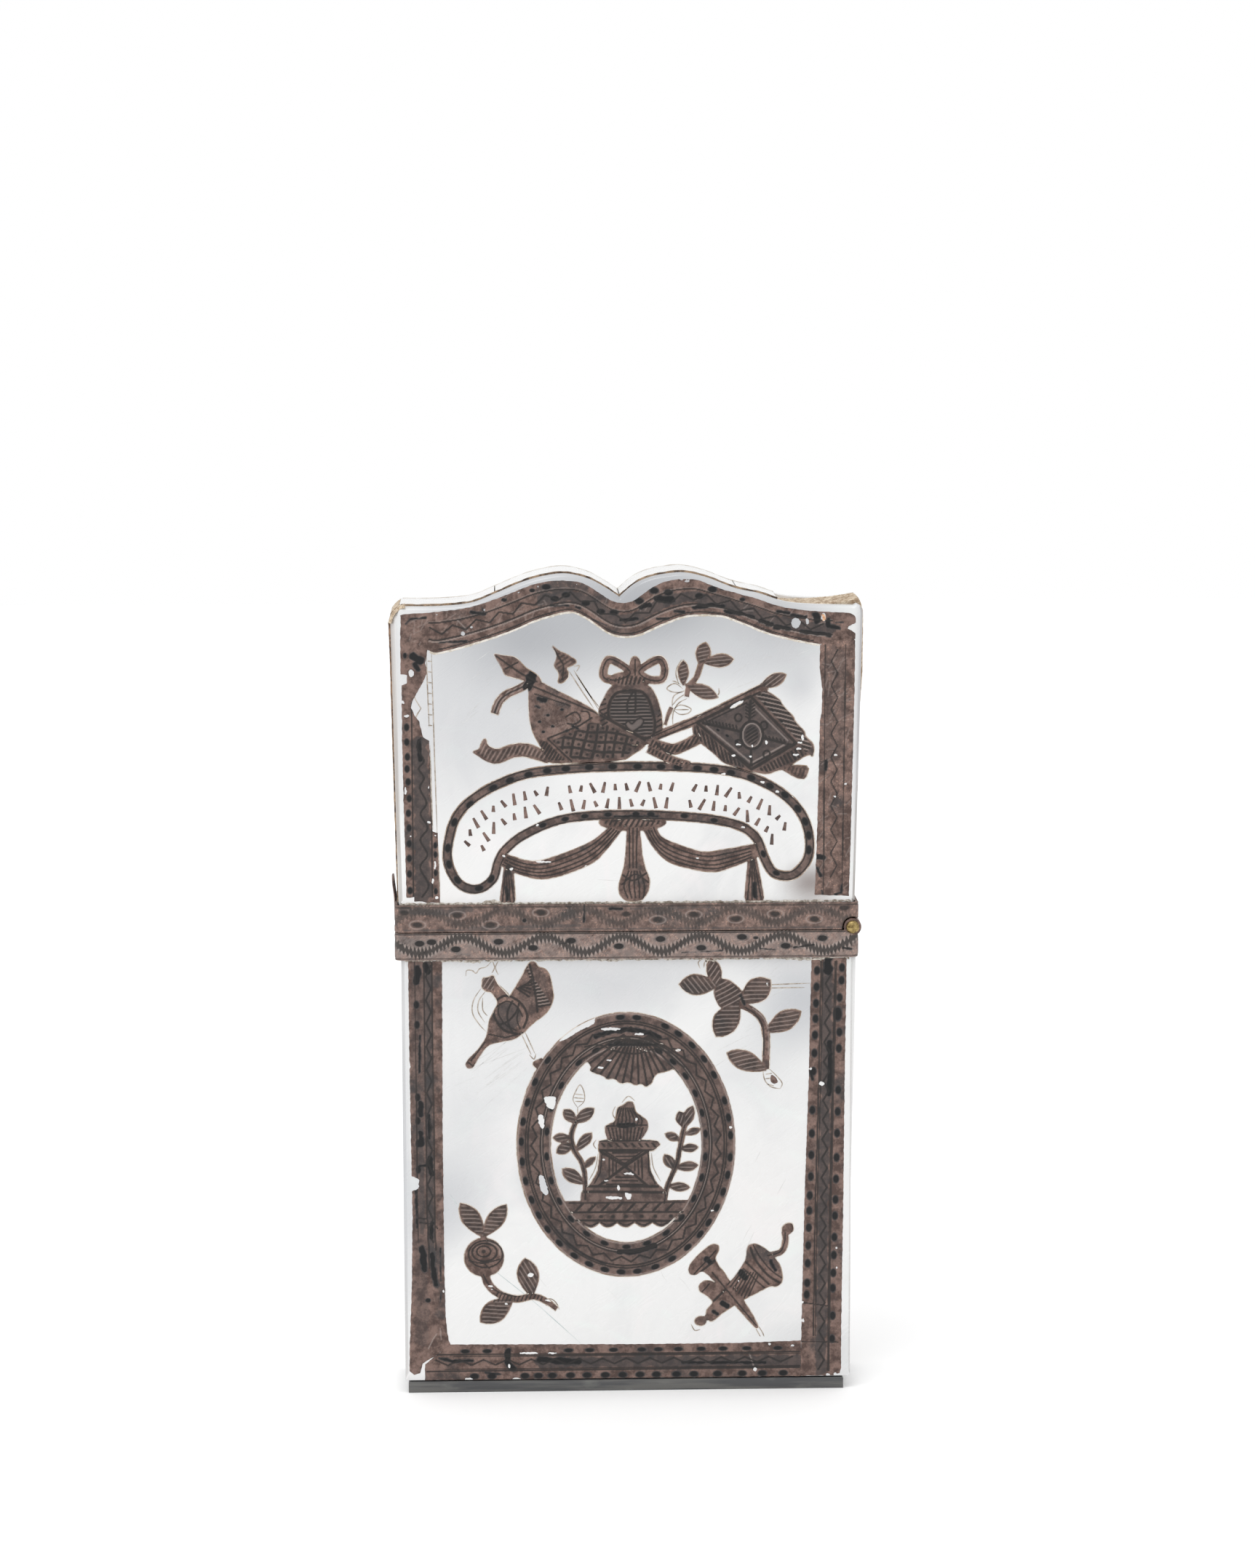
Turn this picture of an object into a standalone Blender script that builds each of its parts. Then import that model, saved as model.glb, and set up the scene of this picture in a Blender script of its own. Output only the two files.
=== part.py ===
"""A flat upright box of mother-of-pearl with a lid that swings open on a side hinge.

The case and the lid are each glued up from shell plates: a front and a back plate, narrow side strips
between them, and a base plate or a humped top. A silver band clasps the mouth of each half, and both
bands meet at a brass pin. Thin silver cut-outs lie flush in shallow pockets of the plates.

Every size is in millimetres and becomes metres where a mesh is made. X is to the right, Z is up, the
front faces -Y, and the origin is under the middle of the base. Outlines are (x, z) as seen in front.
"""

import math

import bmesh
import bpy
from mathutils import Vector

MM = 0.001

# Shell plates
PLATE = 1.4
FACE_Y = 5.0
GLUE_LINE = 0.2
STRIP_HALF_Y = FACE_Y - PLATE - GLUE_LINE
CASE_HALF_X = 24.35
LID_FOOT_HALF_X = 24.6
LID_TOP_HALF_X = 25.42
CASE_CHAMFER = 0.3
LID_CHAMFER = 0.4

# Heights
BASE_TOP = 1.25
CASE_FOOT = 1.4
CASE_BAND_LOW = 48.1
CASE_BAND_TOP = 51.05
LID_BAND_LOW = 51.15
LID_BAND_TOP = 54.1
RIM_STEP = 0.1
SHOULDER_Z = 85.3

# Silver bands round the two mouths
BAND_HALF_X = 25.04
BAND_HALF_Y = 5.4
BAND_WALL = 0.35
BAND_CORNER = 0.8

# Hinge
HINGE_X = 24.35
HINGE_Z = 51.4
KNUCKLE_R = 0.95
KNUCKLE_BORE_R = 0.42
KNUCKLE_END_Y = 5.35
KNUCKLE_SPLIT_Y = 1.75
KNUCKLE_GAP = 0.1
HINGE_ROOM_R = 1.1
SHELL_ROOM_R = 1.2
PIN_R = 0.35
PIN_HEAD_R = 0.72
PIN_HEAD_Y = 5.4
PIN_HEAD_HIGH = 0.45

# Silver inlay
INLAY = 0.2
POCKET = 0.25
POCKET_ROOM = 0.05
TOP_MARGIN = 0.85

# The lid's top edge runs in two humps from shoulder to shoulder, with a sharp notch between them
NOTCH = (-0.7, 87.4)
TOP_LEFT = [(-24.3, 86.5), (-20, 86.5), (-16.5, 86.85), (-14, 87.8), (-11, 89.05), (-8.5, 89.72),
            (-6.3, 89.9), (-4, 89.35), (-2.2, 88.4), NOTCH]
TOP_RIGHT = [NOTCH, (0.9, 88.75), (2.6, 89.5), (4.4, 89.85), (6.3, 89.95), (8.7, 89.4),
             (11.7, 88.25), (14.2, 87.7), (17, 86.8), (20, 86.5), (24.3, 86.4)]
CORNER_CHIP = [(-24.3, 86.0), (-24.9, 85.5)]
CORNER_ROUND = [(25.15, 86.1)]
BROKEN_STRIP_X = 16.2

SHELL_COLOUR = (0.80, 0.80, 0.78, 1)
BASE_COLOUR = (0.20, 0.20, 0.19, 1)
SILVER_COLOUR = (0.13, 0.09, 0.08, 1)
BRASS_COLOUR = (0.36, 0.26, 0.11, 1)
MASTIC_COLOUR = (0.58, 0.45, 0.30, 1)


def material(name, colour, roughness, metallic):
    """A plain surface with the piece's own colour."""
    made = bpy.data.materials.new(name)
    made.use_nodes = True
    surface = made.node_tree.nodes["Principled BSDF"]
    surface.inputs["Base Color"].default_value = colour
    surface.inputs["Roughness"].default_value = roughness
    surface.inputs["Metallic"].default_value = metallic
    return made


def collection(name, parent):
    made = bpy.data.collections.new(name)
    parent.children.link(made)
    return made


def smooth(points, closed=False, steps=2):
    """A Catmull-Rom curve through the points, cut into a few steps between each pair."""
    count = len(points)
    path = []
    for i in range(count if closed else count - 1):
        places = [i - 1, i, i + 1, i + 2]
        if closed:
            near = [Vector(points[place % count]) for place in places]
        else:
            near = [Vector(points[min(max(place, 0), count - 1)]) for place in places]
        before, start, end, after = near
        for step in range(steps):
            t = step / steps
            path.append(0.5 * (2 * start + (end - before) * t
                               + (2 * before - 5 * start + 4 * end - after) * t ** 2
                               + (3 * start - before - 3 * end + after) * t ** 3))
    if not closed:
        path.append(Vector(points[-1]))
    return path


def area(loop):
    turns = zip(loop, [*loop[1:], loop[0]])
    return sum(a[0] * b[1] - b[0] * a[1] for a, b in turns) / 2


def anticlockwise(loop):
    loop = [Vector(point) for point in loop]
    return loop if area(loop) > 0 else loop[::-1]


def offset(loop, distance):
    """The loop moved outwards, or inwards for a hole, along the mitre at each corner."""
    moved = []
    for before, here, after in zip([loop[-1], *loop[:-1]], loop, [*loop[1:], loop[0]]):
        first = (here - before).normalized()
        second = (after - here).normalized()
        first_out = Vector((first.y, -first.x))
        second_out = Vector((second.y, -second.x))
        spread = max(1 + first_out.dot(second_out), 0.5)
        moved.append(here + (first_out + second_out) * distance / spread)
    return moved


def outline(points):
    """A patch with straight sides."""
    return [anticlockwise(points)]


def oval(x, z, half_x, half_z, count=14):
    angles = [2 * math.pi * i / count for i in range(count)]
    return [[Vector((x + half_x * math.cos(a), z + half_z * math.sin(a))) for a in angles]]


def ring(x, z, outer, inner, count=28):
    """An oval ring: the outer oval, and the inner one turned round as a hole."""
    return [oval(x, z, *outer, count)[0], oval(x, z, *inner, count)[0][::-1]]


def leaf(base, tip, width, steps=3):
    """A leaf that is pointed at its tip and widest past the middle."""
    base, tip = Vector(base), Vector(tip)
    along = tip - base
    side = Vector((-along.y, along.x)).normalized() * width / 2
    shares = [i / steps for i in range(steps)]
    swell = [math.sin(math.pi * share ** 1.25) ** 0.75 if share else 0.12 for share in shares]
    right = [base + along * share - side * wide for share, wide in zip(shares, swell)]
    left = [base + along * share + side * wide for share, wide in zip(shares, swell)]
    return [anticlockwise([*right, tip, *left[::-1]])]


def ribbon(path, width, steps=2):
    """A strip of even width along a smooth open path."""
    line = smooth(path, steps=steps)
    sides = []
    for before, here, after in zip([line[0], *line[:-1]], line, [*line[1:], line[-1]]):
        along = (after - before).normalized()
        sides.append(Vector((-along.y, along.x)) * width / 2)
    left = [point + side for point, side in zip(line, sides)]
    right = [point - side for point, side in zip(line, sides)]
    return [anticlockwise(right + left[::-1])]


def loop_ribbon(path, width, steps=2):
    """A strip of even width along a smooth closed path, with the space inside it as a hole."""
    line = anticlockwise(smooth(path, closed=True, steps=steps))
    return [offset(line, width / 2), offset(line, -width / 2)[::-1]]


def between(upper, lower, steps=2):
    """A hanging cloth between its upper and its lower edge."""
    return [anticlockwise(smooth(lower, steps=steps) + smooth(upper, steps=steps)[::-1])]


def add(name, mesh, home, look):
    made = bpy.data.objects.new(name, mesh)
    home.objects.link(made)
    if look:
        mesh.materials.append(look)
    return made


def flat_solid(name, loops, low_y, high_y, home, look=None):
    """A plate cut to an outline in the front plane, with holes, as a filled curve made into a mesh."""
    curve = bpy.data.curves.new(name, "CURVE")
    curve.dimensions = "2D"
    curve.fill_mode = "BOTH"
    curve.extrude = (high_y - low_y) / 2 * MM
    for loop in loops:
        spline = curve.splines.new("POLY")
        spline.points.add(len(loop) - 1)
        for point, (x, z) in zip(spline.points, loop):
            point.co = (x * MM, z * MM, 0, 1)
        spline.use_cyclic_u = True
    drawn = bpy.data.objects.new(name + "_outline", curve)
    bpy.context.scene.collection.objects.link(drawn)
    drawn.location.y = (low_y + high_y) / 2 * MM
    drawn.rotation_euler.x = math.pi / 2
    bpy.context.view_layer.update()
    ready = drawn.evaluated_get(bpy.context.evaluated_depsgraph_get())
    mesh = bpy.data.meshes.new_from_object(ready)
    mesh.name = name
    made = add(name, mesh, home, look)
    made.matrix_world = drawn.matrix_world
    bpy.data.objects.remove(drawn)
    shape = bmesh.new()
    shape.from_mesh(mesh)
    bmesh.ops.remove_doubles(shape, verts=shape.verts, dist=1e-7)
    if len(loops) == 1:
        bmesh.ops.dissolve_limit(shape, angle_limit=0.001, verts=shape.verts, edges=shape.edges)
    shape.to_mesh(mesh)
    shape.free()
    return made


def block(name, low, high, home, look=None):
    """A box between two corners."""
    mesh = bpy.data.meshes.new(name)
    shape = bmesh.new()
    bmesh.ops.create_cube(shape, size=1)
    size = [(b - a) * MM for a, b in zip(low, high)]
    bmesh.ops.scale(shape, vec=size, verts=shape.verts)
    shape.to_mesh(mesh)
    shape.free()
    made = add(name, mesh, home, look)
    made.location = [(a + b) / 2 * MM for a, b in zip(low, high)]
    return made


def rod(name, radius, low_y, high_y, home, sides=20):
    """A round bar along the hinge's axis."""
    mesh = bpy.data.meshes.new(name)
    shape = bmesh.new()
    bmesh.ops.create_cone(shape, cap_ends=True, segments=sides, radius1=radius * MM,
                          radius2=radius * MM, depth=(high_y - low_y) * MM)
    shape.to_mesh(mesh)
    shape.free()
    made = add(name, mesh, home, None)
    made.rotation_euler.x = math.pi / 2
    made.location = (HINGE_X * MM, (low_y + high_y) / 2 * MM, HINGE_Z * MM)
    return made


def helper(made):
    made.hide_render = True
    made.display_type = "WIRE"
    return made


def boolean(made, name, operation, others):
    """Notes a cut or a join, which is made last, when every solid is there."""
    cuts.append((made, name, operation, others))


def make_cuts():
    """Cuts or joins each noted piece with one object, or with every object of a collection."""
    for made, name, operation, others in cuts:
        change = made.modifiers.new(name, "BOOLEAN")
        change.operation = operation
        change.solver = "EXACT"
        if isinstance(others, bpy.types.Collection):
            change.operand_type = "COLLECTION"
            change.collection = others
        else:
            change.object = others


def chamfer(made, width, sloped):
    """Slopes those edges of a plate's outer face whose two ends pass the test."""
    mesh = made.data
    weights = mesh.attributes.new("bevel_weight_edge", "FLOAT", "EDGE").data
    outer_y = max(abs((made.matrix_world @ vertex.co).y) for vertex in mesh.vertices)
    for edge in mesh.edges:
        ends = [made.matrix_world @ mesh.vertices[index].co / MM for index in edge.vertices]
        if all(abs(abs(end.y) - outer_y / MM) < 0.01 for end in ends):
            weights[edge.index].value = float(sloped(*ends))
    slope = made.modifiers.new("chamfer", "BEVEL")
    slope.limit_method = "WEIGHT"
    slope.width = width * MM
    slope.segments = 1
    slope.use_clamp_overlap = False


def pockets(plate, home):
    """A plate's own collection of pocket cutters, which it loses from its outer face."""
    cutters = collection(plate.name + "_pockets", home)
    boolean(plate, "pockets", "DIFFERENCE", cutters)
    return cutters


def inlay(name, cutters, side, *patches):
    """One piece of sheet silver, joined from patches, and the pocket that it lies in.

    side is -1 on the front and 1 on the back. The first patch is the piece itself, and the others
    are joined to it.
    """
    outer = side * FACE_Y
    sheet = sorted((outer, outer - side * INLAY))
    cut = sorted((outer + side * POCKET, outer - side * POCKET))
    piece = flat_solid(name, patches[0], *sheet, nodes, silver)
    if len(patches) > 1:
        joined = collection(name + "_patches", helpers)
        for number, patch in enumerate(patches[1:], 1):
            helper(flat_solid(f"{name}_patch_{number}", patch, *sheet, joined))
        boolean(piece, "patches", "UNION", joined)
    for number, patch in enumerate(patches):
        room = [offset(loop, POCKET_ROOM) for loop in patch]
        helper(flat_solid(f"{name}_room_{number}", room, *cut, cutters))
    return piece


for old in list(bpy.data.objects):
    bpy.data.objects.remove(old)

cuts = []
nodes = collection("shell_box", bpy.context.scene.collection)
helpers = collection("cutters", bpy.context.scene.collection)
shell = material("shell", SHELL_COLOUR, 0.25, 0)
base_shell = material("base_shell", BASE_COLOUR, 0.4, 0)
silver = material("silver", SILVER_COLOUR, 0.55, 0.6)
brass = material("brass", BRASS_COLOUR, 0.35, 1)
mastic = material("mastic", MASTIC_COLOUR, 0.8, 0)

hinge_room = helper(rod("shell_hinge_room", SHELL_ROOM_R, -2 * FACE_Y, 2 * FACE_Y, helpers))


def case_plate(name, side):
    """A straight case plate, which stands between the base plate and the band's rim."""
    inner, outer = sorted((side * (FACE_Y - PLATE), side * FACE_Y))
    shape = outline([(-CASE_HALF_X, CASE_FOOT), (CASE_HALF_X, CASE_FOOT),
                     (CASE_HALF_X, CASE_BAND_TOP - RIM_STEP), (-CASE_HALF_X, CASE_BAND_TOP - RIM_STEP)])
    plate = flat_solid(name, shape, inner, outer, nodes, shell)
    chamfer(plate, CASE_CHAMFER, lambda a, b: abs(a.x - b.x) < 1)
    boolean(plate, "hinge_room", "DIFFERENCE", hinge_room)
    return plate


def lid_plate(name, side):
    """A lid plate: straight behind the band, wider above it, with the humped top edge."""
    inner, outer = sorted((side * (FACE_Y - PLATE), side * FACE_Y))
    step_z = LID_BAND_TOP + RIM_STEP
    top = smooth(TOP_LEFT) + smooth(TOP_RIGHT)[1:]
    shape = outline([(-LID_FOOT_HALF_X, LID_BAND_LOW + RIM_STEP), (LID_FOOT_HALF_X, LID_BAND_LOW + RIM_STEP),
                     (LID_FOOT_HALF_X, step_z), (LID_FOOT_HALF_X + RIM_STEP, step_z),
                     (LID_TOP_HALF_X, SHOULDER_Z), *CORNER_ROUND[::-1], *top[::-1], *CORNER_CHIP,
                     (-LID_TOP_HALF_X, SHOULDER_Z), (-LID_FOOT_HALF_X - RIM_STEP, step_z),
                     (-LID_FOOT_HALF_X, step_z)])
    plate = flat_solid(name, shape, inner, outer, nodes, shell)
    chamfer(plate, LID_CHAMFER, lambda a, b: max(a.z, b.z) > SHOULDER_Z - 1)
    boolean(plate, "hinge_room", "DIFFERENCE", hinge_room)
    return plate


# The case: two plates, two strips between them and a base plate across its foot
case_front_pockets = pockets(case_plate("case_front_plate", -1), helpers)
case_back_pockets = pockets(case_plate("case_back_plate", 1), helpers)
SIDE_STRIP_TOP = 50.1
block("case_left_strip", (-CASE_HALF_X, -STRIP_HALF_Y, CASE_FOOT),
      (-CASE_HALF_X + PLATE, STRIP_HALF_Y, CASE_BAND_TOP - RIM_STEP), nodes, shell)
block("case_right_strip", (CASE_HALF_X - PLATE, -STRIP_HALF_Y, CASE_FOOT),
      (CASE_HALF_X, STRIP_HALF_Y, SIDE_STRIP_TOP), nodes, shell)
BASE_LEFT, BASE_RIGHT = -24.0, 23.6
base = block("case_base_plate", (BASE_LEFT, -FACE_Y, 0), (BASE_RIGHT, FACE_Y, BASE_TOP), nodes, base_shell)
rounding = base.modifiers.new("rounding", "BEVEL")
rounding.width = 0.25 * MM
rounding.segments = 1

# The lid: two humped plates, two strips, and the top strips that follow the humps
lid_front_pockets = pockets(lid_plate("lid_front_plate", -1), helpers)
lid_back_pockets = pockets(lid_plate("lid_back_plate", 1), helpers)
LID_STRIP_TOP = 84.5
LID_STRIP_FOOT = 52.7


def lid_side_strip(name, sign, foot):
    """A side strip that leans outwards with the plates' edges."""
    foot_x = sign * (LID_FOOT_HALF_X + RIM_STEP)
    top_x = sign * (LID_TOP_HALF_X - RIM_STEP)
    step_z = LID_BAND_TOP + RIM_STEP
    under = sign * LID_FOOT_HALF_X
    shape = outline([(under, foot), (under, step_z), (foot_x, step_z), (top_x, LID_STRIP_TOP),
                     (top_x - sign * PLATE, LID_STRIP_TOP), (under - sign * PLATE, foot)])
    flat_solid(name, shape, -STRIP_HALF_Y, STRIP_HALF_Y, nodes, shell)


lid_side_strip("lid_left_strip", -1, LID_BAND_LOW + RIM_STEP)
lid_side_strip("lid_right_strip", 1, LID_STRIP_FOOT)


def top_edge(low_x, high_x):
    """The lid's top edge between two places, from left to right."""
    line = smooth(TOP_LEFT) + smooth(TOP_RIGHT)[1:]
    inside = [point for point in line if low_x + 0.3 < point.x < high_x - 0.3]

    def height(x):
        for a, b in zip(line, line[1:]):
            if a.x <= x <= b.x:
                return a.y + (b.y - a.y) * (x - a.x) / (b.x - a.x)
        return (line[0] if x < line[0].x else line[-1]).y

    return [Vector((low_x, height(low_x))), *inside, Vector((high_x, height(high_x)))]


def top_strip(name, low_x, high_x):
    """One length of the shell that covers the lid's top, bent to the hump under it."""
    upper = top_edge(low_x, high_x)
    lower = [point - Vector((0, PLATE)) for point in upper]
    flat_solid(name, outline(lower + upper[::-1]), -STRIP_HALF_Y, STRIP_HALF_Y, nodes, shell)


TOP_JOINTS = (-24.2, -14.0, NOTCH[0], 11.8, BROKEN_STRIP_X)
for number, (left_x, right_x) in enumerate(zip(TOP_JOINTS, TOP_JOINTS[1:]), 1):
    top_strip(f"lid_top_strip_{number}", left_x + GLUE_LINE / 2, right_x - GLUE_LINE / 2)

# Past its broken end the last strip is lost, and a wedge of mastic fills the place up to a lump
MASTIC_TOP = [(BROKEN_STRIP_X + GLUE_LINE, 86.75), (19, 86.8), (22.4, 86.95), (23.6, 87.35), (24.6, 87.35),
              (25.0, 86.6)]
mastic_wedge = outline([*MASTIC_TOP, (25.0, 85.0), (BROKEN_STRIP_X + GLUE_LINE, 85.0)])
flat_solid("corner_mastic", mastic_wedge, -STRIP_HALF_Y, STRIP_HALF_Y, nodes, mastic)


def rounded_box(half_x, half_y, corner, steps=3):
    """A rounded rectangle in plan, from its four quarter arcs."""
    loop = []
    for quarter, (sign_x, sign_y) in enumerate([(1, 1), (-1, 1), (-1, -1), (1, -1)]):
        centre = Vector((sign_x * (half_x - corner), sign_y * (half_y - corner)))
        for step in range(steps + 1):
            angle = math.pi / 2 * (quarter + step / steps)
            loop.append(centre + corner * Vector((math.cos(angle), math.sin(angle))))
    return loop


def band(name, low_z, high_z):
    """A hoop of sheet silver round one mouth."""
    outer = rounded_box(BAND_HALF_X, BAND_HALF_Y, BAND_CORNER)
    inner_x, inner_y = BAND_HALF_X - BAND_WALL, BAND_HALF_Y - BAND_WALL
    inner = outline([(-inner_x, -inner_y), (inner_x, -inner_y), (inner_x, inner_y), (-inner_x, inner_y)])
    made = flat_solid(name, [outer, inner[0][::-1]], -(high_z - low_z) / 2, (high_z - low_z) / 2, nodes, silver)
    made.rotation_euler.x = 0
    made.location = (0, 0, (low_z + high_z) / 2 * MM)
    return made


# Each band carries its share of the hinge: the case's band two knuckles, the lid's band the middle one
case_band = band("case_band", CASE_BAND_LOW, CASE_BAND_TOP)
lid_band = band("lid_band", LID_BAND_LOW, LID_BAND_TOP)
middle = KNUCKLE_SPLIT_Y
beyond = 2 * FACE_Y
case_knuckles = collection("case_knuckles", helpers)
for number, sign in enumerate((-1, 1), 1):
    low_y, high_y = sorted((sign * (middle + KNUCKLE_GAP / 2), sign * KNUCKLE_END_Y))
    helper(rod(f"case_knuckle_{number}", KNUCKLE_R, low_y, high_y, case_knuckles))
lid_knuckle = helper(rod("lid_knuckle", KNUCKLE_R, KNUCKLE_GAP / 2 - middle, middle - KNUCKLE_GAP / 2, helpers))
lid_room = collection("case_knuckle_room", helpers)
for number, sign in enumerate((-1, 1), 1):
    low_y, high_y = sorted((sign * (middle - KNUCKLE_GAP / 2), sign * beyond))
    helper(rod(f"case_knuckle_room_{number}", HINGE_ROOM_R, low_y, high_y, lid_room))
case_room = helper(rod("lid_knuckle_room", HINGE_ROOM_R, -middle - KNUCKLE_GAP / 2, middle + KNUCKLE_GAP / 2, helpers))
pin_bore = helper(rod("pin_bore", KNUCKLE_BORE_R, -beyond, beyond, helpers, sides=14))

# The thumb tongue stands up from the lid's band on the side away from the hinge
TONGUE_HALF_Y = 2.2
TONGUE_TOP = 56.7
TONGUE = [(-25.04, 53.0), (-24.78, 53.0), (-24.86, 54.6), (-25.02, 55.6), (-25.1, TONGUE_TOP),
          (-25.38, TONGUE_TOP), (-25.36, 55.6), (-25.2, 54.6)]
tongue = helper(flat_solid("tongue", outline(TONGUE), -TONGUE_HALF_Y, TONGUE_HALF_Y, helpers))

boolean(case_band, "lid_knuckle_room", "DIFFERENCE", case_room)
boolean(case_band, "knuckles", "UNION", case_knuckles)
boolean(case_band, "pin_bore", "DIFFERENCE", pin_bore)
boolean(lid_band, "case_knuckle_room", "DIFFERENCE", lid_room)
boolean(lid_band, "knuckle", "UNION", lid_knuckle)
boolean(lid_band, "tongue", "UNION", tongue)
boolean(lid_band, "pin_bore", "DIFFERENCE", pin_bore)


def pin():
    """The hinge pin, turned with a domed head at each end of its shaft."""
    dome = [(PIN_HEAD_R * math.cos(a), PIN_HEAD_Y + PIN_HEAD_HIGH * math.sin(a))
            for a in (math.pi / 2 * (1 - i / 3) for i in range(4))]
    dome[0] = (0, PIN_HEAD_Y + PIN_HEAD_HIGH)
    half = [*dome, (PIN_R, PIN_HEAD_Y)]
    profile = half + [(radius, -height) for radius, height in half[::-1]]
    mesh = bpy.data.meshes.new("hinge_pin")
    points = [(radius * MM, 0, height * MM) for radius, height in profile]
    mesh.from_pydata(points, [(i, i + 1) for i in range(len(points) - 1)], [])
    made = add("hinge_pin", mesh, nodes, brass)
    turned = made.modifiers.new("turned", "SCREW")
    turned.steps = 18
    turned.render_steps = 18
    turned.use_merge_vertices = True
    turned.merge_threshold = 1e-6
    made.rotation_euler.x = math.pi / 2
    made.location = (HINGE_X * MM, 0, HINGE_Z * MM)
    return made


pin()

# Silver on the lid's front: two upright bands, and the top band between their mitred ends
FRONT, BACK = -1, 1
LID_SILVER_FOOT = 54.25
TOP_SILVER_INNER = [(-21, 81.75), (-18, 81.95), (-16, 82.5), (-11.8, 83.95), (-8.3, 85.25), (-6.2, 85.7),
                    (-3.7, 84.75), (-1.7, 83.4), (-0.2, 83.1), (2, 83.5), (5, 84.8), (7.7, 85.35),
                    (10.7, 85.1), (13.3, 84.1), (16, 83.1), (20.7, 82.15)]


def top_silver():
    """The top band: its outer edge keeps an even margin from the shell's edge."""
    outer = [point - Vector((0, TOP_MARGIN)) for point in top_edge(-23.2, 23.4)]
    left_end = [Vector((-24.1, 83.2)), Vector((-24.0, 85.1))]
    right_end = [Vector((24.5, 84.9)), Vector((24.6, 84.1))]
    return [anticlockwise(left_end + outer + right_end + smooth(TOP_SILVER_INNER)[::-1])]


LEFT_SILVER = [(-24.12, 83.0), (-23.7, LID_SILVER_FOOT), (-20.15, LID_SILVER_FOOT), (-20.95, 81.55)]
LEFT_LOSS = [(-22.7, 72.0), (-21.4, 72.4), (-21.35, 81.2), (-22.0, 80.9), (-23.2, 78.9), (-22.6, 76.5)]
RIGHT_SILVER = [(20.45, LID_SILVER_FOOT), (24.0, LID_SILVER_FOOT), (24.6, 82.6), (23.8, 83.4), (20.75, 81.95)]
inlay("lid_top_inlay", lid_front_pockets, FRONT, top_silver())
inlay("lid_left_inlay", lid_front_pockets, FRONT,
      [anticlockwise(LEFT_SILVER), anticlockwise(LEFT_LOSS)[::-1]])
inlay("lid_right_inlay", lid_front_pockets, FRONT, outline(RIGHT_SILVER))

# The trophy: an oval shield under a bow, with two crossed flags, ribbons and a sprig
inlay("trophy_inlay", lid_front_pockets, FRONT,
      oval(0.5, 74.9, 3.4, 3.4, 18),
      oval(0.4, 78.3, 2.2, 0.9, 10),
      oval(0.95, 79.8, 0.6, 1.05, 8),
      loop_ribbon([(0.4, 79.1), (-0.9, 80.2), (-1.9, 80.5), (-2.4, 79.6), (-2.3, 78.6), (-1.0, 78.4)], 0.75),
      loop_ribbon([(1.4, 79.2), (2.5, 80.1), (3.6, 80.5), (4.1, 79.6), (3.8, 78.4), (2.4, 78.4)], 0.75),
      outline([(-10.6, 79.1), (-3.4, 75.3), (2.2, 72.1), (0.2, 70.4), (-2.5, 69.9), (-8.3, 69.6),
               (-9.4, 71.6), (-10.0, 72.7), (-10.35, 74.0), (-10.4, 77.0)]),
      outline([(-14.25, 81.3), (-13.3, 79.8), (-13.0, 79.0), (-11.2, 78.5), (-9.9, 77.6), (-9.4, 78.7),
               (-10.6, 79.6), (-11.8, 80.9)]),
      ribbon([(-10.2, 78.2), (-11.4, 77.5), (-12.7, 76.9), (-13.6, 76.1), (-14.1, 74.8)], 0.8),
      ribbon([(-8.8, 70.6), (-10.2, 71.1), (-11.8, 71.2), (-13.4, 70.75), (-14.8, 70.85), (-16.2, 71.0)], 1.05),
      leaf((-14.3, 70.9), (-15.2, 72.4), 1.0),
      ribbon([(1.6, 72.0), (8.3, 74.95), (15.0, 77.9)], 0.75, 1),
      leaf((14.3, 77.5), (17.1, 78.8), 1.3),
      outline([(2.6, 71.9), (4.6, 73.0), (7.3, 74.4), (14.6, 77.6), (20.0, 70.4), (17.6, 69.2), (15.2, 68.6),
               (13.3, 68.85), (9.6, 69.95), (7.6, 70.8), (6.4, 70.2), (4.6, 70.4)]),
      outline([(16.3, 69.5), (19.5, 68.95), (18.9, 67.7), (16.3, 68.5)]),
      ribbon([(3.6, 73.9), (4.9, 76.2), (6.1, 77.8), (7.3, 79.0), (8.1, 80.4)], 0.4),
      leaf((7.9, 79.9), (8.5, 82.3), 1.5),
      leaf((8.2, 80.2), (11.5, 80.5), 1.3),
      leaf((6.1, 77.7), (6.1, 80.4), 1.1),
      leaf((6.3, 77.8), (9.8, 76.4), 1.3))
inlay("arrow_inlay", lid_front_pockets, FRONT,
      outline([(-8.0, 82.1), (-5.4, 80.5), (-5.4, 80.1), (-6.4, 79.7), (-6.2, 78.7), (-6.9, 78.1), (-7.3, 78.1),
               (-7.2, 79.2), (-7.7, 79.9), (-7.4, 80.9)]))

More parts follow.
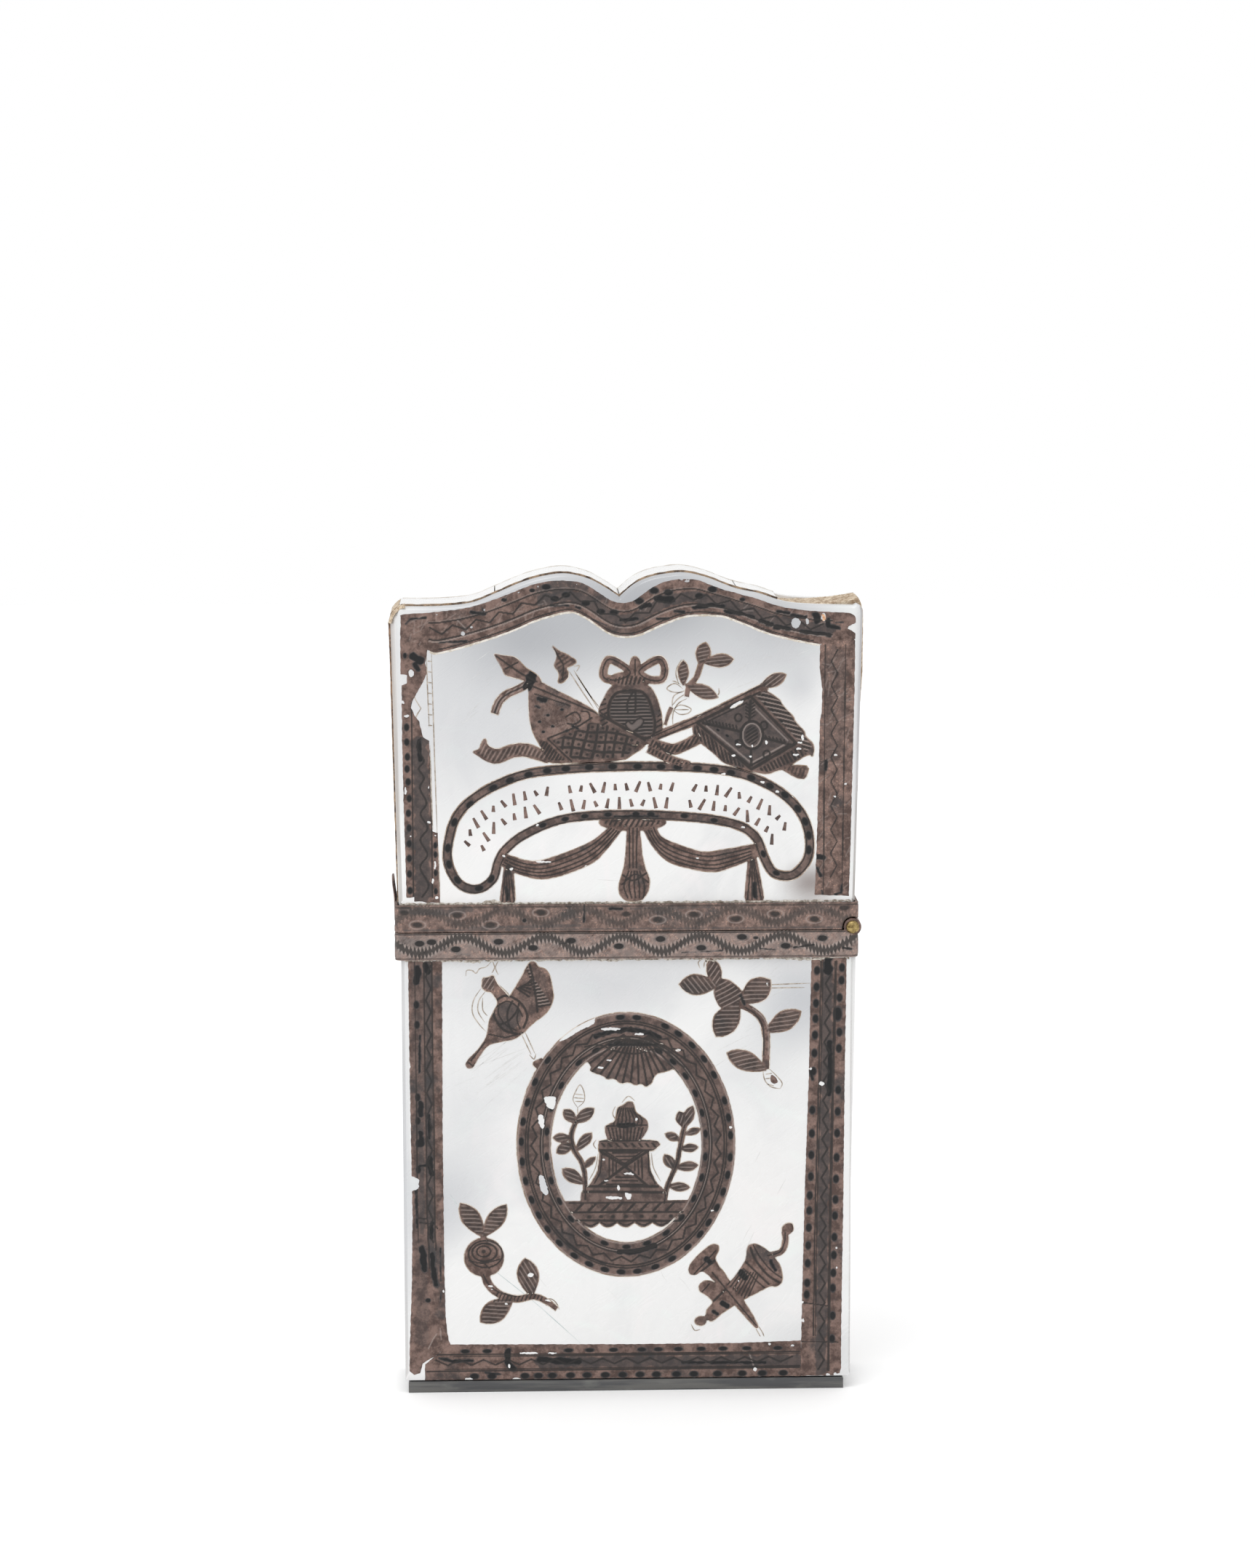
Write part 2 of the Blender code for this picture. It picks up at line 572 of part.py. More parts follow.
# The banner: one ribbon that curls back into a long lower arc, hung with two swags and a tassel
BANNER_PATH = [(-13.8, 58.8), (-14.4, 56.9), (-16.0, 55.8), (-17.9, 56.3), (-19.1, 58.3), (-19.2, 60.5),
               (-18.4, 63.4), (-16.6, 65.5), (-13.5, 67.3), (-10.0, 68.4), (-5.0, 68.85), (0.0, 69.0),
               (5.0, 68.95), (9.5, 68.65), (13.0, 67.9), (16.4, 66.2), (18.7, 63.9), (19.65, 61.3),
               (19.45, 58.8), (17.9, 57.1), (15.9, 57.3), (14.8, 59.0), (13.9, 61.2), (11.8, 62.6),
               (7.5, 63.4), (0.0, 63.8), (-6.5, 63.4), (-10.6, 61.9), (-12.8, 60.3)]
inlay("banner_inlay", lid_front_pockets, FRONT,
      loop_ribbon(BANNER_PATH, 0.95),
      oval(0.65, 62.95, 3.6, 0.9, 12),
      between([(-1.4, 62.9), (-4, 60.8), (-8, 59.2), (-10.5, 58.8), (-13.2, 59.7)],
              [(-0.2, 62.5), (-2, 60.2), (-4, 58.4), (-8.5, 56.9), (-12, 57.5), (-13.9, 58.6)]),
      between([(3.1, 62.8), (4, 61.2), (8, 59.7), (10.5, 59.9), (13.9, 60.5)],
              [(1.5, 62.6), (3, 60), (5, 58.4), (9, 57.5), (11.4, 58.0), (14.3, 59.2)]),
      outline([(-13.1, 59.0), (-13.7, LID_SILVER_FOOT), (-12.0, LID_SILVER_FOOT), (-12.2, 58.2)]),
      outline([(13.1, 59.6), (12.65, LID_SILVER_FOOT), (14.85, LID_SILVER_FOOT), (14.0, 58.9)]),
      outline([(0.0, 62.7), (-0.1, 59.5), (-0.4, 57.6), (-0.9, 56.0), (-0.5, 54.7), (0.2, 54.35), (1.6, 54.4),
               (2.3, 55.3), (2.5, 56.7), (2.0, 57.9), (1.6, 59.5), (1.4, 62.7)]))

# Silver on the case's front: three border bands, whose lower left corner has come apart
CASE_SILVER_TOP = 48.0
CASE_SILVER_FOOT = 1.65
inlay("case_left_inlay", case_front_pockets, FRONT,
      outline([(-23.9, 2.5), (-23.4, 2.05), (-22.75, 2.2), (-22.45, 3.4), (-19.62, 5.6), (-19.95, 8.5),
               (-20.0, 30.0), (-19.95, CASE_SILVER_TOP), (-23.6, CASE_SILVER_TOP), (-23.5, 20.0),
               (-23.65, 10.0)]))
inlay("case_right_inlay", case_front_pockets, FRONT,
      outline([(18.98, CASE_SILVER_FOOT), (22.0, CASE_SILVER_FOOT), (22.9, 2.3), (23.05, 6.0), (23.2, 20.0),
               (23.7, CASE_SILVER_TOP), (19.95, CASE_SILVER_TOP), (19.7, 35.0), (19.2, 20.0)]))
inlay("case_bottom_inlay", case_front_pockets, FRONT,
      outline([(-22.2, CASE_SILVER_FOOT), (18.86, CASE_SILVER_FOOT), (18.86, 5.4), (12.0, 5.15), (0.0, 5.15),
               (-12.0, 5.3), (-19.35, 5.35), (-22.2, 3.1)]))


def scalloped(left_x, right_x, top_z, low_z, count):
    """The ground under the altar: a bar whose lower edge hangs in even scallops."""
    width = (right_x - left_x) / count
    drop = [(left_x + width * step / 3, low_z - 0.45 * abs(math.sin(math.pi * step / 3)))
            for step in range(3 * count + 1)]
    return outline([(left_x - 2.2, top_z), *drop, (right_x + 2.2, top_z)])


# The medallion: an oval ring with a fan of rays, and an altar between two shrubs on its ground
RING_X, RING_Z = -0.15, 27.5
SHRUB_STEM = 0.42
inlay("medallion_inlay", case_front_pockets, FRONT,
      ring(RING_X, RING_Z, (11.85, 14.65), (8.2, 10.85)),
      outline([(-5.0, 37.4), (-3.9, 36.1), (-3.9, 35.7), (-2.6, 35.2), (-1.4, 34.7), (0.6, 34.3), (1.4, 34.0),
               (2.6, 34.2), (3.2, 35.3), (6.1, 36.0), (5.0, 38.3), (0.0, 39.2), (-4.0, 38.6)]),
      scalloped(-5.0, 4.6, 21.3, 18.85, 5),
      outline([(-5.1, 20.9), (-5.0, 22.2), (-3.9, 23.1), (-3.2, 24.2), (-3.0, 26.5), (-3.1, 28.0), (2.2, 28.0),
               (3.4, 27.9), (3.6, 27.2), (2.3, 26.8), (2.4, 24.8), (3.1, 23.3), (4.1, 22.4), (4.1, 20.9)]),
      outline([(-2.2, 27.7), (-2.5, 29.3), (-2.3, 29.8), (-1.5, 30.1), (-1.0, 31.8), (0.6, 32.3), (0.9, 31.2),
               (2.2, 30.1), (2.3, 29.6), (1.2, 27.7)]),
      ribbon([(-4.6, 21.9), (-4.7, 24.0), (-5.0, 25.6), (-5.8, 27.0), (-6.1, 28.6), (-5.6, 30.2)], SHRUB_STEM),
      leaf((-5.6, 30.0), (-6.9, 31.5), 1.1),
      leaf((-5.8, 30.0), (-3.6, 31.5), 1.2),
      leaf((-6.0, 28.2), (-8.0, 28.4), 1.0),
      leaf((-5.9, 27.7), (-7.8, 26.6), 1.1),
      leaf((-5.6, 26.9), (-3.9, 28.9), 1.0),
      leaf((-4.9, 24.9), (-3.6, 26.2), 0.7),
      leaf((-4.7, 23.2), (-7.1, 24.8), 1.3),
      ribbon([(3.9, 21.0), (4.3, 23.2), (5.3, 25.2), (5.7, 27.2), (6.2, 29.6)], SHRUB_STEM),
      leaf((5.2, 24.7), (4.0, 26.3), 1.0),
      leaf((5.8, 28.0), (4.1, 28.6), 0.9),
      leaf((5.7, 27.0), (7.7, 27.3), 0.9),
      leaf((5.2, 24.9), (7.6, 25.2), 1.0),
      leaf((4.3, 22.9), (6.6, 22.7), 0.9),
      leaf((6.2, 29.3), (5.6, 31.2), 1.2),
      leaf((6.1, 29.3), (7.0, 31.8), 1.2))

# The case's four corner motifs
inlay("winged_torch_inlay", case_front_pockets, FRONT,
      outline([(-17.5, 36.2), (-16.6, 36.15), (-14.9, 38.9), (-12.8, 39.1), (-11.4, 39.8), (-10.0, 41.3),
               (-8.5, 42.4), (-8.0, 43.6), (-7.95, 45.1), (-8.6, 47.0), (-10.2, 47.9), (-10.7, 47.6),
               (-12.8, 43.85), (-14.4, 46.3), (-15.5, 46.1), (-15.7, 45.0), (-13.9, 43.1), (-14.9, 41.8),
               (-15.3, 40.0), (-17.0, 37.5), (-17.6, 36.8)]))
inlay("flower_sprig_inlay", case_front_pockets, FRONT,
      oval(11.0, 44.05, 1.75, 1.75, 14),
      leaf((9.7, 45.1), (5.7, 45.3), 2.1),
      leaf((9.6, 45.0), (9.0, 48.0), 1.5),
      leaf((12.2, 43.3), (15.4, 45.4), 2.4),
      leaf((11.9, 43.2), (9.8, 39.5), 2.6),
      ribbon([(12.2, 42.8), (13.6, 42.2), (14.8, 40.8), (15.1, 38.4), (14.9, 35.8)], 0.7),
      leaf((15.0, 39.9), (18.7, 42.1), 1.9),
      leaf((15.0, 35.9), (10.9, 37.4), 1.8))
inlay("rose_sprig_inlay", case_front_pockets, FRONT,
      oval(-15.65, 15.2, 2.1, 2.2, 18),
      ribbon([(-15.7, 17.0), (-15.7, 17.9), (-15.7, 18.9)], 0.6, 1),
      leaf((-15.6, 17.6), (-18.0, 21.1), 1.8),
      leaf((-15.8, 17.6), (-13.4, 20.9), 1.6),
      ribbon([(-15.6, 13.6), (-15.2, 12.1), (-13.9, 10.9), (-12.2, 10.45), (-10.3, 10.7), (-9.0, 10.2),
              (-7.8, 9.3)], 0.85),
      leaf((-10.3, 10.8), (-11.2, 14.9), 2.1),
      leaf((-12.9, 10.6), (-16.0, 8.0), 2.2))
inlay("quiver_inlay", case_front_pockets, FRONT,
      outline([(13.0, 15.7), (13.3, 16.3), (14.0, 16.3), (15.3, 15.6), (16.2, 14.6), (16.9, 12.9), (16.8, 11.9),
               (15.7, 11.6), (12.4, 10.0), (9.0, 7.6), (8.3, 8.1), (8.6, 9.2), (9.3, 10.0), (7.8, 11.3),
               (8.2, 12.0), (9.2, 12.2), (10.4, 11.5), (11.4, 12.3), (12.9, 14.1)]),
      outline([(6.7, 13.0), (6.9, 14.0), (8.3, 15.5), (9.6, 16.4), (9.95, 15.8), (9.6, 14.6), (11.1, 12.3),
               (12.9, 9.6), (14.3, 7.0), (13.9, 6.9), (11.7, 9.4), (8.2, 13.4)]),
      oval(7.95, 7.75, 0.6, 0.5, 8),
      ribbon([(15.2, 15.0), (16.7, 15.4), (17.2, 16.5), (17.1, 17.6)], 0.65),
      oval(17.4, 18.0, 0.65, 0.55, 8))

# The back is plainer: the same borders, and a bare oval ring on the case
BACK_EDGE = 23.5
BACK_BAND = 3.6
for sign, name in ((-1, "left"), (1, "right")):
    outer_x, inner_x = sign * BACK_EDGE, sign * (BACK_EDGE - BACK_BAND)
    inlay(f"case_back_{name}_inlay", case_back_pockets, BACK,
          outline([(outer_x, CASE_SILVER_FOOT), (inner_x, CASE_SILVER_FOOT), (inner_x, CASE_SILVER_TOP),
                   (outer_x, CASE_SILVER_TOP)]))
inner_edge = BACK_EDGE - BACK_BAND - 2 * POCKET_ROOM - 0.05
inlay("case_back_bottom_inlay", case_back_pockets, BACK,
      outline([(-inner_edge, CASE_SILVER_FOOT), (inner_edge, CASE_SILVER_FOOT), (inner_edge, 5.2),
               (-inner_edge, 5.2)]))
inlay("case_back_ring_inlay", case_back_pockets, BACK, ring(0, RING_Z, (11.8, 14.6), (9.4, 12.2), 24))
inlay("lid_back_left_inlay", lid_back_pockets, BACK, outline(LEFT_SILVER))
inlay("lid_back_right_inlay", lid_back_pockets, BACK, outline(RIGHT_SILVER))
inlay("lid_back_top_inlay", lid_back_pockets, BACK, top_silver())

make_cuts()

# Everything of the lid hangs from the hinge's axis
lid_hinge = bpy.data.objects.new("lid_hinge", None)
nodes.objects.link(lid_hinge)
lid_hinge.location = (HINGE_X * MM, 0, HINGE_Z * MM)
bpy.context.view_layer.update()
LID_PIECES = ("lid_", "corner_mastic", "trophy_", "arrow_", "banner_")
for piece in nodes.objects:
    if piece is not lid_hinge and piece.name.startswith(LID_PIECES):
        piece.parent = lid_hinge
        piece.matrix_parent_inverse = lid_hinge.matrix_world.inverted()
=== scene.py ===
"""The dressed model of a flat mother-of-pearl box with silver inlay and a lid on a side hinge.

Sizes are in millimetres and become metres where a mesh is made. X is to the right, Z is up, the front
faces -Y, and the origin is under the middle of the base. Flat outlines are (x, z) as seen in front.
"""

import math

import bmesh
import bpy
import numpy as np
from mathutils import Matrix, Vector


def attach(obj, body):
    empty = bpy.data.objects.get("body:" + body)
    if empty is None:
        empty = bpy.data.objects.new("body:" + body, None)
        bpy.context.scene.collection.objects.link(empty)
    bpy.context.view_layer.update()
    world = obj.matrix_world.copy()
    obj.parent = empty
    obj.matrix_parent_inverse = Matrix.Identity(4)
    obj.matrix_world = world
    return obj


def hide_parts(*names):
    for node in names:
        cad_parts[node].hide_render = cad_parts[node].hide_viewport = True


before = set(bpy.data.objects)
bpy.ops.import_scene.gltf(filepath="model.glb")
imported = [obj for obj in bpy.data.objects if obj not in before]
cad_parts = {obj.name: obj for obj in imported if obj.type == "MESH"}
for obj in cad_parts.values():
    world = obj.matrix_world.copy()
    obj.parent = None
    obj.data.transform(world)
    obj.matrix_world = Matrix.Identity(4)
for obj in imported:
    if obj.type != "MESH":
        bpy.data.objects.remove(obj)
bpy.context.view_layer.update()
MM = 0.001
scene = bpy.context.scene

# Camera, floor and light
# The box stands on a plain white sweep. The camera looks slightly down on it from a little left of the
# middle, and soft studio light comes from all round, with more of it from above and from the left.
CAMERA_AIM = Vector((0.1, -5.0, 67.1))
CAMERA_FAR = 441.0
CAMERA_LENS = 94.36
LOOK_DOWN = math.radians(8.0)
LOOK_ASIDE = math.radians(-1.8)
ROLL = math.radians(0.15)
ahead = Vector((
    -math.sin(LOOK_ASIDE) * math.cos(LOOK_DOWN), math.cos(LOOK_ASIDE) * math.cos(LOOK_DOWN),
    -math.sin(LOOK_DOWN)))
aside = Vector((math.cos(LOOK_ASIDE), math.sin(LOOK_ASIDE), 0))
above = aside.cross(ahead)
rolled_aside = aside * math.cos(ROLL) - above * math.sin(ROLL)
rolled_above = aside * math.sin(ROLL) + above * math.cos(ROLL)
camera = bpy.data.objects.new("camera", bpy.data.cameras.new("camera"))
camera.data.lens = CAMERA_LENS
camera.data.sensor_width = 36
camera.data.clip_start = 0.01
turn = Matrix((rolled_aside, rolled_above, -ahead)).transposed().to_4x4()
camera.matrix_world = Matrix.Translation((CAMERA_AIM - ahead * CAMERA_FAR) * MM) @ turn
scene.collection.objects.link(camera)
scene.camera = camera
scene.view_settings.view_transform = "Standard"

FLOOR_REACH = 900.0
FLOOR_WHITE = 0.92
FLOOR_GLOW = 0.1
floor_mesh = bpy.data.meshes.new("floor")
corners = [(x * FLOOR_REACH * MM, y * FLOOR_REACH * MM, 0) for x, y in ((-1, -1), (1, -1), (1, 1), (-1, 1))]
floor_mesh.from_pydata(corners, [], [(0, 1, 2, 3)])
floor = bpy.data.objects.new("floor", floor_mesh)
scene.collection.objects.link(floor)
paper = bpy.data.materials.new("white_paper")
paper.use_nodes = True
for label, value in (
    ("Base Color", (FLOOR_WHITE,) * 3 + (1,)), ("Roughness", 0.9), ("Emission Color", (1, 1, 1, 1)),
    ("Emission Strength", FLOOR_GLOW)):
    paper.node_tree.nodes["Principled BSDF"].inputs[label].default_value = value
floor_mesh.materials.append(paper)

WORLD_STRENGTH = 1.0
world = bpy.data.worlds.new("studio")
world.use_nodes = True
world.node_tree.nodes["Background"].inputs["Color"].default_value = (1, 1, 1, 1)
world.node_tree.nodes["Background"].inputs["Strength"].default_value = WORLD_STRENGTH
scene.world = world


def soft_light(name, place, aim, size, power):
    """A square studio light at a place, turned to its aim."""
    lamp = bpy.data.lights.new(name, "AREA")
    lamp.size = size * MM
    lamp.energy = power
    made = bpy.data.objects.new(name, lamp)
    made.location = Vector(place) * MM
    made.rotation_euler = (Vector(place) - Vector(aim)).to_track_quat("Z", "Y").to_euler()
    scene.collection.objects.link(made)


soft_light("top_light", (-150, -250, 700), (0, 0, 40), 300, 0.9)
soft_light("side_light", (-600, -250, 250), (0, 0, 40), 300, 0.35)

# Case plates
# The front and the back of the case are flat plates of mother-of-pearl, sawn, ground and polished. They
# are glued to narrow strips that stand between them, and their upright edges are ground off at a slope.
PLATE = 1.4
FACE_Y = 5.0
CASE_HALF_X = 24.35
CASE_FOOT = 1.34
CASE_PLATE_TOP = 50.95
HINGE_X, HINGE_Z = 24.35, 51.4
SHELL_ROOM_R = 1.2
EASE = 0.06
SPOT_REACH_Y = 9


def nodes_of(material):
    """The material's node tree, its nodes and its surface."""
    material.use_nodes = True
    tree = material.node_tree
    return tree, tree.nodes["Principled BSDF"]


def feed(tree, source, target):
    """Joins an output to an input, or sets the input to a plain value."""
    if isinstance(source, bpy.types.NodeSocket):
        tree.links.new(source, target)
    else:
        target.default_value = source


def sum_up(tree, kind, a, b):
    """A Math node on two values."""
    node = tree.nodes.new("ShaderNodeMath")
    node.operation = kind
    feed(tree, a, node.inputs[0])
    feed(tree, b, node.inputs[1])
    return node.outputs[0]


def times(tree, a, b):
    """The product of two values."""
    return sum_up(tree, "MULTIPLY", a, b)


def blend_colours(tree, share, a, b):
    """A Mix node on two colours."""
    node = tree.nodes.new("ShaderNodeMix")
    node.data_type = "RGBA"
    node.clamp_factor = True
    feed(tree, share, node.inputs["Factor"])
    feed(tree, a, node.inputs[6])
    feed(tree, b, node.inputs[7])
    return node.outputs[2]


def ramp(tree, value, low, high):
    """Rises from 0 to 1, smoothly, between two values."""
    node = tree.nodes.new("ShaderNodeMapRange")
    node.interpolation_type = "SMOOTHSTEP"
    feed(tree, value, node.inputs["Value"])
    node.inputs["From Min"].default_value = low
    node.inputs["From Max"].default_value = high
    return node.outputs["Result"]


def place_of(tree, scale=(1, 1, 1), move=(0, 0, 0), turned=(0, 0, 0)):
    """Object coordinates in millimetres, moved, turned and scaled by a Mapping node."""
    coordinates = tree.nodes.new("ShaderNodeTexCoord")
    mapping = tree.nodes.new("ShaderNodeMapping")
    mapping.vector_type = "TEXTURE"
    mapping.inputs["Location"].default_value = [part * MM for part in move]
    mapping.inputs["Rotation"].default_value = turned
    mapping.inputs["Scale"].default_value = [MM / part for part in scale]
    tree.links.new(coordinates.outputs["Object"], mapping.inputs["Vector"])
    return mapping.outputs["Vector"]


def noise(tree, place, scale=1.0, detail=3.0, roughness=0.55, twist=0.0):
    """A Noise texture's value."""
    node = tree.nodes.new("ShaderNodeTexNoise")
    tree.links.new(place, node.inputs["Vector"])
    node.inputs["Scale"].default_value = scale
    node.inputs["Detail"].default_value = detail
    node.inputs["Roughness"].default_value = roughness
    node.inputs["Distortion"].default_value = twist
    return node.outputs["Fac"]


def bump(tree, height, strength, distance):
    """A Bump node on a height, with the depth in millimetres."""
    node = tree.nodes.new("ShaderNodeBump")
    node.inputs["Strength"].default_value = strength
    node.inputs["Distance"].default_value = distance * MM
    tree.links.new(height, node.inputs["Height"])
    return node.outputs["Normal"]


def group(name, values, outputs):
    """A shader node group with named float inputs and named outputs."""
    tree = bpy.data.node_groups.new(name, "ShaderNodeTree")
    for label, value in values.items():
        tree.interface.new_socket(
            label, in_out="INPUT", socket_type="NodeSocketFloat").default_value = value
    for label, kind in outputs.items():
        tree.interface.new_socket(label, in_out="OUTPUT", socket_type="NodeSocket" + kind)
    return tree, tree.nodes.new("NodeGroupInput").outputs, tree.nodes.new("NodeGroupOutput").inputs


def use_group(tree, made, **values):
    """Places a node group in a material and gives its outputs."""
    node = tree.nodes.new("ShaderNodeGroup")
    node.node_tree = made
    for label, value in values.items():
        feed(tree, value, node.inputs[label.replace("_", " ").capitalize()])
    return node.outputs


# The nacre's own pattern: thin layers that lie flat in the plate show as lines wherever it is cut at a
# slope, soft clouds drift over the face, and faint rose and green patches play in it. The sloping ground
# edge is also darkened evenly under its lines, which is painted shade.
nacre, given, puts = group(
    "nacre", {"Cloud": 0.5, "Play": 0.5, "Layers": 0.5, "Slope": 0.0},
    {"Colour": "Color", "Gloss": "Float", "Height": "Float"})
layer_lines = noise(nacre, place_of(nacre, (0.03, 9.0, 0.03)), 1.0, 2.0)
across_slope = nacre.nodes.new("ShaderNodeCombineXYZ")
nacre.links.new(times(nacre, given["Slope"], 7.0), across_slope.inputs["X"])
slope_place = nacre.nodes.new("ShaderNodeVectorMath")
nacre.links.new(across_slope.outputs["Vector"], slope_place.inputs[0])
nacre.links.new(place_of(nacre, (0.09, 0.02, 0.09), turned=(0, 0.2, 0)), slope_place.inputs[1])
slope_lines = ramp(nacre, noise(nacre, slope_place.outputs["Vector"], 1.0, 3.0, 0.6), 0.36, 0.62)
# Painted shade: the ground edge takes at least 0.35 of the layer colour all over, besides the layers' own
# lines
ground_edge = ramp(nacre, given["Slope"], 0.2, 0.55)
streak_and_shade_share = sum_up(nacre, "ADD", times(nacre, slope_lines, 0.65), 0.35)
layer_and_edge_shade_mask = times(nacre, ground_edge, streak_and_shade_share)
clouds = noise(nacre, place_of(nacre, (0.09, 0.09, 0.06), turned=(0, 0.5, 0)), 1.0, 4.0, 0.6, 1.2)
veins = noise(nacre, place_of(nacre, (0.5, 0.5, 0.12), turned=(0, 0.9, 0)), 1.0, 5.0, 0.65, 0.8)
play_a = noise(nacre, place_of(nacre, (0.16, 0.16, 0.10)), 1.0, 2.0, 0.5, 1.5)
play_b = noise(nacre, place_of(nacre, (0.13, 0.13, 0.2), move=(31, 7, 13)), 1.0, 2.0, 0.5, 1.5)
WHITE_SHELL = (0.78, 0.78, 0.775, 1)
CLOUD_SHELL = (0.60, 0.605, 0.62, 1)
ROSE_SHELL = (0.86, 0.80, 0.80, 1)
GREEN_SHELL = (0.78, 0.84, 0.81, 1)
LAYER_AND_SHADE_SHELL = (0.30, 0.272, 0.25, 1)
cloud_share = times(nacre, ramp(nacre, clouds, 0.42, 0.72), given["Cloud"])
vein_share = times(nacre, ramp(nacre, veins, 0.5, 0.75), times(nacre, given["Cloud"], 0.2))
shade = blend_colours(nacre, cloud_share, WHITE_SHELL, CLOUD_SHELL)
shade = blend_colours(nacre, vein_share, shade, CLOUD_SHELL)
shade = blend_colours(
    nacre, times(nacre, ramp(nacre, play_a, 0.55, 0.75), given["Play"]), shade, ROSE_SHELL)
shade = blend_colours(
    nacre, times(nacre, ramp(nacre, play_b, 0.55, 0.75), given["Play"]), shade, GREEN_SHELL)
shade = blend_colours(nacre, times(nacre, layer_and_edge_shade_mask, given["Layers"]), shade, LAYER_AND_SHADE_SHELL)
nacre.links.new(shade, puts["Colour"])
nacre.links.new(ramp(nacre, veins, 0.3, 0.8), puts["Gloss"])
nacre.links.new(sum_up(nacre, "ADD", clouds, times(nacre, layer_lines, 0.3)), puts["Height"])


def shade_spot(tree, colour, x, z, reach_x, reach_z, strength, tint):
    """A soft grey or tinted place in the front plate, full at its middle and gone at its reach."""
    node = tree.nodes.new("ShaderNodeTexGradient")
    node.gradient_type = "SPHERICAL"
    spot = place_of(tree, (1 / reach_x, 1 / SPOT_REACH_Y, 1 / reach_z), move=(x, -FACE_Y, z))
    tree.links.new(spot, node.inputs["Vector"])
    share = times(tree, ramp(tree, node.outputs["Fac"], 0.0, 1.0), strength)
    return blend_colours(tree, share, colour, tint)


def mother_of_pearl(name, cloud, play, layers, spots=()):
    """Polished shell: the nacre's colours, grey spots that are partly its clouds and partly painted
    reflection, and a smooth clear gloss.
    """
    made = bpy.data.materials.new(name)
    tree, surface = nodes_of(made)
    slope = tree.nodes.new("ShaderNodeAttribute")
    slope.attribute_name = "slope"
    pattern = use_group(tree, nacre, cloud=cloud, play=play, layers=layers, slope=slope.outputs["Fac"])
    colour = pattern["Colour"]
    for spot in spots:
        colour = shade_spot(tree, colour, *spot)
    tree.links.new(colour, surface.inputs["Base Color"])
    rough = tree.nodes.new("ShaderNodeMapRange")
    tree.links.new(pattern["Gloss"], rough.inputs["Value"])
    rough.inputs["To Min"].default_value = 0.22
    rough.inputs["To Max"].default_value = 0.36
    tree.links.new(rough.outputs["Result"], surface.inputs["Roughness"])
    tree.links.new(bump(tree, pattern["Height"], 0.18, 0.05), surface.inputs["Normal"])
    surface.inputs["Specular IOR Level"].default_value = 0.5
    surface.inputs["Coat Weight"].default_value = 0.25
    surface.inputs["Coat Roughness"].default_value = 0.12
    return made


def piece(name, points, faces, look, body, slot, *nodes, smooth=True, sharp=40):
    """Puts points in millimetres and faces into a mesh, and lets the piece ride on its body."""
    mesh = bpy.data.meshes.new(name)
    mesh.from_pydata(np.asarray(points) * MM, [], faces)
    mesh.validate()
    mesh.materials.append(look)
    made = bpy.data.objects.new(name, mesh)
    scene.collection.objects.link(made)
    if smooth:
        mesh.shade_smooth()
        mesh.set_sharp_from_angle(angle=math.radians(sharp))
    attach(made, body)
    if nodes:
        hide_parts(*nodes)
    return made


def curve(points, closed=False, steps=6):
    """A Catmull-Rom curve: a cubic between two points that leaves each along its neighbours' line."""
    points = np.array(points, float)
    if closed:
        near = np.vstack([points[-1:], points, points[:2]])
    else:
        near = np.vstack([points[:1], points, points[-1:]])
    a, b, c, d = near[:-3], near[1:-2], near[2:-1], near[3:]
    t = (np.arange(steps) / steps)[:, None, None]
    cubic = 3 * b - a - 3 * c + d
    path = 0.5 * (2 * b + (c - a) * t + (2 * a - 5 * b + 4 * c - d) * t ** 2 + cubic * t ** 3)
    path = path.transpose(1, 0, 2).reshape(-1, points.shape[1])
    return path if closed else np.vstack([path, points[-1:]])


def unit(steps):
    """The steps' directions, each of length one."""
    return steps / np.maximum(np.linalg.norm(steps, axis=1, keepdims=True), 1e-30)


def anticlockwise(loop):
    """The loop in the direction that has its area on the left, by its signed area."""
    loop = np.array(loop, float)
    ahead_of = np.roll(loop, -1, axis=0)
    turns = (loop[:, 0] * ahead_of[:, 1] - ahead_of[:, 0] * loop[:, 1]).sum()
    return loop if turns > 0 else loop[::-1]


def moved_in(loop, distance):
    """The loop moved inwards along the mitre at each corner, by one distance or by one for each corner."""
    before, after = np.roll(loop, 1, axis=0), np.roll(loop, -1, axis=0)
    first, second = unit(loop - before), unit(after - loop)
    out = np.stack([first[:, 1] + second[:, 1], -first[:, 0] - second[:, 0]], axis=1)
    spread = np.maximum(1 + (first * second).sum(1), 0.5)
    return loop - out * np.reshape(distance, (-1, 1)) / spread[:, None]


def store(mesh, label, values):
    """Keeps one number for each point of a mesh, as its attribute."""
    stored = mesh.attributes.new(label, "FLOAT", "POINT").data
    stored.foreach_set("value", values.reshape(-1).astype(np.float32))


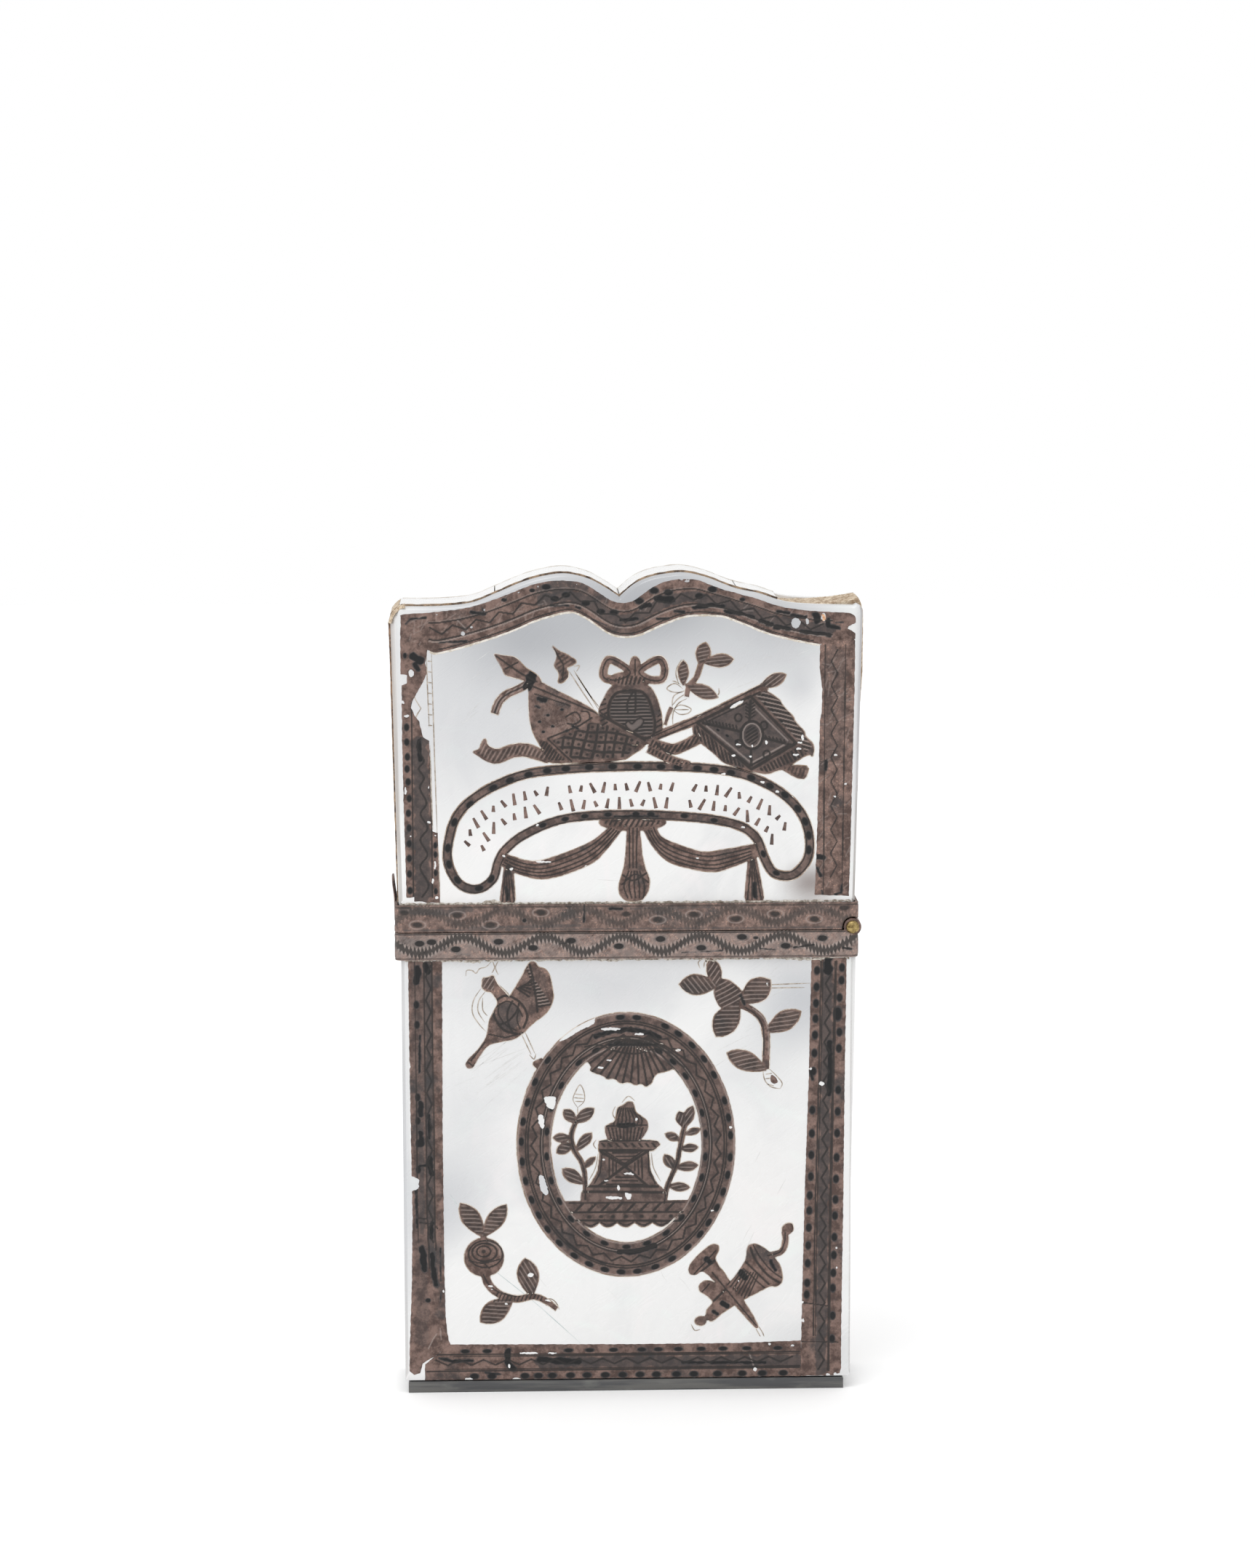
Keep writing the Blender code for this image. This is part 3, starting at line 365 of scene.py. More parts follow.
def plate(name, loop, inner_y, face_y, slope, drop, look, body, slot, *nodes, streaks=1.0):
    """A flat plate: its outline goes from the inner face to the outer one, in by slope and back by drop.
    Its slope attribute is 0 on the face and rises to 1 down the ground edge, times the corners' streaks."""
    loop = anticlockwise(loop)
    side = math.copysign(1, face_y - inner_y)
    slope = np.asarray(slope)
    rings = [(moved_in(loop, EASE), inner_y), (loop, inner_y + side * EASE),
             (loop, face_y - side * (drop + EASE)), (moved_in(loop, slope * 0.06), face_y - side * drop),
             (moved_in(loop, slope * 0.94), face_y - side * EASE * 0.6),
             (moved_in(loop, slope + EASE), face_y)]
    count = len(loop)
    points = np.vstack([np.column_stack([ring[:, 0], np.full(count, y), ring[:, 1]]) for ring, y in rings])
    here = np.arange(count)
    after = np.roll(here, -1)
    faces = []
    for level in range(len(rings) - 1):
        low, high = level * count, (level + 1) * count
        walls = np.column_stack([here + low, after + low, after + high, here + high])
        faces += (walls if side < 0 else walls[:, ::-1]).tolist()
    caps = [here[::-1].tolist(), (here + (len(rings) - 1) * count).tolist()]
    faces += caps if side < 0 else [cap[::-1] for cap in caps]
    made = piece(name, points, faces, look, body, slot, *nodes, sharp=30)
    store(made.data, "slope", np.outer([0, 0.9, 1.0, 0.98, 0.1, 0.0], np.broadcast_to(streaks, (count,))))
    return made


def hinge_notch(start, end, steps=8):
    """The arc that a plate's corner is cut away by to clear the hinge, between two angles in degrees."""
    angles = np.radians(np.linspace(start, end, steps))
    return np.column_stack([
        HINGE_X + SHELL_ROOM_R * np.cos(angles), HINGE_Z + SHELL_ROOM_R * np.sin(angles)])


# The case's grey spots are partly the shell's own clouds and partly painted reflection of the darker
# surroundings in the polished shell. The narrow one at the far left lies on the sloping edge, partly the
# colour of the cut layers and partly painted shade there; the rosy one is a tint.
GREY, ROSY = (0.50, 0.51, 0.53, 1), (0.80, 0.74, 0.72, 1)
case_shell = mother_of_pearl(
    "case_shell", 0.35, 0.35, 0.55,
    [(-14, 47, 16, 12, 0.5, GREY), (-8, 37, 12, 9, 0.3, GREY), (-17, 30, 8, 14, 0.35, GREY),
     (10, 49, 16, 6, 0.4, GREY), (19, 43.5, 6.5, 8, 0.95, GREY), (-1, 45, 13, 7, 0.65, GREY),
     (-21, 21, 6, 7.5, 0.7, GREY), (-8, 23.5, 6, 6, 0.8, GREY), (0, 27, 10, 12, 0.3, GREY),
     (14, 37, 9, 9, 0.3, GREY), (20, 4, 9, 6, 0.45, GREY), (15, 22, 9, 9, 0.12, ROSY),
     (-18.5, 22, 6, 9, 0.45, GREY), (-24.6, 27, 1.5, 40, 0.95, GREY), (16.5, 42, 6, 8, 0.5, GREY)])
CASE_OUTLINE = np.vstack([
    [(-CASE_HALF_X, CASE_FOOT), (CASE_HALF_X - 0.15, CASE_FOOT), (CASE_HALF_X, CASE_FOOT + 0.3),
     (CASE_HALF_X, CASE_FOOT + 0.9)],
    hinge_notch(270, 202), [(-CASE_HALF_X, CASE_PLATE_TOP), (-CASE_HALF_X, CASE_FOOT + 0.9)]])
CASE_SLOPES = [0.08, 0.08, 0.1, 0.3] + [0.2] * 8 + [0.5, 0.5]
for side, name in ((-1, "front"), (1, "back")):
    plate(f"case_{name}", CASE_OUTLINE, side * (FACE_Y - PLATE), side * FACE_Y, CASE_SLOPES, 0.3,
          case_shell, "case", "mother_of_pearl", f"case_{name}_plate")

# Silver on the front of the case
# The borders, the medallion and the corner motifs are sawn from thin sheet silver, let into the shell
# and engraved. The silver has gone brown and blue-black, and small pieces of it have broken out.
PROUD = 0.06
CUT_DEPTH = 0.045
SHEET = 0.2
EDGE_ROUND = 0.12


def cornered(points):
    """An outline whose corners stay sharp."""
    return [anticlockwise(points)]


def softened(points, rounds=2, share=0.2):
    """A hand-sawn outline: each corner is cut off at a share of its two sides, a few times over."""
    loop = anticlockwise(points)
    for _ in range(rounds):
        after = np.roll(loop, -1, axis=0)
        pair = np.stack([loop * (1 - share) + after * share, loop * share + after * (1 - share)], axis=1)
        loop = pair.reshape(-1, 2)
    return [loop]


def oval(x, z, half_x, half_z, count=40):
    """An oval about a middle."""
    angle = np.linspace(0, 2 * np.pi, count, endpoint=False)
    return [np.column_stack([x + half_x * np.cos(angle), z + half_z * np.sin(angle)])]


def leaf(base, tip, width, count=12):
    """A leaf: its half width along the middle line is a sine that swells past the middle to a point."""
    base, tip = np.array(base, float), np.array(tip, float)
    along = tip - base
    side = np.array([-along[1], along[0]]) / np.hypot(*along) * width / 2
    share = np.linspace(0, 1, count)[:, None]
    swell = np.maximum(np.sin(np.pi * share ** 1.25), 0) ** 0.75 + 0.12 * (1 - share)
    right = base + along * share - side * swell
    left = base + along * share + side * swell
    return cornered(np.vstack([right, left[::-1]]))


def left_of(path):
    """The direction to the left of a path at each of its points, across the line between its neighbours."""
    along = unit(np.gradient(path, axis=0))
    return np.column_stack([-along[:, 1], along[:, 0]])


def ribbon(path, width, end_width=None):
    """A strip along a smooth open path, of even width or narrowing to its end."""
    middle = curve(path)
    half = np.linspace(width, width if end_width is None else end_width, len(middle))[:, None] / 2
    side = left_of(middle) * half
    return cornered(np.vstack([middle - side, (middle + side)[::-1]]))


def loop_ribbon(path, width):
    """A strip of even width along a smooth closed path, round a hole."""
    middle = anticlockwise(curve(path, closed=True))
    return [moved_in(middle, -width / 2), moved_in(middle, width / 2)]


def between(upper, lower):
    """A hanging cloth between its upper and its lower edge."""
    return cornered(np.vstack([curve(lower), curve(upper)[::-1]]))


def gap_to(path, x, z, closed=False):
    """The distance from each place to the nearest point of a path's straight steps."""
    start = np.asarray(path, float)
    end = np.roll(start, -1, axis=0)
    if not closed:
        start, end = start[:-1], end[:-1]
    side = end - start
    long = np.maximum((side ** 2).sum(1), 1e-12)
    x, z = x[..., None] - start[:, 0], z[..., None] - start[:, 1]
    share = np.clip((x * side[:, 0] + z * side[:, 1]) / long, 0, 1)
    return np.sqrt(((x - share * side[:, 0]) ** 2 + (z - share * side[:, 1]) ** 2).min(-1))


def depth_in(loops, x, z):
    """How deep each place lies inside a shape, below zero outside it: the distance to the nearest side, with
    its sign from whether a ray to the right crosses the sides an odd number of times."""
    deep = np.full(x.shape, -1e9)
    for number, loop in enumerate(loops):
        start, end = loop, np.roll(loop, -1, axis=0)
        rise = np.where(end[:, 1] == start[:, 1], 1, end[:, 1] - start[:, 1])
        at = start[:, 0] + (end[:, 0] - start[:, 0]) * (z[..., None] - start[:, 1]) / rise
        crossed = ((start[:, 1] > z[..., None]) != (end[:, 1] > z[..., None])) & (x[..., None] < at)
        inside = crossed.sum(-1) % 2 == 1
        gap = gap_to(loop, x, z, closed=True)
        gap = np.where(inside, gap, -gap)
        deep = gap if number == 0 else np.minimum(deep, -gap)
    return deep


def groove(gap, width):
    """A cut line's depth across it: a flat floor with round sides, gone a little past half its width."""
    return np.clip(1.7 * (1 - (np.maximum(gap - 0.028, 0) / (width / 2)) ** 2), 0, 1)


def framed(kind, places, margin, mark):
    """A mark of one kind with the lowest and highest corner of what it covers."""
    return kind, places.min(0) - margin, places.max(0) + margin, mark


def line(path, width=0.2, kind="cut"):
    """A mark along a path. A cut is a dark groove, and a crest or a worn line is thin and pale."""
    path = np.array(path, float)
    return framed(kind, path, width, lambda x, z: groove(gap_to(path, x, z), width))


def curved(points, width=0.2, kind="cut"):
    """A mark along the curve through some points."""
    return line(curve(points), width, kind)


def ring_line(loop, width=0.2, kind="cut"):
    """A mark along a closed path."""
    return line(np.vstack([loop, loop[:1]]), width, kind)


def oval_line(x, z, half_x, half_z, width=0.2, kind="cut"):
    """A mark along an oval."""
    return ring_line(oval(x, z, half_x, half_z)[0], width, kind)


def hatch(shape, angle, gap, width=0.2, kind="cut", margin=0.15, shift=0.0):
    """Parallel marks inside a shape, a gap apart, at an angle in degrees from the level."""
    turned = math.radians(angle)

    def mark(x, z):
        sway = 0.1 * np.sin(1.3 * x + 0.7 * z)
        across = (z * math.cos(turned) - x * math.sin(turned) + shift) / gap + sway
        near = np.abs(across - np.round(across)) * gap
        return groove(near, width) * np.clip((depth_in(shape, x, z) - margin) / 0.1, 0, 1)

    return framed(kind, shape[0], 0, mark)


def ribs(shape, angle, gap, margin=0.15):
    """The soft furrows of a leaf or a petal, dark between thin bright crests."""
    return [hatch(shape, angle, gap, gap * 0.8, "cut_soft", margin),
            hatch(shape, angle, gap, 0.11, "crest", margin * 2.2, gap / 2)]


def spots(places, half_x, half_z, turned=0, kind="dark"):
    """Oval spots about their places, dark where kind says so, with a soft rim."""
    places = np.array(places, float)
    reach = max(half_x, half_z) * 1.6
    c, s = math.cos(math.radians(turned)), math.sin(math.radians(turned))

    def mark(x, z):
        x, z = x[..., None] - places[:, 0], z[..., None] - places[:, 1]
        far = np.sqrt(((x * c + z * s) / half_x) ** 2 + ((z * c - x * s) / half_z) ** 2).min(-1)
        return np.clip((1.25 - far) / 0.5, 0, 1)

    return framed(kind, places, reach, mark)


def blot(path, width, kind="dark"):
    """A long dark patch with a ragged edge along a path."""
    path = np.array(path, float)

    def mark(x, z):
        ragged = 0.16 * width * uneven(x * 1.3, z * 1.3) + 0.05 * uneven(x * 3.1, z * 3.1)
        return np.clip((width / 2 - gap_to(path, x, z) + ragged) / 0.16, 0, 1)

    return framed(kind, path, width, mark)


def wash(shape, kind):
    """An even shade inside a shape, up to a soft edge."""
    return framed(kind, shape[0], 0, lambda x, z: np.clip(depth_in(shape, x, z) / 0.25, 0, 1))


def stipple(shape, strength):
    """Fine rubbed flecks all over a shape."""

    def mark(x, z):
        flecks = np.sin(17 * x + 5 * np.sin(3.1 * z)) * np.sin(19 * z + 4 * np.sin(2.7 * x))
        return np.clip(1.6 * flecks, 0, 1) * strength * np.clip(depth_in(shape, x, z) / 0.3, 0, 1)

    return framed("ground", shape[0], 0, mark)


def far_along(path):
    """How far each point of a path lies from its start, as the sum of the steps before it."""
    return np.concatenate([[0], np.cumsum(np.hypot(*np.diff(path, axis=0).T))])


def places_at(path, far):
    """The places that lie some way along a path of straight steps."""
    return np.column_stack([np.interp(far, far_along(path), path[:, axis]) for axis in (0, 1)])


def zigzag(path, period, swing):
    """Points that step from side to side of a path, by half the swing, twice in each period."""
    path = np.array(path, float)
    at = np.arange(0, far_along(path)[-1], period / 2)
    along = unit(places_at(path, at + 0.2) - places_at(path, at - 0.2))
    sign = np.where(np.arange(len(at)) % 2 == 0, 1, -1)[:, None] * swing / 2
    return places_at(path, at) + np.column_stack([-along[:, 1], along[:, 0]]) * sign


def uneven(x, z):
    """An even mix of slow and quick waves in two directions, from -1 to 1, for hand-made wobble."""
    return (np.sin(1.7 * x + 0.9 * z + 1.3) + np.sin(-1.1 * x + 2.3 * z + 0.4)
            + np.sin(3.9 * x - 2.6 * z + 2.2) + np.sin(2.8 * x + 4.7 * z + 5.1)) / 4


# Each kind of mark: the attribute that carries it, its strength there, and its share of a cut's depth
CHANNELS = ("cut", "dark", "worn")
# The bright kind is used only by the bands' wave, where it is partly rubbing and partly a painted highlight
MARKS = {"cut": ("cut", 1.0, 1.0), "cut_soft": ("cut", 0.7, 0.6), "tooth": ("cut", 1.0, 0.9),
         "dark": ("dark", 1.0, 0.2), "track": ("dark", 0.36, 0.1), "faint": ("dark", 0.2, 0.05),
         "crest": ("worn", 0.8, 0.0), "worn": ("worn", 0.4, 0.0), "ground": ("worn", 0.85, 0.0),
         "bright": ("worn", 1.3, 0.0)}


def relief(name, shapes, losses, marks, cell, place, look, body, slot, *nodes, wobble, depth=SHEET):
    """A thin engraved sheet on a square grid of cells.

    A cell is kept where its middle lies inside a shape and outside every loss. The grid's points along the
    rim are drawn onto the outline, against the slope of the depth. The face stands proud, rounds off at its
    rim and sinks by each mark; the sheet is closed by a wall and a flat underside. place takes (x, z, height)
    arrays to points.
    """
    low = np.min([shape[0].min(0) for shape in shapes], axis=0) - 3 * cell
    high = np.max([shape[0].max(0) for shape in shapes], axis=0) + 3 * cell
    across, up = np.arange(low[0], high[0], cell), np.arange(low[1], high[1], cell)
    x, z = np.meshgrid(across, up, indexing="ij")

    def part(low_corner, high_corner, margin):
        a = np.searchsorted(across, [low_corner[0] - margin, high_corner[0] + margin])
        b = np.searchsorted(up, [low_corner[1] - margin, high_corner[1] + margin])
        return slice(*a), slice(*b)

    deep = np.full(x.shape, -1.0)
    for shape in shapes:
        near = part(shape[0].min(0), shape[0].max(0), 4 * cell)
        deep[near] = np.maximum(deep[near], depth_in(shape, x[near], z[near]))
    for loss in losses:
        near = part(loss[0].min(0), loss[0].max(0), 1.0)
        deep[near] = np.minimum(
            deep[near], -depth_in(loss, x[near], z[near]) + 0.06 * uneven(4 * x[near], 4 * z[near]))
    deep = deep + wobble * uneven(x * 2.1, z * 2.1)
    middle = (deep[:-1, :-1] + deep[1:, :-1] + deep[:-1, 1:] + deep[1:, 1:]) / 4
    kept = middle > 0
    for _ in range(3):
        kept[1:, :-1] |= kept[:-1, :-1] & kept[1:, 1:] & ~kept[1:, :-1] & ~kept[:-1, 1:]
        kept[:-1, :-1] |= kept[1:, :-1] & kept[:-1, 1:] & ~kept[:-1, :-1] & ~kept[1:, 1:]
    kept[[0, -1]] = kept[:, [0, -1]] = False

    attributes = {channel: np.zeros(x.shape) for channel in CHANNELS}
    sink = np.zeros(x.shape)
    for kind, low_corner, high_corner, mark in marks:
        near = part(low_corner, high_corner, 0.0)
        if x[near].size:
            channel, strength, sunk = MARKS[kind]
            value = mark(x[near], z[near])
            attributes[channel][near] = np.maximum(attributes[channel][near], strength * value)
            sink[near] = np.maximum(sink[near], sunk * value)
    corner = np.zeros(x.shape, int)
    corner[:-1, :-1] += kept
    corner[1:, :-1] += kept
    corner[:-1, 1:] += kept
    corner[1:, 1:] += kept
    slope_x, slope_z = np.gradient(deep, cell)
    steep = np.maximum(slope_x ** 2 + slope_z ** 2, 0.25)
    rim = (corner > 0) & (corner < 4)
    pull = np.where(rim, np.clip(deep, -0.75 * cell, 0.75 * cell) / steep, 0)
    x, z = x - pull * slope_x, z - pull * slope_z
    shoulder = np.clip(np.maximum(deep, 0) / EDGE_ROUND, 0, 1)
    height = PROUD * (0.25 + 0.75 * np.sqrt(1 - (1 - shoulder) ** 2)) + 0.006 * uneven(x * 1.3, z * 1.3)
    height = np.where(rim, 0.25 * PROUD, np.maximum(height - CUT_DEPTH * sink, 0.008))

    number = np.full(x.shape, -1)
    used = corner > 0
    number[used] = np.arange(used.sum())
    quads = np.stack([number[:-1, :-1], number[1:, :-1], number[1:, 1:], number[:-1, 1:]], axis=-1)[kept]
    sides = np.vstack([quads[:, [0, 1]], quads[:, [1, 2]], quads[:, [2, 3]], quads[:, [3, 0]]])
    total = int(used.sum())
    keys = sides[:, 0] * total + sides[:, 1]
    single = ~np.isin(keys, sides[:, 1] * total + sides[:, 0])
    rim_sides = sides[single]
    rim_points = np.unique(rim_sides)
    under = np.full(total, -1)
    under[rim_points] = total + np.arange(len(rim_points))
    walls = np.column_stack([
        rim_sides[:, 1], rim_sides[:, 0], under[rim_sides[:, 0]], under[rim_sides[:, 1]]])
    points = np.vstack([
        place(x[used], z[used], height[used]),
        place(x[used][rim_points], z[used][rim_points], np.full(len(rim_points), -depth))])
    made = piece(name, points, np.vstack([quads, walls]).tolist(), look, body, slot, *nodes, smooth=False)
    mesh = made.data
    sheet = bmesh.new()
    sheet.from_mesh(mesh)
    open_edges = [edge for edge in sheet.edges if edge.is_boundary]
    facing = place(np.zeros(1), np.zeros(1), np.zeros(1)) - place(np.zeros(1), np.zeros(1), np.ones(1))
    bmesh.ops.triangle_fill(sheet, use_beauty=False, edges=open_edges, normal=Vector(facing[0]))
    sheet.to_mesh(mesh)
    sheet.free()
    for label, values in attributes.items():
        store(mesh, label, np.concatenate([values[used], np.zeros(len(rim_points))]))
    mesh.shade_smooth()
    mesh.set_sharp_from_angle(angle=math.radians(45))
    return made


def on_front(x, z, height):
    """The front face, with height towards the viewer."""
    return np.column_stack([x, np.broadcast_to(-FACE_Y - height, x.shape), z])


def on_back(x, z, height):
    """The back face, drawn from behind, so that its outlines are mirrored from left to right."""
    return np.column_stack([-x, FACE_Y + height, z])


def read_mark(tree, label):
    """A mark's own attribute."""
    node = tree.nodes.new("ShaderNodeAttribute")
    node.attribute_name = label
    return node.outputs["Fac"]


# The tarnish on the silver: brown over most of it, blue-black in patches, and coppery where it is rubbed
tarnish, given, puts = group(
    "tarnish", {"Cut": 0.0, "Dark": 0.0, "Worn": 0.0, "Rub": 0.3},
    {"Colour": "Color", "Rough": "Float", "Height": "Float", "Metal": "Float"})
BROWN, PALE_BROWN = (0.094, 0.064, 0.056, 1), (0.245, 0.168, 0.144, 1)
COPPER, BLUE_GREY = (0.46, 0.29, 0.225, 1), (0.060, 0.059, 0.061, 1)
BLUE_BLACK, CUT_BLACK = (0.019, 0.020, 0.021, 1), (0.012, 0.010, 0.009, 1)
CREST_PALE = (0.42, 0.35, 0.32, 1)
broad = noise(tarnish, place_of(tarnish, (0.22, 0.22, 0.22)), 1.0, 3.0, 0.6)
mottle = noise(tarnish, place_of(tarnish, (1.1, 1.1, 1.1)), 1.0, 4.0, 0.65)
grain = noise(tarnish, place_of(tarnish, (5.0, 5.0, 5.0)), 1.0, 3.0, 0.7)
shade = blend_colours(tarnish, ramp(tarnish, mottle, 0.34, 0.66), BROWN, PALE_BROWN)
shade = blend_colours(tarnish, times(tarnish, ramp(tarnish, broad, 0.56, 0.7), 0.7), shade, BLUE_GREY)
rubbed = times(
    tarnish, times(tarnish, ramp(tarnish, grain, 0.52, 0.66), ramp(tarnish, mottle, 0.42, 0.62)),
    given["Rub"])
shade = blend_colours(tarnish, rubbed, shade, COPPER)
shade = blend_colours(
    tarnish, times(tarnish, ramp(tarnish, given["Dark"], 0.0, 0.5), 0.85), shade, BLUE_GREY)
# The worn attribute is pale wear, and on the bands' ground by the wave it also carries a painted highlight
shade = blend_colours(tarnish, times(tarnish, given["Worn"], 0.6), shade, CREST_PALE)
shade = blend_colours(
    tarnish, times(tarnish, ramp(tarnish, given["Dark"], 0.45, 1.0), 0.9), shade, BLUE_BLACK)
shade = blend_colours(tarnish, times(tarnish, given["Cut"], 0.9), shade, CUT_BLACK)
tarnish.links.new(shade, puts["Colour"])
tarnish.links.new(sum_up(tarnish, "ADD", 0.42, times(tarnish, mottle, 0.25)), puts["Rough"])
tarnish.links.new(sum_up(tarnish, "ADD", grain, times(tarnish, mottle, 0.8)), puts["Height"])
tarnish.links.new(sum_up(tarnish, "SUBTRACT", 0.75, times(tarnish, given["Cut"], 0.6)), puts["Metal"])


def old_silver(name, rub):
    """Engraved silver under its tarnish, with the marks' attributes and a share of coppery rubbed flecks."""
    made = bpy.data.materials.new(name)
    tree, surface = nodes_of(made)
    coat = use_group(
        tree, tarnish, cut=read_mark(tree, "cut"), dark=read_mark(tree, "dark"),
        worn=read_mark(tree, "worn"), rub=rub)
    tree.links.new(coat["Colour"], surface.inputs["Base Color"])
    tree.links.new(coat["Rough"], surface.inputs["Roughness"])
    tree.links.new(coat["Metal"], surface.inputs["Metallic"])
    tree.links.new(bump(tree, coat["Height"], 0.5, 0.03), surface.inputs["Normal"])
    return made


dark_silver = old_silver("dark_silver", 0.25)
rubbed_silver = old_silver("rubbed_silver", 0.7)
BORDER = {"cell": 0.085, "wobble": 0.035}
BACK = {"cell": 0.14, "wobble": 0.035, "place": on_back}


def inlay(name, body, shapes, losses, marks, cell=0.075, wobble=0.02, place=on_front, look=dark_silver):
    """Engraved silver that stands for its solid of the same name."""
    relief(f"{name}_silver", shapes, losses, marks, cell, place, look, body, "tarnished_silver",
           f"{name}_inlay", wobble=wobble)


LEFT_BORDER = [
    (-23.9, 2.5), (-23.4, 2.05), (-22.75, 2.2), (-22.45, 3.3), (-21, 4.2), (-19.4, 5.38), (-19.6, 6),
    (-19.75, 6.8), (-19.9, 8.5), (-20, 14), (-20.05, 30), (-19.95, 48), (-23.6, 48), (-23.55, 35),
    (-23.4, 20), (-23.55, 12), (-23.85, 5)]
left_marks = [
    line([(-21.9, 48), (-21.85, 30), (-21.8, 20), (-21.6, 14)], 0.14),
    line([(-21.05, 48), (-21, 30), (-21, 20), (-20.9, 16)], 0.14),
    line([(-22.9, 48), (-22.85, 30), (-22.8, 20), (-22.8, 17)], 0.1),
    line(zigzag([(-21.45, 47.5), (-21.45, 16.5)], 2.55, 0.55), 0.17),
    blot([(-21.5, 48), (-21.45, 30), (-21.4, 17), (-20.95, 12.2)], 0.95, "track"),
    blot([(-22.4, 30), (-22.35, 18)], 0.8, "track"), blot([(-22.6, 48), (-22.5, 6)], 1.7, "faint"),
    blot([(-22.6, 47.2), (-22.7, 45.6)], 0.9), blot([(-21.7, 47.6), (-21.5, 46.8)], 0.8),
    blot([(-22.4, 39.8), (-22.5, 35.8)], 0.4), blot([(-22.35, 16.2), (-22.2, 13.9)], 0.85),
    blot([(-21.3, 15.6), (-21.2, 14), (-20.95, 12.2)], 0.7), blot([(-21.5, 31), (-21.5, 28.4)], 0.5),
    blot([(-20.4, 16.2), (-20.4, 12.6)], 0.3), blot([(-20.4, 11.2), (-20.45, 10.2)], 0.3),
    blot([(-23, 22.8), (-22.9, 18.6)], 0.4), spots([(-21.8, 10.4)], 0.3, 0.25),
    line([(-22.7, 19.6), (-21.9, 19.5)], 0.12), line([(-22.6, 19.1), (-21, 18.9), (-20.7, 18.4)], 0.1),
    line([(-21.8, 5), (-21.2, 6.2), (-20.9, 6.6)], 0.1, "crest"),
    line([(-20.5, 7.2), (-20.4, 6)], 0.1, "crest"),
    spots([(-22.7, 33), (-22.7, 30.4), (-22.7, 27.9), (-22.7, 25), (-22.75, 43.2), (-22.7, 41)], 0.3, 0.45),
    spots([(-20.45, z) for z in (45.8, 43.4, 41.1, 38.6, 36.2, 33.9, 31.5, 29.2, 26.7, 24.3, 22.0, 19.8)],
          0.3, 0.5, 0, "faint"),
    blot([(-22.4, 32.4), (-22.4, 31)], 0.7), blot([(-22.4, 29), (-22.35, 27.8)], 0.8),
    blot([(-21.5, 26.3), (-21.3, 24.6)], 0.8), blot([(-22.5, 25.4), (-21.2, 25.5)], 0.45),
    blot([(-22.4, 23), (-22.3, 20.2)], 0.75, "track"), blot([(-21.3, 19), (-21.4, 17.4)], 0.6),
    blot([(-21.6, 22.6), (-21.5, 20.6)], 0.7, "track")]
inlay("case_left", "case", [cornered(LEFT_BORDER)],
      [oval(-20.12, 11.45, 0.1, 0.2), oval(-23.6, 36.5, 0.1, 0.4),
       softened([(-23.9, 24.3), (-23.2, 24.2), (-22.6, 23.9), (-22.7, 23), (-23, 22.7), (-23.9, 22.6)])],
      left_marks, **BORDER)

RIGHT_BORDER = [
    (18.9, 1.44), (22.6, 1.46), (23.2, 1.7), (23.35, 2.3), (23.35, 6), (23.4, 12), (23.5, 20), (23.6, 35),
    (23.75, 48), (19.95, 48), (19.8, 41), (19.7, 35), (19.3, 22), (19.05, 10)]
bead_left = [
    (20.55, 46.6), (20.5, 44.8), (20.45, 43), (20.4, 41.3), (20.35, 39.5), (20.3, 37.5), (20.2, 35.5),
    (20.1, 31.2), (20.05, 28.6), (20, 26.2), (19.95, 23.8), (19.85, 21.7), (19.8, 20), (19.75, 18.1),
    (19.7, 16.1), (19.65, 14.1), (19.6, 11.9), (19.55, 10.6)]
bead_right = [
    (23.25, 46.9), (23.2, 45.5), (23, 43.6), (23, 39.8), (22.95, 38), (22.9, 33.4), (22.85, 31),
    (22.8, 28.6), (22.75, 25.9), (22.7, 23.5), (22.65, 21.2), (22.6, 19.4), (22.55, 17), (22.5, 15),
    (22.45, 13), (22.4, 11.3), (22.4, 8.2), (22.35, 5.6)]
right_marks = [
    line([(21, 48), (20.8, 35), (20.45, 20), (20.3, 6)], 0.14),
    line([(21.2, 48), (21, 35), (20.65, 20), (20.5, 6)], 0.1),
    line([(22.65, 47.6), (22.4, 35), (22.15, 20), (22, 2)], 0.14),
    line([(22.5, 47.6), (22.25, 35), (22, 20), (21.85, 2)], 0.1),
    line(zigzag([(21.8, 46.2), (21.6, 35), (21.35, 20), (21.15, 1.8)], 2.15, 0.62), 0.18),
    spots(bead_left, 0.33, 0.48), spots(bead_right, 0.33, 0.48), spots([(22.8, 41.8)], 0.5, 0.8),
    blot([(21.75, 48), (21.55, 35), (21.3, 20), (21.1, 2)], 1.35, "track"),
    blot([(21.75, 48), (21.75, 46.6)], 1.1), blot([(21.9, 38.6), (22.05, 35.6), (21.9, 33)], 0.75),
    blot([(21.2, 10), (21.1, 3)], 0.9, "track"), blot([(19.9, 35.6), (20.1, 34.6)], 0.5),
    line([(19, 9.7), (21.9, 9.3)], 0.12), line([(18.9, 5.3), (23, 5.2)], 0.09)]
inlay("case_right", "case", [cornered(RIGHT_BORDER)],
      [oval(19.9, 35.75, 0.16, 0.16), oval(21.1, 34.1, 0.3, 0.22), oval(22.8, 15.8, 0.11, 0.13),
       oval(22.8, 13.6, 0.11, 0.13), oval(19.15, 7.7, 0.12, 0.25), oval(21.9, 1.55, 0.22, 0.14),
       oval(22.7, 1.6, 0.16, 0.12), oval(19.0, 9.75, 0.22, 0.12), oval(19.35, 26.0, 0.1, 0.3)],
      right_marks, **BORDER)

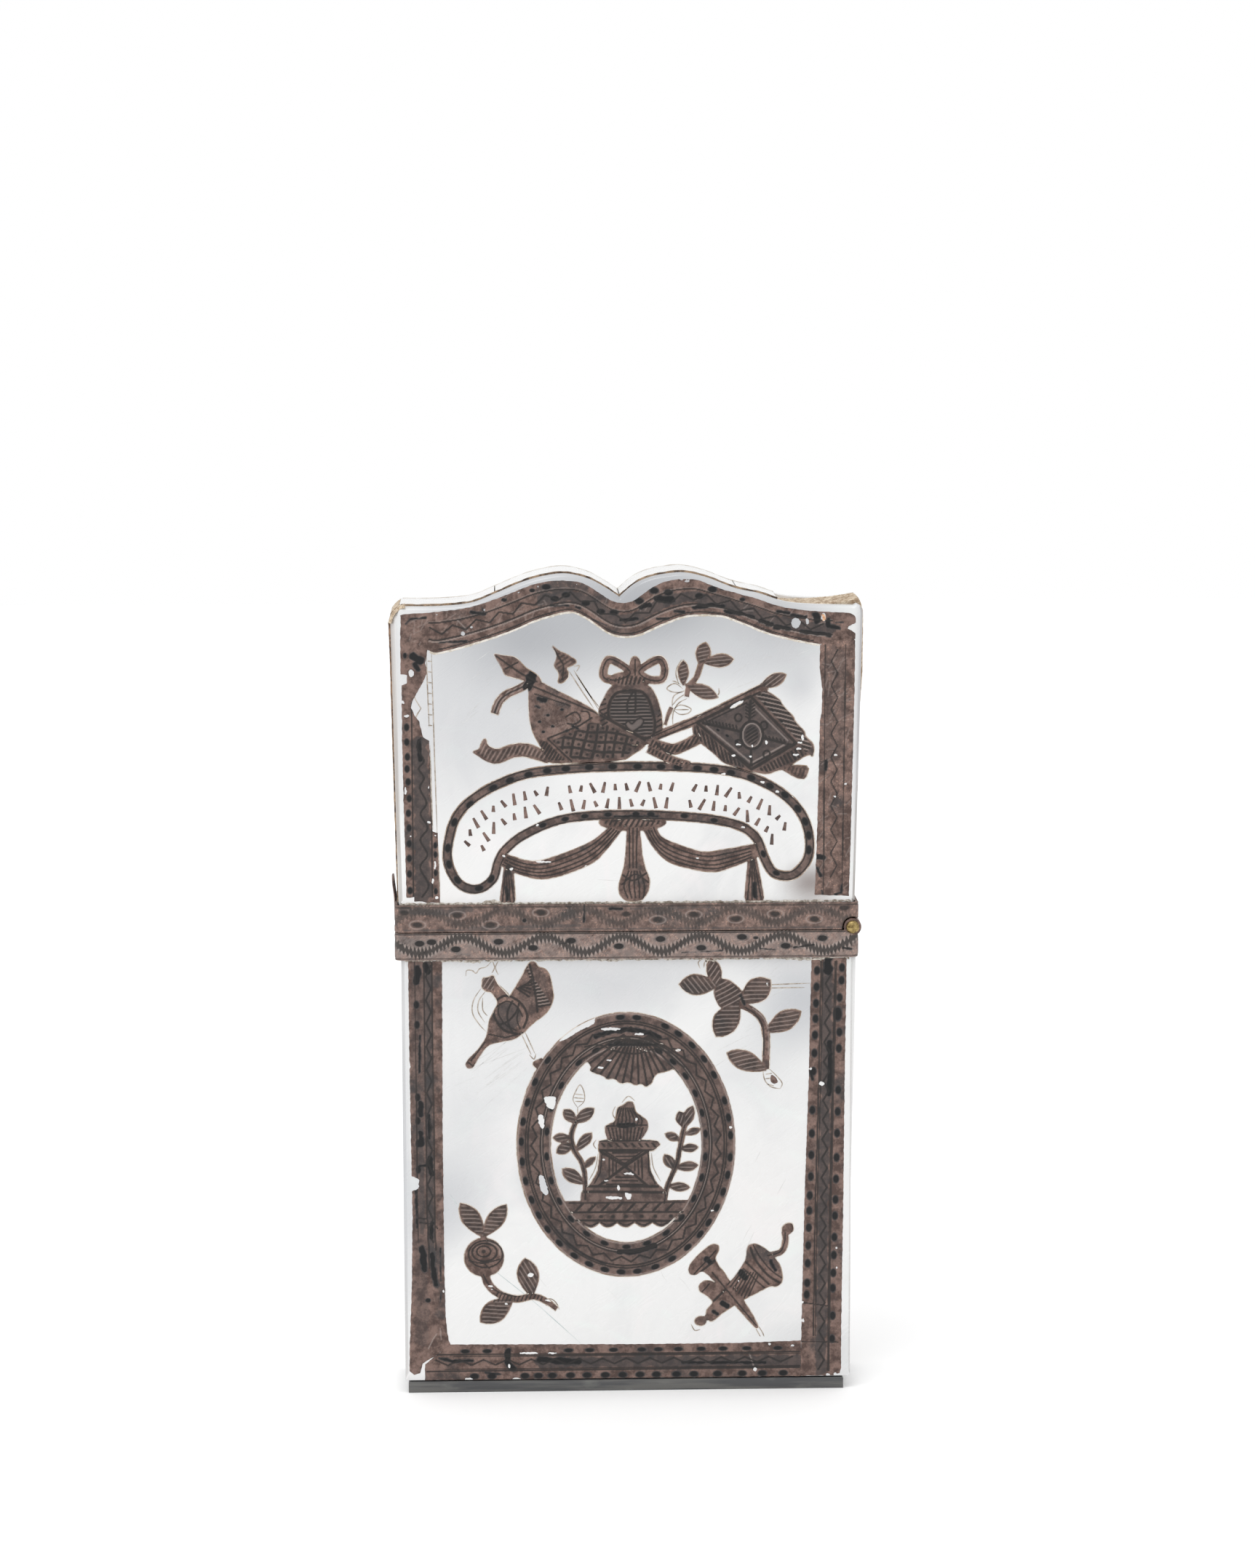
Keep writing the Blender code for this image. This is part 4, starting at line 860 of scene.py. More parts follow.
BOTTOM_BORDER = [
    (-22.2, 1.42), (18.95, 1.42), (18.95, 5.42), (12, 5.22), (0, 5.22), (-12, 5.34), (-19.35, 5.4),
    (-20.8, 4.35), (-22.2, 3.2)]
lower_beads = [
    (x, 1.8) for x in (
        -16.8, -14.9, -11.3, -9.8, -8.3, -6.3, -4.5, -2.5, -0.6, 1.3, 3.1, 5.3, 7.2, 9.8, 12.5, 14.7, 17)]
upper_beads = [(x, 4.62) for x in (-17.8, -15.4, -6.5, -4.2, -1.6, 1.5, 3.3, 5.5, 8.0, 10.4, 13.0, 16.4)]
bottom_marks = [
    line([(-21.5, 4.25), (18.8, 4.15)], 0.14), line([(-22, 2.42), (18.8, 2.42)], 0.14),
    line([(-19, 4.05), (18.8, 3.98)], 0.1), line([(-20, 2.6), (18.8, 2.58)], 0.1),
    line(zigzag([(-21, 3.35), (18.4, 3.35)], 2.6, 0.6), 0.18), spots(lower_beads, 0.5, 0.34),
    spots(upper_beads, 0.5, 0.24), blot([(-9.5, 3.3), (18.6, 3.2)], 1.45, "track"),
    blot([(-13.1, 4.6), (-13.2, 3.3), (-12.6, 2.6)], 0.8), blot([(-9.6, 3.6), (-5.4, 3.3)], 0.9),
    blot([(6, 3.1), (15, 3)], 0.5), blot([(-20.6, 3.9), (-19.2, 3.5), (-17, 3.6)], 0.5),
    blot([(-15.6, 2.2), (-14, 2)], 0.35), line([(13.3, 4), (13.9, 2.2)], 0.1, "crest"),
    line([(-15.6, 3.6), (-15.1, 3.3)], 0.1, "crest")]
inlay("case_bottom", "case", [cornered(BOTTOM_BORDER)],
      [oval(-10.8, 4.34, 1.0, 0.13), oval(-8.35, 4.3, 0.65, 0.09), oval(-13.0, 2.9, 0.12, 0.2),
       oval(-12.2, 1.4, 0.5, 0.16), oval(13.9, 2.2, 0.18, 0.2), oval(15.5, 5.05, 0.16, 0.14),
       oval(18.0, 4.85, 0.2, 0.1), oval(-17.4, 1.5, 0.4, 0.12)],
      bottom_marks, **BORDER)

# Medallion
# An oval ring of sheet silver frames a fan of rays over an altar with flames, which stands between two
# shrubs on a scalloped ground. It is one pierced sheet, and the engraver's lines run on into the shell.
RING_X, RING_Z = -0.15, 27.5
RING_OUT, RING_IN = np.array([11.85, 14.65]), np.array([8.2, 10.85])


def ring_path(share, count=120, start=0.0, end=2 * np.pi):
    """The oval at a share of the way from the ring's outer edge to its inner one."""
    angle = np.linspace(start, end, count)
    half = RING_OUT + (RING_IN - RING_OUT) * share
    return np.column_stack([RING_X + half[0] * np.cos(angle), RING_Z + half[1] * np.sin(angle)])


def ring_spots(share, angles, half_x, half_z):
    """Beads round the ring, each turned to lie along it."""
    marks = []
    half = RING_OUT + (RING_IN - RING_OUT) * share
    for angle in np.radians(angles):
        place = (RING_X + half[0] * math.cos(angle), RING_Z + half[1] * math.sin(angle))
        along = math.degrees(math.atan2(half[1] * math.cos(angle), -half[0] * math.sin(angle)))
        marks.append(spots([place], half_x, half_z, along))
    return marks


def scallops(left_x, right_x, top_z, low_z, count):
    """The ground's bar: its lower edge hangs in even arcs."""
    at = np.linspace(0, count, count * 8 + 1)
    drop = np.column_stack([
        left_x + (right_x - left_x) * at / count, low_z - 0.5 * np.abs(np.sin(np.pi * at))])
    return cornered(np.vstack([[(left_x - 2.4, top_z)], drop, [(right_x + 2.4, top_z)]]))


outer_beads = [
    4, 12, 20, 33, 42, 51, 60, 68, 84, 93, 138, 150, 160, 169, 178, 187, 196, 205, 213, 221, 230, 240, 249,
    258, 267, 276, 286, 296, 306, 315, 322, 330, 338, 346, 354]
inner_beads = [
    6, 18, 30, 42, 54, 66, 80, 96, 112, 126, 144, 158, 172, 186, 200, 213, 226, 240, 254, 270, 285, 300,
    314, 328, 341, 353]
fan = [(-5.1, 37.5), (-3.9, 36.3), (-4.1, 35.7), (-2.6, 35.2), (-2.2, 34.8), (-1.4, 34.9), (-0.7, 34.3),
       (0.2, 34.5), (0.9, 34.1), (1.5, 34.3), (2, 33.9), (2.6, 34.3), (2.9, 35), (3.2, 35.4), (4.1, 35.6),
       (5, 35.9), (6.1, 36.1), (5.4, 38.3), (0, 39.4), (-4.2, 38.8)]
altar = [(-5.15, 20.9), (-5.05, 22.3), (-4.2, 23), (-3.3, 24.4), (-3, 26.6), (-3.15, 27), (-3.1, 28.1),
         (2.2, 28.05), (3.3, 27.9), (3.55, 27.5), (2.9, 26.9), (2.3, 26.8), (2.45, 24.8), (3.1, 23.3),
         (4.15, 22.3), (4.15, 20.9)]
urn = [(-2.1, 27.9), (-2.4, 28.8), (-2.45, 29.6), (-1.9, 29.85), (-1.4, 30.1), (-1.2, 30.8), (-1.1, 31.7),
       (-0.4, 31.95), (0.1, 32.35), (0.65, 32.2), (0.85, 31.1), (1.6, 30.6), (2.2, 30.1), (2.25, 29.3),
       (1.8, 28.5), (1.3, 27.9)]
shrub_leaves = [
    leaf((-5.6, 30), (-6.9, 31.5), 1.15), leaf((-5.8, 30), (-3.6, 31.6), 1.25),
    leaf((-6, 28.3), (-8.1, 28.4), 1.0), leaf((-5.9, 27.8), (-7.7, 26.7), 1.15),
    leaf((-5.6, 26.9), (-3.9, 28.9), 1.05), leaf((-4.9, 24.9), (-3.5, 26.2), 0.65),
    leaf((-4.7, 23.2), (-7.1, 24.9), 1.35), leaf((5.2, 24.7), (4, 26.4), 1.05),
    leaf((5.8, 28), (4.1, 28.7), 0.85), leaf((5.7, 27), (7.7, 27.2), 0.9),
    leaf((5.2, 24.9), (7.7, 25.2), 1.0), leaf((4.3, 22.9), (6.8, 22.7), 0.95),
    leaf((6.2, 29.3), (5.6, 31.2), 1.15), leaf((6.1, 29.3), (7.1, 31.8), 1.1),
    leaf((6.2, 28.6), (7.9, 29.2), 0.7)]
leaf_angles = [-12, 14, 8, -12, 35, 40, -25, -60, 20, 0, 0, 10, 70, 55, 10]
stem_left = [(-4.6, 21.5), (-4.65, 24), (-5, 25.6), (-5.8, 27), (-6.1, 28.6), (-5.6, 30.2)]
stem_right = [(4, 21), (4.35, 23), (5.3, 25.2), (5.7, 27.2), (6.2, 29.6)]
medallion_shapes = [
    [ring_path(0, 200)[:-1], ring_path(1, 160)[:-1]], softened(fan, 1), scallops(-5.0, 4.6, 21.3, 18.85, 5),
    softened(altar, 1, 0.12), softened(urn),
    softened([(-9.1, 37.3), (-10.15, 36.8), (-10.2, 36.45), (-9.9, 36.1), (-9.3, 36.2)], 1),
    ribbon(stem_left, 0.5), ribbon(stem_right, 0.5), *shrub_leaves]
outlines = {"case": [*medallion_shapes], "lid": []}
medallion_losses = [
    softened([
        (-7.3, 38.9), (-6.2, 39.5), (-5, 40.3), (-3.5, 40.9), (-3.4, 42.3), (-5.5, 42.3), (-9.5, 40.5)]),
    oval(-1.8, 40.35, 1.1, 0.16), oval(1.3, 39.75, 0.5, 0.13), oval(5.5, 37.95, 0.28, 0.13),
    softened([(-9.2, 32.9), (-8.6, 31.6), (-7.9, 31.5), (-7.7, 32.9), (-8.2, 33)]),
    softened([(-9.7, 31), (-9.1, 30.9), (-9, 29.6), (-9.3, 29.3), (-9.7, 30.2)]),
    softened([(-9.7, 24.3), (-9.1, 24.2), (-8.6, 22.3), (-8.8, 21.9), (-9.5, 22.5)]),
    oval(11.2, 29.35, 0.2, 0.17), oval(9.2, 20.1, 0.22, 0.07), oval(0.95, 30.35, 0.12, 0.16),
    oval(-1.0, 22.75, 0.16, 0.3), softened([(-2.4, 21.85), (-0.6, 21.75), (-0.55, 21.45), (-2.4, 21.5)]),
    softened([(-0.4, 22.2), (0.5, 22.1), (0.3, 21.4), (-0.1, 21.45)]), oval(-2.6, 25.9, 0.14, 0.12),
    oval(7.5, 29.9, 0.3, 0.14), oval(-2.3, 23.55, 0.3, 0.08),
    softened([(-0.6, 24.3), (0.2, 24.5), (0.9, 24.1)]), oval(-3.9, 28.6, 0.0001, 0.0001),
    oval(-1.9, 36.9, 0.35, 0.1), oval(-2.9, 36.1, 0.35, 0.12)]
fan_middle = (1, 40.4)
medallion_marks = [
    ring_line(ring_path(0.25), 0.14), ring_line(ring_path(0.32), 0.18), ring_line(ring_path(0.70), 0.18),
    ring_line(ring_path(0.77), 0.12), ring_line(ring_path(0.735), 0.1, "crest"),
    ring_line(ring_path(0.03), 0.1, "crest"), ring_line(ring_path(0.97), 0.1, "crest"),
    ring_line(zigzag(ring_path(0.5), 2.05, 0.62), 0.18),
    blot(ring_path(0.5, 100, -1.15, 3.5), 1.15, "faint"), wash([ring_path(0.04)], "faint"),
    blot(ring_path(0.5, 60, 1.2, 1.9), 0.7), blot(ring_path(0.72, 20, 4.62, 5.05), 0.75),
    blot(ring_path(0.3, 20, 4.05, 4.5), 0.3), *ring_spots(0.13, outer_beads, 0.5, 0.3),
    *ring_spots(0.87, inner_beads, 0.48, 0.26),
    *[line([(fan_middle[0] + 1.6 * math.cos(a), fan_middle[1] + 1.3 * math.sin(a)),
            (fan_middle[0] + 7.0 * math.cos(a), fan_middle[1] + 6.4 * math.sin(a))],
           0.22) for a in np.radians(np.arange(212, 330, 7.5))],
    curved([(-4.6, 38.4), (-3, 38.6), (-1.2, 37.9), (1, 37.6), (3, 38.1), (4.8, 37.6)], 0.16),
    blot([(-2, 38.6), (3.2, 38.6)], 0.5),
    hatch(cornered([(-3.2, 27.1), (3.4, 27), (3.3, 27.9), (-3.1, 28)]), 128, 0.62, 0.22),
    line([(-3.1, 26.95), (3.3, 26.85)], 0.3), line([(-3, 28), (2.4, 27.95)], 0.14),
    line([(-2.9, 26.8), (-0.3, 25.15), (2.2, 26.8)], 0.3),
    line([(-3.1, 23), (-0.3, 25.15), (2.2, 22.9)], 0.3), line([(-2.3, 26.75), (0, 25.2)], 0.14),
    line([(1.6, 26.75), (-0.5, 25.3)], 0.14), line([(-1.6, 26.65), (1.1, 26.65)], 0.14),
    line([(-1.2, 26.25), (0.8, 26.25)], 0.14), line([(-0.8, 25.85), (0.4, 25.85)], 0.14),
    line([(-2, 26.2), (-2, 23.9)], 0.16), line([(-1.6, 26), (-1.6, 24.3)], 0.16),
    line([(-1.25, 25.7), (-1.25, 24.7)], 0.14), line([(1.55, 26.1), (1.6, 23.8)], 0.16),
    line([(1.15, 25.8), (1.2, 24.2)], 0.16), line([(0.8, 25.5), (0.8, 24.7)], 0.14),
    line([(-2.3, 23.15), (1.7, 23.1)], 0.14), line([(-1.7, 23.55), (1.1, 23.5)], 0.14),
    line([(-1.3, 23.95), (0.6, 23.9)], 0.14), line([(-4.4, 22.95), (3.3, 22.85)], 0.26),
    line([(-4.9, 22.35), (3.9, 22.2)], 0.3), line([(-2.75, 26.6), (-3, 24.4), (-3.6, 23.3)], 0.12),
    line([(2.25, 26.6), (2.3, 24.6), (3, 23.2)], 0.12),
    *[line([(x, 29.4), (x * 0.8 - 0.05, 28.1)], 0.15) for x in np.arange(-2.1, 2.0, 0.42)],
    *[curved([(x, 29.6), (x + 0.1, 30.4), (x * 0.5 - 0.1, 31.6)], 0.13)
      for x in np.arange(-1.5, 1.6, 0.42)],
    blot([(-0.9, 29.7), (0.6, 29.7)], 0.7), line([(-2.3, 29.6), (2.1, 29.7)], 0.14),
    *[line([(x, 20.15), (x + 0.85, 21.05)], 0.26) for x in np.linspace(-5.7, 4.2, 8)],
    line([(-6.2, 20.05), (6, 20)], 0.2), line([(-5.6, 19.15), (5.6, 19)], 0.24),
    line([(-6.4, 21.1), (6.2, 21.1)], 0.12),
    spots([(x, 19.55) for x in (-4.2, -2.9, -1.6, -0.2, 1.5, 3.0, 4.7, 5.7)], 0.24, 0.2, 0, "cut"),
    *[curved([(-4.8 + 1.92 * n, 18.9), (-4.05 + 1.92 * n, 18.55), (-3.25 + 1.92 * n, 18.9)], 0.12)
      for n in range(5)],
    curved(stem_left, 0.14), curved(stem_right, 0.14)]
for shape, angle in zip(shrub_leaves, leaf_angles):
    medallion_marks += ribs(shape, angle, 0.42, 0.08)
inlay("medallion", "case", medallion_shapes, medallion_losses, medallion_marks, wobble=0.025)

# Corner motifs of the case
# Four small sheet-silver cut-outs: a winged torch, a flower sprig, a rose sprig, and a quiver crossed
# with a torch. Each is furrowed with close parallel cuts that leave thin bright crests.
torch = [(-17.55, 36.6), (-17.3, 36.15), (-16.7, 36.2), (-16.3, 37), (-15.1, 38.75), (-13.6, 39.1),
         (-12.5, 39.2), (-11.4, 39.8), (-10.2, 41.1), (-8.9, 42), (-8.2, 43), (-7.95, 44), (-8.1, 45),
         (-8.3, 46.2), (-8.8, 47), (-9.6, 47.2), (-10, 47.9), (-10.6, 47.7), (-11.3, 46.3), (-12, 45.1),
         (-12.7, 43.9), (-13.4, 44.7), (-14.1, 45.5), (-14.4, 46.4), (-15.1, 46.1), (-15.6, 46.1),
         (-15.7, 45), (-15.2, 44.6), (-14.6, 44.5), (-13.9, 43.4), (-14.5, 42.2), (-14.9, 41.4),
         (-15.1, 40.2), (-15.3, 39.4), (-16.3, 38), (-17.2, 37.2)]
torch_marks = [
    wash(cornered([(-12, 44.6), (-10.4, 47.6), (-8.6, 46.6), (-8.3, 43.4), (-10.4, 41.6), (-11.4, 42.8)]),
         "faint"),
    wash(oval(-13.2, 41.4, 1.6, 2.2), "faint"),
    *[line([(-8.3 - 0.22 * n, 43.1 + 0.34 * n), (-9.6 - 0.1 * n, 42.9 + 0.36 * n)], 0.19)
      for n in range(14)],
    *[line([(-8.4 - 0.22 * n, 43.3 + 0.34 * n), (-9.5 - 0.1 * n, 43.1 + 0.36 * n)], 0.1, "crest")
      for n in range(13)],
    curved([(-9.7, 42.3), (-9.9, 44.3), (-10.2, 46.2), (-10.5, 47.5)], 0.22),
    *[line([(-11.9 + 0.22 * n, 44.9 + 0.1 * n), (-10.6 + 0.1 * n, 44.0 + 0.42 * n)], 0.19)
      for n in range(6)],
    curved([(-14.9, 43), (-13.2, 44.1), (-11.6, 43.4), (-10.8, 41.9), (-11.2, 40.6)], 0.26),
    curved([(-14.4, 42.7), (-13, 43.5), (-11.9, 42.9), (-11.3, 41.8)], 0.13),
    curved([(-14.2, 43.4), (-14.4, 42), (-13.4, 40.4), (-11.9, 39.9)], 0.26),
    curved([(-13.8, 43.2), (-13.9, 42.1), (-13.1, 40.9), (-12, 40.3)], 0.13),
    curved([(-13.9, 40.9), (-12.9, 41.3), (-12, 42.3), (-11.7, 43.2)], 0.2),
    curved([(-12.4, 40.1), (-12.9, 41.2), (-12.9, 42.4), (-12.4, 43.5)], 0.2),
    curved([(-11.6, 40.5), (-11.9, 41.5), (-11.7, 42.6)], 0.13),
    hatch(cornered([(-15.1, 40.2), (-14.2, 42.3), (-14.6, 42.3), (-15.2, 41.2)]), -12, 0.4, 0.16,
          "cut_soft"),
    wash(oval(-12.8, 41.9, 1.5, 1.7), "track"), line([(-16.9, 37), (-15.4, 39)], 0.13),
    line([(-17.2, 36.8), (-16.7, 36.4)], 0.12), line([(-15, 39.9), (-13.2, 39.5), (-11.3, 40)], 0.13),
    *ribs(cornered([(-15.8, 45), (-14.4, 44.6), (-14.2, 46.4), (-15.5, 46.2)]), 60, 0.42, 0.0)]
outlines["case"].append(softened(torch))
inlay("winged_torch", "case", [softened(torch)], [oval(-14.8, 44.2, 0.16, 0.1)], torch_marks,
      look=rubbed_silver)

petals = [
    leaf((9.9, 45.1), (5.6, 45.2), 2.15), leaf((9.9, 44.6), (9, 48.1), 1.5),
    leaf((12.3, 43.1), (15.5, 45.6), 2.5), leaf((12.1, 43.3), (9.6, 39.4), 2.6),
    leaf((15, 39.9), (18.8, 42.1), 2.0), leaf((15.1, 35.7), (10.8, 37.6), 2.0)]
flower_heart = softened([
    (9.4, 44.6), (9.8, 45.8), (11, 45.7), (11.9, 44.9), (12.6, 44.2), (12.6, 43.4), (11.7, 42.8),
    (10.5, 42.3), (9.8, 42.9), (9.4, 43.9)])
flower_stem = [(12.2, 42.9), (13.5, 42.3), (14.6, 41.2), (15.05, 39.4), (15.05, 37.4), (15, 35.8)]
petal_angles = [-52, 58, 2, 3, 10, 12]
flower_marks = [
    *ribs(flower_heart, 30, 0.47, 0.05),
    curved([(12.8, 42.6), (14, 41.7), (14.75, 40.2), (14.8, 37.4)], 0.13),
    curved([(13.6, 42.5), (14.7, 41.5), (15.3, 40), (15.3, 37.4)], 0.1, "crest"),
    blot([(12.3, 43.9), (12.7, 42.9)], 0.5)]
for shape, angle in zip(petals, petal_angles):
    flower_marks += ribs(shape, angle, 0.46, 0.06)
flower_scrap = softened([(15.6, 35.2), (16.1, 34.9), (16.4, 34.3), (15.95, 34.1), (15.5, 34.4)])
flower_shapes = [flower_heart, ribbon(flower_stem, 0.72), *petals]
outlines["case"] += flower_shapes
inlay("flower_sprig", "case", [*flower_shapes, flower_scrap], [oval(15.15, 45.1, 0.1, 0.2)], flower_marks)

rose = oval(-15.65, 15.15, 2.15, 2.15)
rose_leaves = [
    leaf((-15.6, 17.4), (-18.2, 21.2), 1.9), leaf((-15.8, 17.4), (-13.2, 21), 1.7),
    leaf((-10.5, 10.7), (-11.2, 15), 2.2), leaf((-12.6, 10.5), (-16.1, 7.9), 2.3)]
rose_angles = [-4, -2, -60, -2]
rose_stem = [
    (-15.6, 13.6), (-15.2, 12.1), (-13.9, 10.95), (-12.2, 10.45), (-10.3, 10.7), (-9, 10.2), (-7.8, 9.3)]
rose_marks = [
    oval_line(-15.7, 15.8, 0.75, 0.6, 0.16), oval_line(-15.6, 15.7, 1.35, 1.0, 0.2),
    oval_line(-15.5, 15.5, 1.85, 1.5, 0.14), spots([(-15.7, 15.8)], 0.25, 0.22, 0, "cut"),
    curved([(-17.3, 14.8), (-15.8, 14.5), (-14, 14.9)], 0.14), line([(-15.9, 14.7), (-15.1, 13.9)], 0.12),
    curved([(-15.2, 16.9), (-14.1, 16.3), (-13.9, 15.4)], 0.1, "crest"),
    curved([(-15.75, 13.2), (-15.1, 12), (-13.9, 11.15), (-12.2, 10.7)], 0.12),
    *[line([(x, 10.2), (x + 0.45, 11.2)], 0.11) for x in np.arange(-14.6, -9.2, 0.42)]]
for shape, angle in zip(rose_leaves, rose_angles):
    rose_marks += ribs(shape, angle, 0.45, 0.06)
rose_shapes = [
    rose, *rose_leaves, ribbon([(-15.7, 17), (-15.65, 18.2)], 0.55), ribbon(rose_stem, 0.95, 0.5)]
outlines["case"] += rose_shapes
inlay("rose_sprig", "case", rose_shapes,
      [oval(-15.0, 11.9, 0.3, 0.1), oval(-14.8, 11.55, 0.16, 0.06), oval(-10.6, 13.1, 0.32, 0.26),
       oval(-13.3, 9.9, 0.16, 0.1), oval(-8.6, 10.25, 0.5, 0.12)],
      rose_marks)

quiver = [
    (13, 15.7), (13.2, 16.25), (14, 16.35), (14.8, 15.9), (15.4, 15.5), (16.2, 14.6), (16.7, 13.7),
    (16.9, 12.6), (16.8, 11.9), (16.3, 11.5), (15.5, 11.6), (14, 10.8), (12.4, 10), (10.4, 8.7), (9.2, 7.6),
    (8.5, 8), (8.6, 9), (9.4, 9.9), (8.5, 10.7), (7.75, 11.1), (7.8, 11.8), (8.4, 12.3), (9.2, 12.2),
    (10.4, 11.5), (11.4, 12.3), (12.3, 13.6), (12.9, 14.6)]
crossed_torch = [
    (6.7, 13), (6.6, 13.6), (6.9, 14.3), (7.6, 15.1), (8.5, 15.9), (9.4, 16.4), (9.9, 16.2), (9.9, 15.6),
    (9.5, 14.9), (9.7, 14.2), (10.6, 13), (12, 10.9), (13.1, 9.3), (14.35, 7), (14, 6.8), (13, 8),
    (11.6, 9.6), (10, 11.6), (8.8, 12.9), (8.1, 13.4), (7.4, 12.9)]
quiver_marks = [
    curved([(13.4, 15.9), (13.9, 14.6), (15.2, 12.9), (16.5, 12)], 0.26),
    curved([(13.7, 16.2), (14.4, 14.9), (15.6, 13.4), (16.8, 12.5)], 0.14),
    line([(12.9, 14.3), (15.4, 11.8)], 0.2), line([(12.6, 13.6), (14.9, 11.4)], 0.13),
    *[line([(12.2 + 0.3 * n, 13.4 - 0.06 * n), (10.9 + 0.3 * n, 11.8 - 0.25 * n)], 0.13) for n in range(8)],
    blot([(8.6, 14.6), (8.9, 14.3)], 0.8), blot([(12.3, 13.2), (12.8, 12.6)], 0.8),
    blot([(10.4, 9.7), (10.8, 9.4)], 0.8), blot([(9.3, 8.8), (9.8, 8.5)], 0.5),
    blot([(15.6, 14.4), (16.1, 13.4)], 0.5), line([(8, 13.3), (9.6, 14.6)], 0.24),
    line([(7.2, 13), (9.6, 15.6)], 0.12), line([(9.2, 13.2), (14, 7.2)], 0.14),
    line([(9.4, 10), (10.6, 11.2)], 0.22), line([(8.1, 11), (8.9, 11.9)], 0.13),
    curved([(15.3, 15), (16.6, 15.4), (17.1, 16.5), (17.2, 17.6)], 0.12)]
quiver_shapes = [
    softened(quiver), softened(crossed_torch), oval(7.95, 7.75, 0.65, 0.5),
    ribbon([(8.2, 7.9), (9, 8.3)], 0.5),
    ribbon([(15.2, 15), (16.7, 15.4), (17.2, 16.5), (17.15, 17.6)], 0.62),
    softened([(16.9, 17.4), (16.8, 18.1), (17.3, 18.6), (18, 18.6), (18.1, 17.8), (17.6, 17.3)])]
outlines["case"] += quiver_shapes
inlay("quiver", "case", quiver_shapes, [oval(10.4, 10.0, 0.1, 0.08), oval(12.1, 12.2, 0.08, 0.14)],
      quiver_marks)

# Silver on the back of the case
# The back doesn't show. It is made plainer than the front, with the same tarnished borders and a bare
# oval ring, each let into the shell with a pair of lines and a zigzag down its middle.
BACK_EDGE, BACK_BAND = 23.5, 3.6
UPRIGHT = [
    (BACK_EDGE - BACK_BAND, 1.65), (BACK_EDGE, 1.65), (BACK_EDGE, 48.0), (BACK_EDGE - BACK_BAND, 48.0)]
for number, name in ((-1, "left"), (1, "right")):
    middle_x = -number * (BACK_EDGE - BACK_BAND / 2)
    border = cornered([(-number * x, z) for x, z in UPRIGHT])
    marks = [line([(middle_x + off, 1.7), (middle_x + off, 48.0)], 0.16) for off in (-0.95, 0.95)]
    marks += [
        line(zigzag([(middle_x, 2.2), (middle_x, 47.6)], 2.5, 0.7), 0.18),
        spots([(middle_x - 1.4, z) for z in np.arange(3, 48, 2.2)], 0.22, 0.42),
        spots([(middle_x + 1.4, z) for z in np.arange(4, 48, 2.2)], 0.22, 0.42)]
    inlay(f"case_back_{name}", "case", [border], [], marks, **BACK)
BACK_FOOT = [(-19.7, 1.65), (19.7, 1.65), (19.7, 5.2), (-19.7, 5.2)]
inlay("case_back_bottom", "case", [cornered(BACK_FOOT)], [],
      [line([(-19.6, 2.5), (19.6, 2.5)], 0.16), line([(-19.6, 4.35), (19.6, 4.35)], 0.16),
       line(zigzag([(-19.4, 3.42), (19.4, 3.42)], 2.5, 0.7), 0.18),
       spots([(x, 2.08) for x in np.arange(-19, 19.5, 2.1)], 0.42, 0.2),
       spots([(x, 4.78) for x in np.arange(-18, 19.5, 2.1)], 0.42, 0.2)],
      **BACK)
back_ring = [oval(0, RING_Z, 11.8, 14.6, 120)[0], oval(0, RING_Z, 9.4, 12.2, 100)[0]]
inlay("case_back_ring", "case", [back_ring], [],
      [ring_line(oval(0, RING_Z, 11.2, 14.0, 100)[0], 0.16),
       ring_line(oval(0, RING_Z, 10.0, 12.8, 100)[0], 0.16),
       ring_line(zigzag(oval(0, RING_Z, 10.6, 13.4, 100)[0], 2.2, 0.6), 0.17)],
      **BACK)

# Rim bands and hinge
# A hoop of chased silver clasps the mouth of each half. Two knuckles are soldered to the case's hoop and
# one to the lid's, and a brass pin with domed heads joins them at the right end of the seam.
BAND_HALF_X, BAND_HALF_Y, BAND_CORNER, BAND_WALL = 25.04, 5.4, 0.8, 0.35
CASE_BAND = (48.1, 51.05)
LID_BAND = (51.15, 54.1)
HINGE_ROOM_R, KNUCKLE_R, BORE_R, KNUCKLE_END_Y = 1.1, 0.95, 0.42, 5.35
SPLIT_Y, NOTCH_ROOM, KNUCKLE_GAP = 1.75, 0.17, 0.05
TOOTH_GAP, TOOTH_HALF, CORE_HALF = 0.41, 0.55, 0.14


